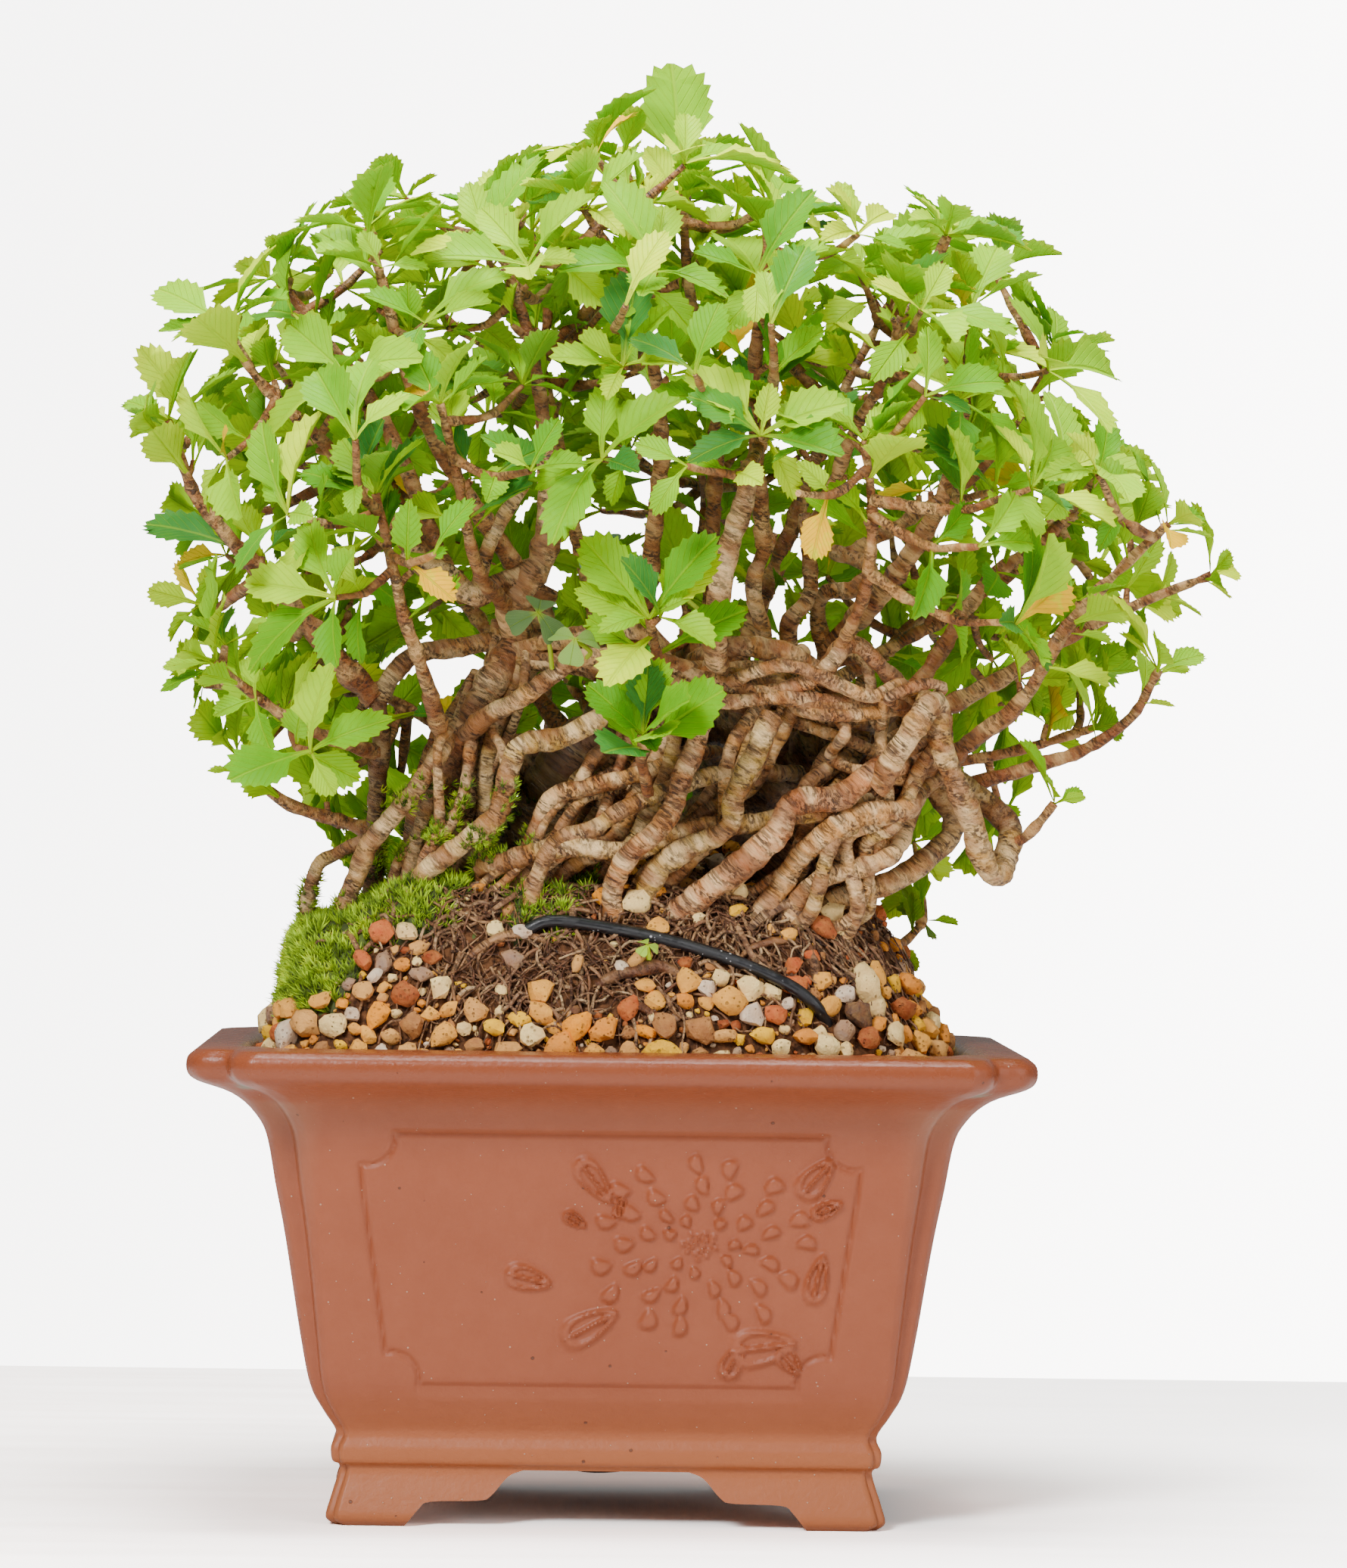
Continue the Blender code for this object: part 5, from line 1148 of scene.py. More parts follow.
def leaf_material(name, stops, roughness):
    """A leaf with paler veins, foot and underside, and its tint along the stops."""
    made, tree, shader, place = new_material(name)
    parts, under = parts_of(tree, attribute(tree, "in_leaf", 1)), attribute(tree, "under")
    mottle, across = patches(tree, place, 6.0, 0.25), maths(tree, "ABSOLUTE", parts[1])
    shade = maths(tree, "ADD", attribute(tree, "tint"), maths(tree, "MULTIPLY_ADD", mottle, 0.10, -0.05))
    slant = maths(tree, "SUBTRACT", times(tree, parts[0], 62.0), times(tree, across, 95.0))
    veins = band_pass(tree, maths(tree, "SINE", slant), 0.72, 1.0)
    lines = maths(tree, "MAXIMUM", band_pass(tree, across, 0.022, 0.006), times(tree, veins, 0.42))
    colour = coats(tree, ramp(tree, shade, stops), (lines, 0.30, (0.42, 0.60, 0.0)),
                   (band_pass(tree, parts[0], 0.30, 0.02), 0.6, (0.46, 0.58, 0.0)))
    colour = coats(tree, colour, (under, 0.7, tone_blend(tree, 0.5, colour, (0.30, 0.48, 0.01))),
                   (specks(tree, place, 2.6, 0.10, 0.12), 0.7, (0.16, 0.12, 0.03)))
    coloured(tree, shader, colour, maths(tree, "MULTIPLY_ADD", under, 0.25, roughness), 0.08)
    for label, value in (("Weight", 0.15), ("Radius", (0.5, 1.0, 0.2)), ("Scale", 0.0012)):
        shader.inputs["Subsurface " + label].default_value = value
    normal = bumped(tree, shader, maths(tree, "SUBTRACT", 1.0, lines), 0.22)
    bumped(tree, shader, grain(tree, place, 1.1), 0.10, normal)
    return made


def stone_material():
    """Gravel; each stone's tint picks one of the colours."""
    made, tree, shader, place = new_material("gravel")
    stops = [
        (0.00, (0.78, 0.26, 0.020)), (0.16, (0.92, 0.42, 0.060)), (0.30, (1.0, 0.76, 0.32)),
        (0.40, (0.98, 0.54, 0.0)), (0.48, (1.0, 0.34, 0.0)), (0.52, (0.52, 0.085, 0.025)),
        (0.60, (0.28, 0.040, 0.014)), (0.68, (0.32, 0.135, 0.05)), (0.76, (0.72, 0.36, 0.10)),
        (0.84, (0.28, 0.20, 0.15)), (0.90, (0.74, 0.62, 0.47)), (0.955, (0.02, 0.025, 0.035)),
    ]
    pores = specks(tree, place, 0.8, 0.30, 0.5)
    colour = coats(
        tree, ramp(tree, attribute(tree, "tint"), stops, steps=True),
        (patches(tree, place, 1.8, 0.2), 0.25, (0.95, 0.50, 0.12)),
        (patches(tree, place, 3.7, 0.12), 0.28, (0.42, 0.13, 0.03)), (pores, 0.5, (0.14, 0.055, 0.02)))
    coloured(tree, shader, colour, 0.82, 0.25)
    normal = bumped(tree, shader, grain(tree, place, 0.8), 1.3)
    bumped(tree, shader, maths(tree, "SUBTRACT", 1.0, pores), 0.5, normal)
    return made


def soil_material():
    made, tree, shader, place = new_material("soil")
    colour = coats(
        tree, tone_blend(tree, patches(tree, place, 1.6, 0.12), (0.018, 0.007, 0.003), (0.20, 0.083, 0.032)),
        (patches(tree, place, 7.0, 0.15), 0.5, (0.085, 0.036, 0.018)),
        (specks(tree, place, 1.6, 0.3, 0.3), 0.8, (0.46, 0.24, 0.10)))
    coloured(tree, shader, colour, 0.9, 0.15)
    bumped(tree, shader, grain(tree, place, 1.2), 1.4)
    return made


def moss_material():
    made, tree, shader, place = new_material("moss")
    broad, low = patches(tree, place, 5.0, 0.12), band_pass(tree, attribute(tree, "up_sprig"), 0.6, 0.0)
    share = maths(tree, "MULTIPLY_ADD", broad, 0.55, times(tree, attribute(tree, "tint"), 0.45))
    stops = [(0.0, (0.030, 0.062, 0.0)), (0.4, (0.21, 0.36, 0.0)), (0.7, (0.48, 0.74, 0.0)),
             (1.0, (0.85, 1.0, 0.0))]
    coloured(tree, shader, coats(tree, ramp(tree, share, stops), (low, 0.85, (0.03, 0.035, 0.006))), 0.75)
    bumped(tree, shader, grain(tree, place, 0.7), 0.3)
    return made


def plastic_material(name, scuffed):
    made, tree, shader, place = new_material(name)
    scuffs = patches(tree, place, 2.6, 0.05)
    pale = times(tree, times(tree, scuffs, specks(tree, place, 0.9, 0.25, 0.35)), scuffed)
    colour = tone_blend(tree, pale, (0.007, 0.007, 0.009), (0.50, 0.50, 0.52))
    coloured(tree, shader, colour, maths(tree, "MULTIPLY_ADD", scuffs, 0.25, 0.28))
    bumped(tree, shader, grain(tree, place, 1.4), 0.12)
    return made


def table_material():
    """A pale table; the camera sees it as bright as the studio's white, with painted light towards the right
    and a painted shadow under the pot.
    """
    made, tree, shader, place = new_material("pale_table")
    streak = put(tree, "ShaderNodeMapping", {"Vector": place, "Scale": (0.12, 1.0, 1.0)}).outputs[0]
    soft = patches(tree, streak, 12.0, 0.3)
    seen_by_camera = put(tree, "ShaderNodeLightPath").outputs["Is Camera Ray"]
    parts = parts_of(tree, place)
    bright = tone_blend(tree, soft, (2.2, 1.98, 1.86), (2.7, 2.55, 2.45))
    # Painted light: the table the camera sees grows brighter towards the right, as a pool of light.
    right = band_pass(tree, parts[0], -0.10, 0.16)
    bright = tone_blend(tree, times(tree, right, 0.5), bright, (3.2, 3.2, 3.2))
    # Painted shadow: the table is darkened under the pot, where the pot shades it.
    near = times(tree, band_pass(tree, maths(tree, "ABSOLUTE", parts[0]), 0.062, 0.040),
                 band_pass(tree, maths(tree, "ABSOLUTE", parts[1]), 0.045, 0.025))
    bright = tone_blend(tree, times(tree, near, 0.85), bright, (1.05, 1.30, 1.36))
    colour = tone_blend(tree, seen_by_camera, (0.85, 0.84, 0.83), bright)
    paint = put(tree, "ShaderNodeBsdfDiffuse", {"Color": colour})
    tree.links.new(paint.outputs[0], tree.nodes["Material Output"].inputs["Surface"])
    tree.nodes.remove(shader)
    return made


# Pot


def side_places():
    """Where points lie along each side: sparse on the sides, close on the back's groove and the front."""
    half = [0.64 * k / 10 for k in range(10)] + [0.64 + 0.16 * k / 15 for k in range(15)] + [0.8, 0.87, 0.94]
    back = sorted({round((1 + sign * s) / 2, 6) for s in half for sign in (1, -1)})
    side = [k / 16 for k in range(1, 16)]
    return back, side, [k / 300 for k in range(1, 300)], side


def pot_loop(half_x, half_y, notch, z, sides):
    """Points round a rectangle whose corners step in with round steps."""
    steps = [(0, -1.5), (-0.28, -1.1), (-0.82, -0.96), (-0.96, -0.82), (-1.1, -0.28), (-1.5, 0)]
    bend = smooth_path([Vector((half_x + a * notch, half_y + b * notch, 0)) for a, b in steps], 4)
    ring = []
    for k, (sx, sy) in enumerate(((1, 1), (-1, 1), (-1, -1), (1, -1))):
        ring += [(sx * p.x, sy * p.y, z) for p in (bend if sx == sy else bend[::-1])]
        x, y, _ = ring[-1]
        end_x, end_y = (x, -y) if k % 2 else (-x, y)
        ring += [(x + (end_x - x) * t, y + (end_y - y) * t, z) for t in sides[k]]
    return ring


def relief_height(across, up):
    """How far the relief stands out at places on the front: cupped petals, veined leaves and seeds."""
    height = np.zeros_like(across)
    for x, z, length, width, turn, petal in relief_blades():
        cos, sin = math.cos(math.radians(turn)), math.sin(math.radians(turn))
        u = ((across - x) * cos + (up - z) * sin) / (length / 2)
        v = (-(across - x) * sin + (up - z) * cos) / (width / 2)
        if petal:
            out = np.hypot(u, (v + 0.35 * u * u) / (0.72 + 0.28 * np.clip(u, -1, 1)))
            form = eased(1.0 - out, 0, 0.6) * (0.85 + 0.15 * np.clip(u, -1, 1))
        else:
            out = np.hypot(u, v * (1 + 0.4 * np.clip(u, -1, 1)))
            edge, rib = np.exp(-(((out - 0.8) / 0.2) ** 2)) * 0.8, np.exp(-((v / 0.2) ** 2)) * (out < 0.95)
            form = np.maximum(np.maximum(edge, rib), 0.3 * eased(1.05 - out, 0, 0.5))
        height = np.maximum(height, RELIEF_HEIGHT * form)
    draw = random.Random(4)
    for k in range(BLOOM_SEEDS):
        reach, turn = BLOOM_EYE * math.sqrt((k + 0.5) / BLOOM_SEEDS), k * GOLDEN_TURN
        x = BLOOM_CENTRE[0] + reach * math.cos(turn)
        z = BLOOM_CENTRE[1] + reach * BLOOM_STRETCH * math.sin(turn)
        away = ((across - x) ** 2 + (up - z) ** 2) / draw.uniform(0.2, 0.3)
        height = np.maximum(height, np.exp(-away) * 0.9)
    return height


def relief_blades():
    """Petals in rings round the bloom's centre, then the leaves: place, size, turn and if it is a petal."""
    draw = random.Random(6)
    for ring, (radius, count, length, width) in enumerate(BLOOM_RINGS):
        for k in range(count):
            turn = math.tau * (k + 0.41 * ring + draw.uniform(-0.2, 0.2)) / count
            out = Vector((math.cos(turn), math.sin(turn) * BLOOM_STRETCH))
            place = Vector(BLOOM_CENTRE) + out * radius * draw.uniform(0.94, 1.06)
            lean = math.degrees(math.atan2(out.y, out.x)) + draw.uniform(-26, 26)
            yield place.x, place.y, length, width * draw.uniform(0.8, 1.1), lean, True
    for leaf in RELIEF_LEAVES:
        yield *leaf, False


def panel_outline():
    """The right half of the panel's line from the top down, then the left half: its corners curve inwards."""
    right = []
    for half, level, way in ((PANEL_TOP_HALF, PANEL_TOP, -1), (PANEL_BOTTOM_HALF, PANEL_BOTTOM, 1)):
        corner = []
        for k in range(-1, 8):
            turn = math.radians(15 * k)
            corner.append((half - PANEL_NOTCH * math.cos(turn), level + way * PANEL_NOTCH * math.sin(turn)))
        right += corner if way < 0 else corner[::-1]
    return right + [(-x, z) for x, z in reversed(right)]


def groove_depth(across, up):
    """How deep the panel's line is pressed in at places on the front or back."""
    line = panel_outline()
    nearest = np.full_like(across, 99.0)
    for (ax, az), (bx, bz) in zip(line, line[1:] + line[:1]):
        dx, dz = bx - ax, bz - az
        t = np.clip(((across - ax) * dx + (up - az) * dz) / (dx * dx + dz * dz), 0, 1)
        nearest = np.minimum(nearest, np.hypot(across - ax - t * dx, up - az - t * dz))
    return GROOVE_DEPTH * np.exp(-((nearest / (GROOVE_WIDTH * 0.55)) ** 2))


def make_pot(clay):
    full = smooth_path([Vector(row) for row in OUTER_ROWS], 12)
    first, last = 12 * 8, 12 * 12
    outer = full[:first:3] + resampled(full[first : last + 1], 140) + full[last + 3 :: 3]
    inner = smooth_path([Vector(row) for row in (OUTER_ROWS[-1], *INNER_ROWS, WALL_ROWS[0])], 3)[1:]
    sides = side_places()
    rows = [*outer, *inner, *WALL_ROWS[1:]]
    loops = [pot_loop(half_x, half_x - SHORTER_HALF_Y, notch, z, sides) for half_x, z, notch in rows]
    turns = [math.atan2(y, x) for x, y, _ in loops[0]]
    loops += [[(DRAIN_RADIUS * math.cos(t), DRAIN_RADIUS * math.sin(t), z) for t in turns]
              for z in (FLOOR_TOP, UNDERSIDE)]
    loops += [pot_loop(half_x, half_x - SHORTER_HALF_Y, notch, z, sides) for half_x, z, notch in SKIRT_ROWS]
    points = np.array(loops)
    count = points.shape[1]
    area = points[: len(outer)]
    x, y, z = area[..., 0], area[..., 1], area[..., 2]
    half_y = -np.min(y, axis=1, keepdims=True)
    on_front, on_back = np.abs(y + half_y) < 0.01, np.abs(y - half_y) < 0.01
    push = np.where(on_front, relief_height(x, z), 0) - np.where(on_front | on_back, groove_depth(x, z), 0)
    area[..., 1] += np.where(y < 0, -push, push)
    faces = ring_quads(len(loops), count, closed=True)
    body = solid("stoneware_pot", points.reshape(-1, 3), faces, clay)
    arch = smooth_path([Vector((a, 0, b)) for a, b in ARCH[1:]], 4)
    arch = [(ARCH[0][0], ARCH[0][1])] + [(p.x, p.z) for p in arch]
    arch += [(-a, b) for a, b in reversed(arch)]
    shorter = (RIM_HALF_X - SHORTER_HALF_Y) / RIM_HALF_X
    cut_out(body, prism(arch, 90, 1, clay))
    cut_out(body, prism([(a * shorter, b) for a, b in arch], 110, 0, clay))
    body.data.shade_smooth()
    body.data.set_sharp_from_angle(angle=math.radians(46))
    spots = places_of(body.data)
    rim = (spots[:, 2] > RIM_TOP - 8) & (np.abs(spots[:, 0]) < 70.5) & (np.abs(spots[:, 1]) < 54.5)
    mark(body.data, "inside", "FLOAT", rim * np.clip((RIM_TOP + 0.4 - spots[:, 2]) / 1.5, 0, 1))
    corner = np.array((RIM_HALF_X, RIM_HALF_X - SHORTER_HALF_Y)) * 0.8
    step = np.hypot(*(np.abs(spots[:, :2]) - corner).T)
    mark(body.data, "hollow", "FLOAT", np.clip(1 - step / 10, 0, 1) * (spots[:, 2] > 20) * (spots[:, 2] < 80))
    return body


def ring_quads(rings, count, closed=False):
    """Quads between each ring of points and the next."""
    faces = []
    for r in range(rings if closed else rings - 1):
        for i in range(count):
            j, up = (i + 1) % count, (r + 1) % rings
            faces.append((r * count + i, r * count + j, up * count + j, up * count + i))
    return faces


def places_of(mesh):
    """A mesh's points in millimetres in the pot's frame, above the let-out body."""
    spots = np.zeros(len(mesh.vertices) * 3)
    mesh.vertices.foreach_get("co", spots)
    return spots.reshape(-1, 3) / MM - np.array(SHIFT)


def solid(name, points, faces, finish):
    """A closed object from points in millimetres, with its faces turned outwards."""
    mesh = start_mesh(points, [], faces)
    shape = bmesh.new()
    shape.from_mesh(mesh)
    bmesh.ops.recalc_face_normals(shape, faces=shape.faces)
    if shape.calc_volume(signed=True) < 0:
        bmesh.ops.reverse_faces(shape, faces=shape.faces)
    shape.to_mesh(mesh)
    shape.free()
    mesh.name = name
    mesh.materials.append(finish)
    return shown(name, mesh)


def prism(outline, reach, axis, finish):
    """A closed outline pushed both ways along the X axis (0) or the Y axis (1)."""
    points, count = [], len(outline)
    for level in (-reach, reach):
        points += [(level, a, b) if axis == 0 else (a, level, b) for a, b in outline]
    faces = [(i, (i + 1) % count, count + (i + 1) % count, count + i) for i in range(count)]
    faces += [tuple(range(count - 1, -1, -1)), tuple(range(count, 2 * count))]
    return solid("cut", points, faces, finish)


def cut_out(target, tool):
    step = target.modifiers.new("cut", "BOOLEAN")
    step.operation, step.object, step.solver = "DIFFERENCE", tool, "MANIFOLD"
    apply_steps(target)
    bpy.data.objects.remove(tool)


def apply_steps(made):
    """Makes the modifiers' result the object's own mesh."""
    bpy.context.view_layer.update()
    graph = bpy.context.evaluated_depsgraph_get()
    mesh = bpy.data.meshes.new_from_object(made.evaluated_get(graph), depsgraph=graph)
    made.modifiers.clear()
    made.data = mesh
    return made


# Wood


def knobbly(path, radii, draw, stride, bend, swell):
    """The path and radii at a finer stride, with small bends and swellings."""
    smooth = smooth_path(path, 6)
    total = path_length(smooth)
    count = max(int(total / stride), 3)
    drift = any_vector(draw, *[(0, 90)] * 3)
    points, thick = [], []
    for i in range(count + 1):
        p = along(smooth, i / count)[0]
        low = min(int(i / count * (len(radii) - 1)), len(radii) - 2)
        radius = radii[low] + (radii[low + 1] - radii[low]) * (i / count * (len(radii) - 1) - low)
        knob = noise.noise(p * 0.33 + drift) + 0.6 * noise.noise(p * 0.9 + drift)
        turn = Vector(noise.noise_vector(p * 0.13 + drift))
        turn += Vector(noise.noise_vector(p * 0.35 + drift)) * 0.35
        points.append(p + turn * bend * min(radius, 3.0) * (0 < i < count))
        thick.append(radius * (1 + swell * knob))
    return points, thick


def more_roots():
    """Thin roots between the main ones, from the root ball up to the hubs where the trunks begin."""
    draw, hubs = random.Random(9), ROOT_HUBS
    roots = []
    for _ in range(THIN_ROOTS):
        x, y = draw.uniform(-44, 46), draw.uniform(-33, -8)
        foot = Vector((x, y, ground_height(x, y) - 4))
        hub = Vector(min(hubs, key=lambda h: abs(h[0] - x - draw.uniform(14, 40))))
        top = hub + any_vector(draw, (-6, 6), (-5, 9), (-9, 7))
        path = [foot]
        for share in (0.2, 0.42, 0.62, 0.82):
            rise = share ** draw.uniform(0.8, 1.5)
            aside = x + (top.x - x) * share + draw.uniform(-3, 3)
            back = y + (top.y - y) * share - 7 * math.sin(math.pi * share) + draw.uniform(-2, 2)
            up = foot.z + (top.z - foot.z) * rise + draw.uniform(-2, 3)
            path.append(Vector((aside, max(back, -38), up)))
        path.append(top)
        thick = draw.uniform(0.9, 1.9)
        roots.append((path, [thick * draw.uniform(0.8, 1.1) for _ in path]))
    for _ in range(HUB_LINKS):
        a, b = Vector(draw.choice(hubs)), Vector(draw.choice(hubs))
        path = [a]
        for share in (0.25, 0.5, 0.75):
            path.append(a.lerp(b, share) + any_vector(draw, (-7, 7), (-14, -4), (-6, 8)))
            path[-1].y = max(path[-1].y, -37)
        roots.append(([*path, b], [draw.uniform(1.0, 1.7)] * 5))
    return roots


def make_tangle(roots, bark, tree):
    """All roots and trunks, each a knobbly rod, with moss on those at the left, and painted shade marked on
    the roots behind and below.
    """
    draw = random.Random(31)
    paths, tones = [], []
    for k, (path, radii) in enumerate([*roots, *more_roots()]):
        trunk = radii[0] > 4.9
        fine, thick = knobbly(path, [r * (1.0 if trunk else 0.94) for r in radii], draw, 1.15, 0.3, 0.2)
        paths.append((fine, thick))
        tones.append(ROOT_TONES.get(k, draw.random()))
    wood = rods("root_wood", paths, 14, bark, tree, tones)
    place_along(wood)
    mesh, spots = wood.data, places_of(wood.data)
    normals = np.zeros(len(spots) * 3)
    mesh.vertices.foreach_get("normal", normals)
    normals = normals.reshape(-1, 3)
    low = np.clip((143 - spots[:, 2]) / 12, 0, 1) * np.clip((-14 - spots[:, 0]) / 6, 0, 1)
    spread = np.array([noise.noise(Vector(p) * 0.14) for p in spots])
    mark(mesh, "turf", "FLOAT", low * np.clip(spread * 6 + normals[:, 2] * 0.8, 0, 1) * (spots[:, 2] > 112))
    # Painted shade: roots further back and lower in the tangle are marked to be darkened, where the front
    # ones shade them.
    inner = np.clip((spots[:, 1] + 27) / 16, 0, 1) * np.clip((168 - spots[:, 2]) / 14, 0, 1)
    mark(mesh, "inner", "FLOAT", inner)
    return wood


# Leaves and shoots


class Room:
    """Balls that are taken up, found by their cell."""

    CELL = 3.0

    def __init__(self):
        self.cells = {}

    def keys(self, p, reach):
        low = [int((c - reach) // self.CELL) for c in p]
        high = [int((c + reach) // self.CELL) for c in p]
        for i in range(low[0], high[0] + 1):
            for j in range(low[1], high[1] + 1):
                for k in range(low[2], high[2] + 1):
                    yield i, j, k

    def add(self, p, radius, spare=0.6):
        for key in self.keys(p, radius + spare):
            self.cells.setdefault(key, []).append((p.x, p.y, p.z, radius))

    def free(self, p, margin=0.0):
        key = (int(p.x // self.CELL), int(p.y // self.CELL), int(p.z // self.CELL))
        for x, y, z, r in self.cells.get(key, ()):
            if (p.x - x) ** 2 + (p.y - y) ** 2 + (p.z - z) ** 2 < (r + margin) ** 2:
                return False
        return True


def leaf_balls(leaf, first=0.4):
    half = 0.5 * LEAF_WIDTH * leaf["length"]
    for share in (first, 0.6, 0.8, 0.97):
        wide = half * (0.45 if share < 0.5 else 0.9 if share < 0.9 else 0.5)
        for across in (-wide, -wide * 0.4, wide * 0.4, wide):
            yield leaf_point(leaf, share, across)


def in_bounds(p, margin=1.6):
    q = placed([p])[0]
    return all(CAD_LOW[k] + margin * MM < q[k] < CAD_HIGH[k] - margin * MM for k in range(3))


def keep_inside(piece):
    """Keeps the points of a piece within the frame's box."""
    spots = np.zeros(len(piece.data.vertices) * 3)
    piece.data.vertices.foreach_get("co", spots)
    spots = np.clip(spots.reshape(-1, 3), np.array(CAD_LOW) + TINY, np.array(CAD_HIGH) - TINY)
    piece.data.vertices.foreach_set("co", spots.ravel())


def try_leaf(draw, room, point, way, turn, length):
    """A leaf at a point if there is room for it."""
    for attempt in range(5):
        leaf = draw_leaf(draw, point, way, turn + draw.uniform(-0.6, 0.6), length * (1 - 0.08 * attempt))
        leaf["arch"], leaf["fold"] = draw.uniform(0.12, 0.60), draw.uniform(0.20, 0.85)
        balls = list(leaf_balls(leaf))
        if above_ground(leaf) and all(in_bounds(p) and room.free(p) for p in balls):
            if outline_room(balls[-1]) > -1.5:
                for p in balls:
                    room.add(p, 0.8)
                return leaf
    return None


def outline_room(p):
    """How far inside the crown's outline a place lies, as the camera sees it."""
    nearer = (CAMERA_BACK - 50) / (CAMERA_BACK + p.y)
    x = CAMERA_ASIDE + (p.x - CAMERA_ASIDE) * nearer - CROWN_MIDDLE[0]
    z = CAMERA_UP + (p.z - CAMERA_UP) * nearer - CROWN_MIDDLE[1]
    turn = math.degrees(math.atan2(z, x))
    turns, reach = zip(*CROWN_EDGE)
    return float(np.interp(turn + 360 if turn < -100 else turn, turns, reach)) - math.hypot(x, z)


def hides_roots(p):
    """True for a place in front of the open root tangle."""
    return p.y < 16 and ((p.x - 14) / 66) ** 2 + ((p.z - 150) / 46) ** 2 < 1


def rosette(draw, room, leaves, stop, way, count, sizes):
    """A few leaves round the end of a twig."""
    turn = draw.uniform(0, math.tau)
    for m in range(count):
        leaf = try_leaf(draw, room, stop, way, turn + math.tau * m / count, draw.uniform(*sizes))
        if leaf:
            leaves.append(leaf)


def dress(shoot, draw, room, hubs):
    """Short spurs with small rosettes, and more tip leaves than the frame's solid carries."""
    path, leaves, twigs = shoot["path"], [], []
    small = shoot["foot"].z < CROWN_LOWEST + 2
    for leaf in shoot["leaves"]:
        out = -outline_room(leaf_point(leaf, 1.0, 0))
        length = leaf["length"] * (1 - min(max(out, 0) / 18, 0.5)) * (0.7 if small else 1)
        leaves.append({**leaf, "length": length})
    total = path_length(path)
    turn = draw.uniform(0, math.tau)
    stations = 0 if small else max(int(total / 8.5), 2)
    for k in range(stations):
        point, way = along(path, 0.25 + 0.70 * k / (stations - 1))
        turn += GOLDEN_TURN
        side = square_to(way, UP)
        out = side * math.cos(turn) + way.cross(side) * math.sin(turn)
        stop = point + (way * 0.5 + out * 0.9 + Vector((0, 0, 0.2))).normalized() * draw.uniform(1.5, 5.0)
        if not in_bounds(stop) or not room.free(stop, 0.8) or outline_room(stop) < 5:
            continue
        if hides_roots(stop) and draw.random() < 0.75:
            continue
        twigs.append(([point, point.lerp(stop, 0.5), stop], [0.9, 0.75, 0.6]))
        hubs.append(stop)
        rosette(draw, room, leaves, stop, (stop - point).normalized(), draw.choice((1, 2, 3)), (8, 15))
    point, way = along(path, 0.995)
    rosette(draw, room, leaves, point, way, 1 if small else 3, (9, 16))
    hubs.append(point)
    shoot["all_leaves"], shoot["twigs"] = leaves, twigs


def fill_crown(shoots, draw, room, hubs):
    """Side twigs with rosettes wherever the crown still has room, each from the nearest shoot."""
    spots, centre = [], Vector((CROWN_MIDDLE[0], 2, CROWN_MIDDLE[1] + 3))
    for shoot in shoots:
        for k in range(14):
            spots.append((shoot, along(shoot["path"], 0.08 + 0.92 * k / 14)[0]))
    places = np.array([tuple(p) for _, p in spots])
    for _ in range(CROWN_TRIES):
        way = Vector((draw.gauss(0, 1), draw.gauss(0, 1), draw.gauss(0, 1))).normalized()
        share = draw.uniform(0.5, 1.0) ** 0.6
        stop = centre + Vector(way[k] * CROWN_REACH[k] * 1.08 * share for k in range(3))
        space_left = outline_room(stop)
        if space_left < 7 or hides_roots(stop) or not in_bounds(stop) or noise.noise(way * 2.6) < -0.2:
            continue
        if stop.z < CROWN_LOWEST:
            continue
        if min((stop - hub).length for hub in hubs) < CROWN_SPACING:
            continue
        apart = np.linalg.norm(places - np.array(stop), axis=1)
        near = int(apart.argmin())
        shoot, foot = spots[near]
        if not 4 < apart[near] < 36:
            continue
        reach = stop - foot
        bow = Vector((draw.uniform(-1, 1), draw.uniform(-1, 1), -1.2)) * reach.length * 0.09
        thick = 0.55 + 0.016 * reach.length
        shoot["twigs"].append(([foot, foot.lerp(stop, 0.5) + bow, stop], [thick * 1.25, thick, 0.6]))
        hubs.append(stop)
        towards = (reach.normalized() + way * 0.6 + Vector((0, 0, 0.35))).normalized()
        longest = min(20.0, 9 + space_left)
        rosette(draw, room, shoot["all_leaves"], stop, towards, draw.choice((4, 5, 6)), (9, longest))
        if reach.length > 15:
            middle = foot.lerp(stop, 0.55) + bow * 0.9
            rosette(draw, room, shoot["all_leaves"], middle, reach.normalized(), 2, (8, 15))


def leaf_item(leaf, draw):
    """A leaf with its form, its tint and the wave of its edge; the tint holds painted light and shade,
    lighter near the crown's outline and darker deep inside, and it also rises with height.
    """
    height = (leaf["root"].z - 150) / 130
    # Painted light and shade: leaves near the crown's outline get a lighter tint, those deep in the crown a
    # darker one.
    outer = 1 - held(outline_room(leaf["root"]) / 45)
    tint = min(max(0.34 + draw.gauss(0, 0.24) + 0.14 * height + 0.24 * outer, 0.02), 0.88)
    if leaf.get("withered") or draw.random() < 0.008:
        tint = 0.97
    return {**leaf, "size": [leaf["length"]] * 3, "form": draw.randrange(LEAF_FORMS), "tint": tint,
            "wave": draw.uniform(0.02, 0.16)}


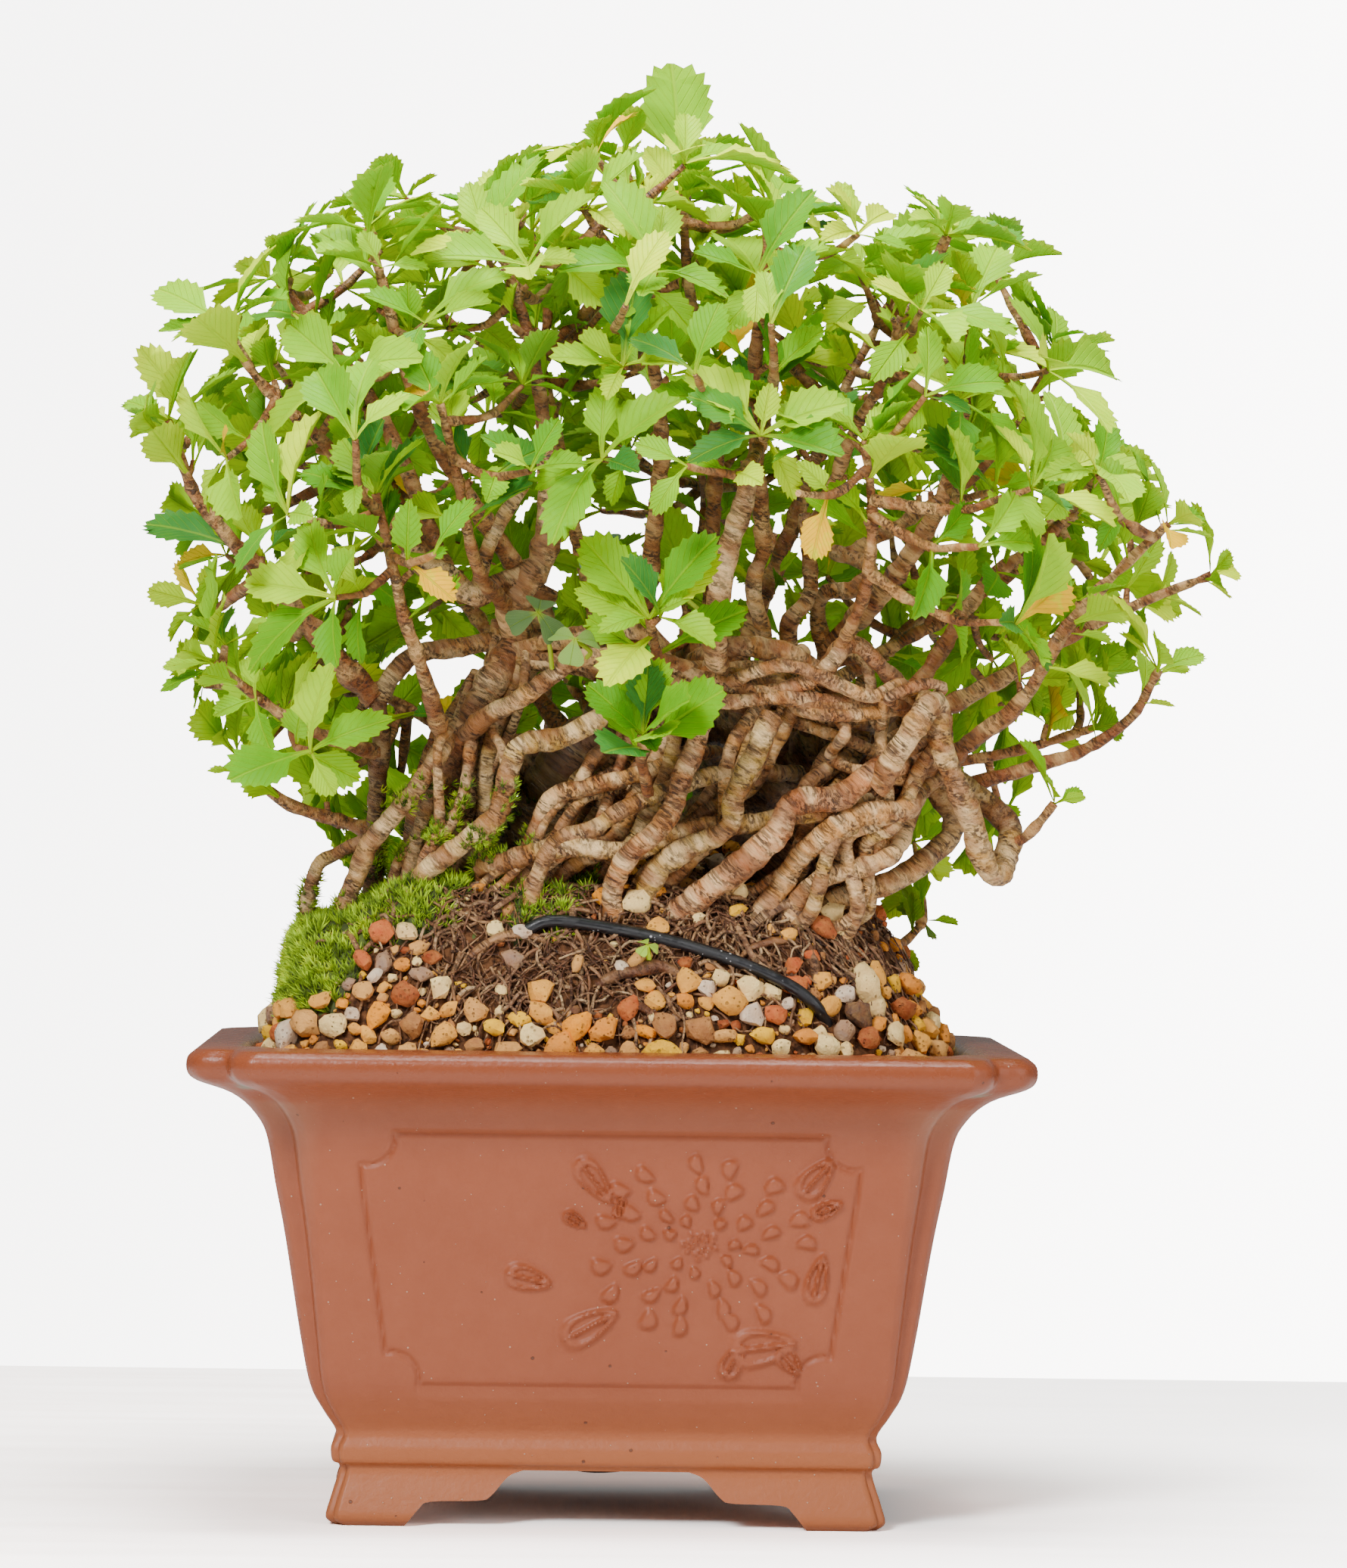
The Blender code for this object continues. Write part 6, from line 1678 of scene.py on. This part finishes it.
def make_shoots(shoots, roots, bark, green, leaf_forms, trees):
    draw = random.Random(77)
    room, hubs = Room(), []
    for path, radii in roots:
        for k in range(30):
            low = min(int(k / 30 * (len(radii) - 1)), len(radii) - 2)
            room.add(along(path, k / 30)[0], radii[low])
    for shoot in shoots:
        for a, b in zip(shoot["path"], shoot["path"][1:]):
            for k in range(6):
                room.add(a.lerp(b, k / 6), 1.2)
        for leaf in shoot["leaves"]:
            for p in leaf_balls(leaf):
                room.add(p, 0.8)
    for shoot in shoots:
        dress(shoot, draw, room, hubs)
    fill_crown(shoots, draw, room, hubs)
    for x, z in WITHERED:
        front = [leaf for shoot in shoots for leaf in shoot["all_leaves"] if leaf["root"].y < -5]
        middles = [leaf_point(leaf, 0.7, 0) for leaf in front]
        apart = [math.hypot(p.x - x, p.z - z) for p in middles]
        front[apart.index(min(apart))]["withered"] = True
    for shoot in shoots:
        name = shoot["name"]
        stem = [shoot["foot"].lerp(shoot["path"][1], 0.2), *shoot["path"][1:]]
        radii = [r * 1.04 for r in (shoot["radii"][1] * 1.15, *shoot["radii"][1:])]
        paths = [knobbly(stem, radii, draw, 1.5, 0.25, 0.34)]
        paths += [knobbly(twig, thick, draw, 1.7, 0.5, 0.3) for twig, thick in shoot["twigs"]]
        tone = draw.uniform(0, 1)
        wood = rods(name + "_wood", paths, 7, bark, trees["rods"], [tone] * len(paths))
        place_along(wood)
        items = [leaf_item(leaf, draw) for leaf in shoot["all_leaves"]]
        leaves = planted(name + "_leaves", items, leaf_forms, green, trees["planted"])
        for piece, slot in ((wood, "bark"), (leaves, "leaf")):
            keep_inside(piece)
            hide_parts(name)
            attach(piece, "root")


def place_along(piece):
    """Gives a rod's points their place along it, for the bark."""
    mesh = piece.data
    reach, tone = np.zeros(len(mesh.vertices)), np.zeros(len(mesh.vertices))
    mesh.attributes["reach"].data.foreach_get("value", reach)
    mesh.attributes["tone"].data.foreach_get("value", tone)
    x, y, z = places_of(mesh).T * MM
    mark(mesh, "in_root", "FLOAT_VECTOR", np.stack([reach + tone, x + z, y - z], 1))


# Ground


def make_ground(soil):
    """The soil's top as fine rings inside the pot's wall, down to the pot's floor."""
    rings, sides = GROUND_RINGS, [[k / n for k in range(1, n)] for n in GROUND_SIDES]
    points = []
    for half_x, z, notch in WALL_ROWS[:0:-1]:
        lift = CLEARANCE if z == FLOOR_TOP else 0.0
        points += pot_loop(half_x - CLEARANCE, half_x - SHORTER_HALF_Y - CLEARANCE, notch, z + lift, sides)
    edge = pot_loop(68.0 - CLEARANCE, 68.0 - SHORTER_HALF_Y - CLEARANCE, 6.0, 0, sides)
    columns = len(edge)
    for r in range(rings):
        share = 1 - (r / rings) ** 1.15
        for x, y, _ in edge:
            x, y = x * share, y * share
            z = SOIL_EDGE if r == 0 else ground_height(x, y)
            if r > 1:
                z += 0.8 * noise.noise(Vector((x, y, z)) * 0.5) + 0.8 * noise.noise(Vector((x, y, z)) * 1.1)
            points.append((x, y, z))
    total = len(WALL_ROWS) - 1 + rings
    faces = [tuple(range(columns - 1, -1, -1)), *ring_quads(total, columns)]
    points.append((0, 0, ground_height(0, 0)))
    last = (total - 1) * columns
    faces += [(last + i, last + (i + 1) % columns, len(points) - 1) for i in range(columns)]
    ground = solid("soil_ground", points, faces, soil)
    ground.data.shade_smooth()
    return ground


def mossy(x, y):
    """How thick the moss lies at a place: close on the left shoulder, in patches under the roots."""
    spot, height = Vector((x, y, 3)), ground_height(x, y)
    above = height - float(np.interp(x, *zip(*MOSS_EDGE))) + 1
    cover = held(above / 4) * held((2 - x) / 8)
    patchy = 1.2 * noise.noise(spot * 0.12) + 1.2 * noise.noise(spot * 0.36)
    bare = 0.50 + 0.42 * held((x + 50) / 10)
    return held((cover - bare + patchy) * 2.5) * (cover > 0)


def make_moss(moss, tree, sprigs):
    """A thin cushion that follows the soil where moss grows, with its turf of sprigs."""
    step, columns, rows = MOSS_GRID
    points, thick = [], []
    for i in range(columns):
        for j in range(rows):
            x, y = MOSS_CORNER[0] + i * step, MOSS_CORNER[1] + j * step
            cover = mossy(x, y)
            lump = 1 + 0.8 * noise.noise(Vector((x, y, 5)) * 0.3)
            points.append((x, y, ground_height(x, y) + (0.3 + cover * 1.3 * lump if cover > 0 else -1.0)))
            thick.append(cover)
    faces = []
    for i in range(columns - 1):
        for j in range(rows - 1):
            quad = (i * rows + j, (i + 1) * rows + j, (i + 1) * rows + j + 1, i * rows + j + 1)
            if max(thick[k] for k in quad) > 0:
                faces.append(quad)
    mesh = start_mesh(points, [], faces)
    mark(mesh, "turf", "FLOAT", thick)
    shape = bmesh.new()
    shape.from_mesh(mesh)
    bmesh.ops.delete(shape, geom=[v for v in shape.verts if not v.link_faces], context="VERTS")
    shape.to_mesh(mesh)
    shape.free()
    turf_start = mesh.copy()
    mesh.materials.append(moss)
    cushion = shown("moss_bed", mesh)
    shell = cushion.modifiers.new("depth", "SOLIDIFY")
    shell.thickness, shell.offset = 2.0 * MM, -1.0
    apply_steps(cushion)
    cushion.data.shade_smooth()
    return cushion, strewn_moss("moss_turf", turf_start, tree, sprigs, moss, 0.95e6, 5, 1.0, 3.2)


def strewn_moss(name, start, tree, sprigs, moss, density, seed, smallest, largest):
    """Sprigs of moss on a start mesh: how many for a square metre, and their sizes in millimetres."""
    return grown(name, start, tree, {"Forms": sprigs, "Density": density, "Seed": seed, "Finish": moss,
                                     "Smallest": smallest * MM, "Largest": largest * MM})


def stone_items(draw):
    """Loose stones: those seen on the front, then close together along the rim, then a few up the slopes."""
    room = Room()
    items = []

    def lay(place, size, tint, lift=0.3):
        up = soil_way(place)
        side = square_to(up, any_vector(draw, *[(-1, 1)] * 3))
        items.append({"root": place + up * size * lift, "axes": (side, up.cross(side), up),
                      "size": [size * draw.uniform(0.85, 1.2), size * draw.uniform(0.75, 1.1), size * 0.9],
                      "form": draw.randrange(STONE_FORMS), "tint": tint})
        room.add(items[-1]["root"], size, 2.0)

    for x, z, size, tint in STONES:
        lay(soil_front(x, z), size * 0.92, tint, 0.55)
    for point in smooth_path([Vector(p) for p in WIRE_ROUTE], 6):
        room.add(point, 1.6)
    for k in range(STONE_TRIES):
        if k < FRONT_TRIES:
            x = draw.uniform(-65, 66)
            place = soil_front(x, draw.uniform(86, gravel_edge(x, -40) + 1))
        else:
            x, y = draw.uniform(-67, 67), draw.uniform(-51, 51)
            place = Vector((x, y, ground_height(x, y)))
        chance = 1.0 if place.z < gravel_edge(place.x, place.y) else 0.09
        if mossy(place.x, place.y) > 0.4:
            chance *= 0.1
        if draw.random() > chance or max(abs(place.x) / 67, abs(place.y) / 50.8) > 0.985:
            continue
        share = k / FRONT_TRIES if k < FRONT_TRIES else (k - FRONT_TRIES) / (STONE_TRIES - FRONT_TRIES)
        size = draw.uniform(0.85, 1.15) * float(np.interp(share, *zip(*STONE_SIZES)))
        if not room.free(place + soil_way(place) * size * 0.3, size * 0.58):
            continue
        lay(place, min(size, 2.4) if place.y < -46 and place.z < 89 else size,
            draw.choices(*zip(*STONE_TINTS))[0], draw.uniform(0.3, 0.7))
    return items


def wander(draw, place, steps, stride, lift):
    """A path that wanders over the root ball from a place, close to it or a little off it."""
    turn, path, x, y = draw.uniform(0, math.tau), [], place.x, place.y
    for _ in range(steps):
        at = Vector((x, y, ground_height(x, y)))
        path.append(at + soil_way(at) * (lift + draw.uniform(-0.4, 1.3)))
        turn += draw.uniform(-0.8, 0.8)
        x = min(max(x + math.cos(turn) * stride, -64), 64)
        y = min(max(y + math.sin(turn) * stride * 0.6, -50), 50)
    return path


def make_fibres(bark, tree):
    """Fine roots on the root ball: those drawn one by one, and a mat of thin ones by rule."""
    draw = random.Random(12)
    paths, tones = [], []
    for radius, tone, route in FINE_ROOTS:
        points = [soil_front(x, z) for x, z in route]
        points = [p + soil_way(p) * (0.6 + radius * draw.uniform(0.4, 1.6)) for p in points]
        points[0] -= soil_way(points[0]) * 1.6
        points[-1] -= soil_way(points[-1]) * 1.6
        radii = [radius * 0.8] + [radius] * (len(points) - 2) + [radius * 0.6]
        paths.append(knobbly(points, radii, draw, 1.2, 0.8, 0.3))
        tones.append(tone)
    for k in range(FIBRES):
        spans = ((-46, 56), (-49, -22)) if k % 5 else ((-60, 60), (-20, 48))
        x, y = (draw.uniform(*span) for span in spans)
        if ground_height(x, y) < gravel_edge(x, y) - 2 or mossy(x, y) > 0.5:
            continue
        pale = draw.random() < 0.32
        thin = draw.uniform(0.22, 0.55) if pale else draw.uniform(0.12, 0.30)
        path = wander(draw, Vector((x, y, 0)), draw.randrange(5, 11), 2.0, 0.5 if pale else 0.3)
        smooth = smooth_path(path, 2)
        paths.append((smooth, [thin * (1 - 0.6 * i / len(smooth)) for i in range(len(smooth))]))
        tones.append(draw.uniform(0.0, 0.45) if pale else min(max(draw.gauss(0.8, 0.2), 0.3), 1.0))
    fibres = rods("fine_roots", paths, 4, bark, tree, tones)
    place_along(fibres)
    return fibres


# Weeds


def leaflet(centre, way, face, size, droop):
    """A drooping heart-shaped leaflet with a fold along its middle, thin and closed."""
    out = way * math.cos(droop) - face * math.sin(droop)
    top = face * math.cos(droop) + way * math.sin(droop)
    side = top.cross(out)
    outline = [(-0.04, 0.02), (0.22, 0.17), (0.45, 0.33), (0.66, 0.46), (0.84, 0.51), (0.97, 0.46),
               (1.04, 0.32), (1.01, 0.17), (0.88, 0.02)]
    points, across = [], []
    for s in (1, -1):
        for a, b in outline:
            lift = top * size * (0.16 * b - 0.14 * a * a)
            points.append(centre + out * a * size + side * b * s * size + lift)
            across.append((a, b * s, 0))
    count = len(outline)
    faces, under = [], []
    for level, turned in ((0.12, False), (-0.12, True)):
        first = len(points)
        for a, _ in outline:
            points.append(centre + out * a * 0.97 * size + top * (level - 0.14 * a * a * size))
            across.append((a, 0, 0))
        for s in (0, 1):
            for i in range(count - 1):
                quad = (s * count + i, s * count + i + 1, first + i + 1, first + i)
                faces.append(quad if (s == 0) == turned else tuple(reversed(quad)))
                under.append(float(turned))
        foot = (0, first, count)
        head = (count - 1, 2 * count - 1, first + count - 1)
        faces += [foot, head] if turned else [tuple(reversed(foot)), tuple(reversed(head))]
        under += [float(turned)] * 2
    return points, faces, across, under


def weed_axes():
    """The way a weed's leaflets face, and up along them."""
    face = Vector((0.15, -0.75, 0.65)).normalized()
    return face, square_to(face, UP)


def make_weed(name, stem, size, tint, finish, turn_offset):
    face, up = weed_axes()
    points, faces, across, under = [], [], [], []
    path = smooth_path(stem, 4)
    side = square_to((path[1] - path[0]).normalized(), face)
    for i, p in enumerate(path):
        way = (path[min(i + 1, len(path) - 1)] - path[max(i - 1, 0)]).normalized()
        side = square_to(way, side)
        other = way.cross(side)
        for k in range(6):
            turn = math.tau * k / 6
            points.append(p + (side * math.cos(turn) + other * math.sin(turn)) * SORREL_STEM * 0.85)
            across.append((0, 0, 0))
    faces += ring_quads(len(path), 6)
    faces += [tuple(range(5, -1, -1)), tuple((len(path) - 1) * 6 + k for k in range(6))]
    under += [0.0] * len(faces)
    for k, droop in enumerate(SORREL_DROOPS):
        turn = math.tau * k / 3 + turn_offset
        way = up * math.cos(turn) + face.cross(up) * math.sin(turn)
        part = leaflet(stem[-1] + face * 0.13 * k, way, face, size, droop)
        first = len(points)
        points += part[0]
        faces += [tuple(first + i for i in f) for f in part[1]]
        across += part[2]
        under += part[3]
    mesh = start_mesh(points, [], faces)
    mark(mesh, "in_leaf", "FLOAT_VECTOR", across)
    mark(mesh, "under", "FLOAT", under, "FACE")
    mark(mesh, "tint", "FLOAT", [tint] * len(points))
    mesh.materials.append(finish)
    mesh.shade_smooth()
    mesh.set_sharp_from_angle(angle=math.radians(60))
    return shown(name, mesh)


# Stage


def make_camera():
    pixels = LENS / SENSOR * PHOTO_HEIGHT / CAMERA_BACK
    lens = bpy.data.cameras.new("camera")
    lens.lens, lens.sensor_width = LENS, SENSOR
    lens.shift_x = (PHOTO_WIDTH / 2 - CAMERA_ASIDE * pixels - POT_PIXEL) / PHOTO_HEIGHT
    camera = shown("camera", lens)
    camera.location = (Vector((CAMERA_ASIDE, -CAMERA_BACK, CAMERA_UP)) + SHIFT) * MM
    camera.rotation_euler = (math.pi / 2, math.radians(CAMERA_ROLL), 0)
    bpy.context.scene.camera = camera


def make_stage():
    corners = [(-1500, -1600, 0), (1500, -1600, 0), (1500, 281, 0), (-1500, 281, 0)]
    table = start_mesh(corners, [], [(0, 1, 2, 3)])
    table.materials.append(table_material())
    shown("table_top", table)
    world = bpy.data.worlds.new("studio")
    world.use_nodes = True
    tree = world.node_tree
    sky = tree.nodes["Background"]
    sky.inputs["Color"].default_value = (1.0, 0.975, 0.955, 1.0)
    seen_by_camera = put(tree, "ShaderNodeLightPath").outputs["Is Camera Ray"]
    ray_way = put(tree, "ShaderNodeTexCoord").outputs["Generated"]
    across = parts_of(tree, ray_way)[0]
    white = maths(tree, "MAXIMUM", maths(tree, "MULTIPLY_ADD", across, 14.0, 7.6), 6.5)
    white = maths(tree, "MINIMUM", white, 9.5)
    join(tree, sky.inputs["Strength"], maths(tree, "MULTIPLY_ADD", seen_by_camera, white, 0.30))
    bpy.context.scene.world = world
    for name, place, size, power in LIGHTS:
        lamp = bpy.data.lights.new(name, "AREA")
        lamp.energy, lamp.size = power, size
        light = shown(name, lamp)
        light.location = (Vector(place) + SHIFT) * MM
        light.rotation_euler = (Vector((0, 0, 140)) - Vector(place)).to_track_quat("-Z", "Y").to_euler()


make_camera()
make_stage()
trees = {"rods": rods_tree(), "planted": planted_tree(), "turf": turf_tree()}
clay = clay_material()
bark = bark_material(
    "bark",
    [(0.0, (0.78, 0.38, 0.11)), (0.35, (0.60, 0.27, 0.07)), (0.55, (0.64, 0.24, 0.075)),
     (0.75, (0.50, 0.29, 0.055)), (1.0, (0.86, 0.46, 0.17))],
    (0.25, 0.066, 0.016), (0.035, 0.011, 0.004), (1.0, 0.70, 0.36))
shoot_bark = bark_material(
    "shoot_bark", [(0.0, (0.29, 0.095, 0.022)), (0.5, (0.40, 0.155, 0.036)), (1.0, (0.52, 0.235, 0.065))],
    (0.26, 0.064, 0.012), (0.028, 0.009, 0.004), (0.80, 0.48, 0.18))
fibre_bark = bark_material(
    "fine_root_skin", [(0.0, (0.62, 0.42, 0.22)), (0.45, (0.42, 0.19, 0.07)), (0.7, (0.15, 0.052, 0.020)),
                       (1.0, (0.040, 0.014, 0.007))],
    (0.16, 0.055, 0.025), (0.035, 0.014, 0.008), (0.40, 0.22, 0.10))
green = leaf_material(
    "leaf_green", [(0.0, (0.040, 0.200, 0.030)), (0.25, (0.110, 0.350, 0.0)), (0.5, (0.260, 0.560, 0.0)),
                   (0.75, (0.42, 0.70, 0.0)), (0.92, (0.66, 0.85, 0.0)), (0.96, (0.98, 0.52, 0.0))], 0.45)
sorrel = leaf_material(
    "sorrel_leaf", [(0.0, (0.10, 0.20, 0.12)), (0.35, (0.12, 0.20, 0.07)), (0.6, (0.25, 0.42, 0.10)),
                    (1.0, (0.42, 0.68, 0.05))], 0.5)
gravel, soil, moss = stone_material(), soil_material(), moss_material()
wire_plastic, screen_plastic = plastic_material("black_wire", 1.0), plastic_material("black_mesh", 0.2)

leaf_forms = form_collection("leaf_forms", [leaf_form(seed) for seed in range(LEAF_FORMS)])
stone_forms = form_collection("stone_forms", [stone_form(seed) for seed in range(STONE_FORMS)])
sprigs = form_collection("sprig_forms", [sprig_form(seed) for seed in range(3)])

roots = plan_roots()
space = Space()
for path, radii in roots:
    space.add("wood", path, radii)
weed_stems = []
for i, (foot, bend, head, size) in enumerate(SORRELS, start=1):
    route = [nearest_wood(space, Vector(foot)), Vector(bend), Vector(head)]
    path = resampled(smooth_path(route, 4), 10)
    start = seated(path, (SORREL_STEM, SORREL_STEM), space)
    stem = [along(path, start + (1 - start) * k / 2)[0] for k in range(3)]
    weed_stems.append((f"wood_sorrel_{i}", stem, size))
weed_stems.append(("seedling", [Vector(p) for p in SEEDLING[:3]], SEEDLING[3]))
for name, stem, size in weed_stems:
    face, up = weed_axes()
    space.add(name, stem, [SORREL_STEM] * len(stem))
    space.add(name, [stem[-1] - up * 0.01, stem[-1]], [size * 1.05] * 2)
shoots = plan_shoots(space)

pieces = [(make_pot(clay), "unglazed_clay", ["pot"])]
tangle = make_tangle(roots, bark, trees["rods"])
pieces.append((tangle, "bark", ["root_tangle"]))
tuft_start = tangle.data.copy()
pieces.append((make_ground(soil), "soil", ["soil_mound"]))
cushion, turf = make_moss(moss, trees["turf"], sprigs)
pieces += [(cushion, "moss", ["moss_cushion"]), (turf, "moss", ["moss_cushion"])]
tufts = strewn_moss("moss_tufts", tuft_start, trees["turf"], sprigs, moss, 1.1e6, 8, 0.9, 2.0)
pieces.append((tufts, "moss", []))
stones = planted("loose_stones", stone_items(random.Random(3)), stone_forms, gravel, trees["planted"])
pieces.append((stones, "soil", []))
pieces.append((make_fibres(fibre_bark, trees["rods"]), "bark", []))
for name, route in (("tie_wire", WIRE_ROUTE), ("tie_wire_loop", LOOP_ROUTE)):
    path = smooth_path([Vector(p) for p in route], 6)
    wire = rods(name + "_skin", [(path, [WIRE_RADIUS] * len(path))], 16, wire_plastic, trees["rods"])
    pieces.append((wire, "black_wire", [name]))
for (name, stem, size), tint in zip(weed_stems, (0.05, 0.35, 0.65, 0.95)):
    pieces.append((make_weed(name + "_leaves", stem, size, tint, sorrel, size), "sorrel_leaf", [name]))
for piece, slot, nodes in pieces:
    if nodes:
        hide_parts(*nodes)
    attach(piece, "root")
make_shoots(shoots, roots, shoot_bark, green, leaf_forms, trees)
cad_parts["drain_screen"].data.materials.clear()
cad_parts["drain_screen"].data.materials.append(screen_plastic)
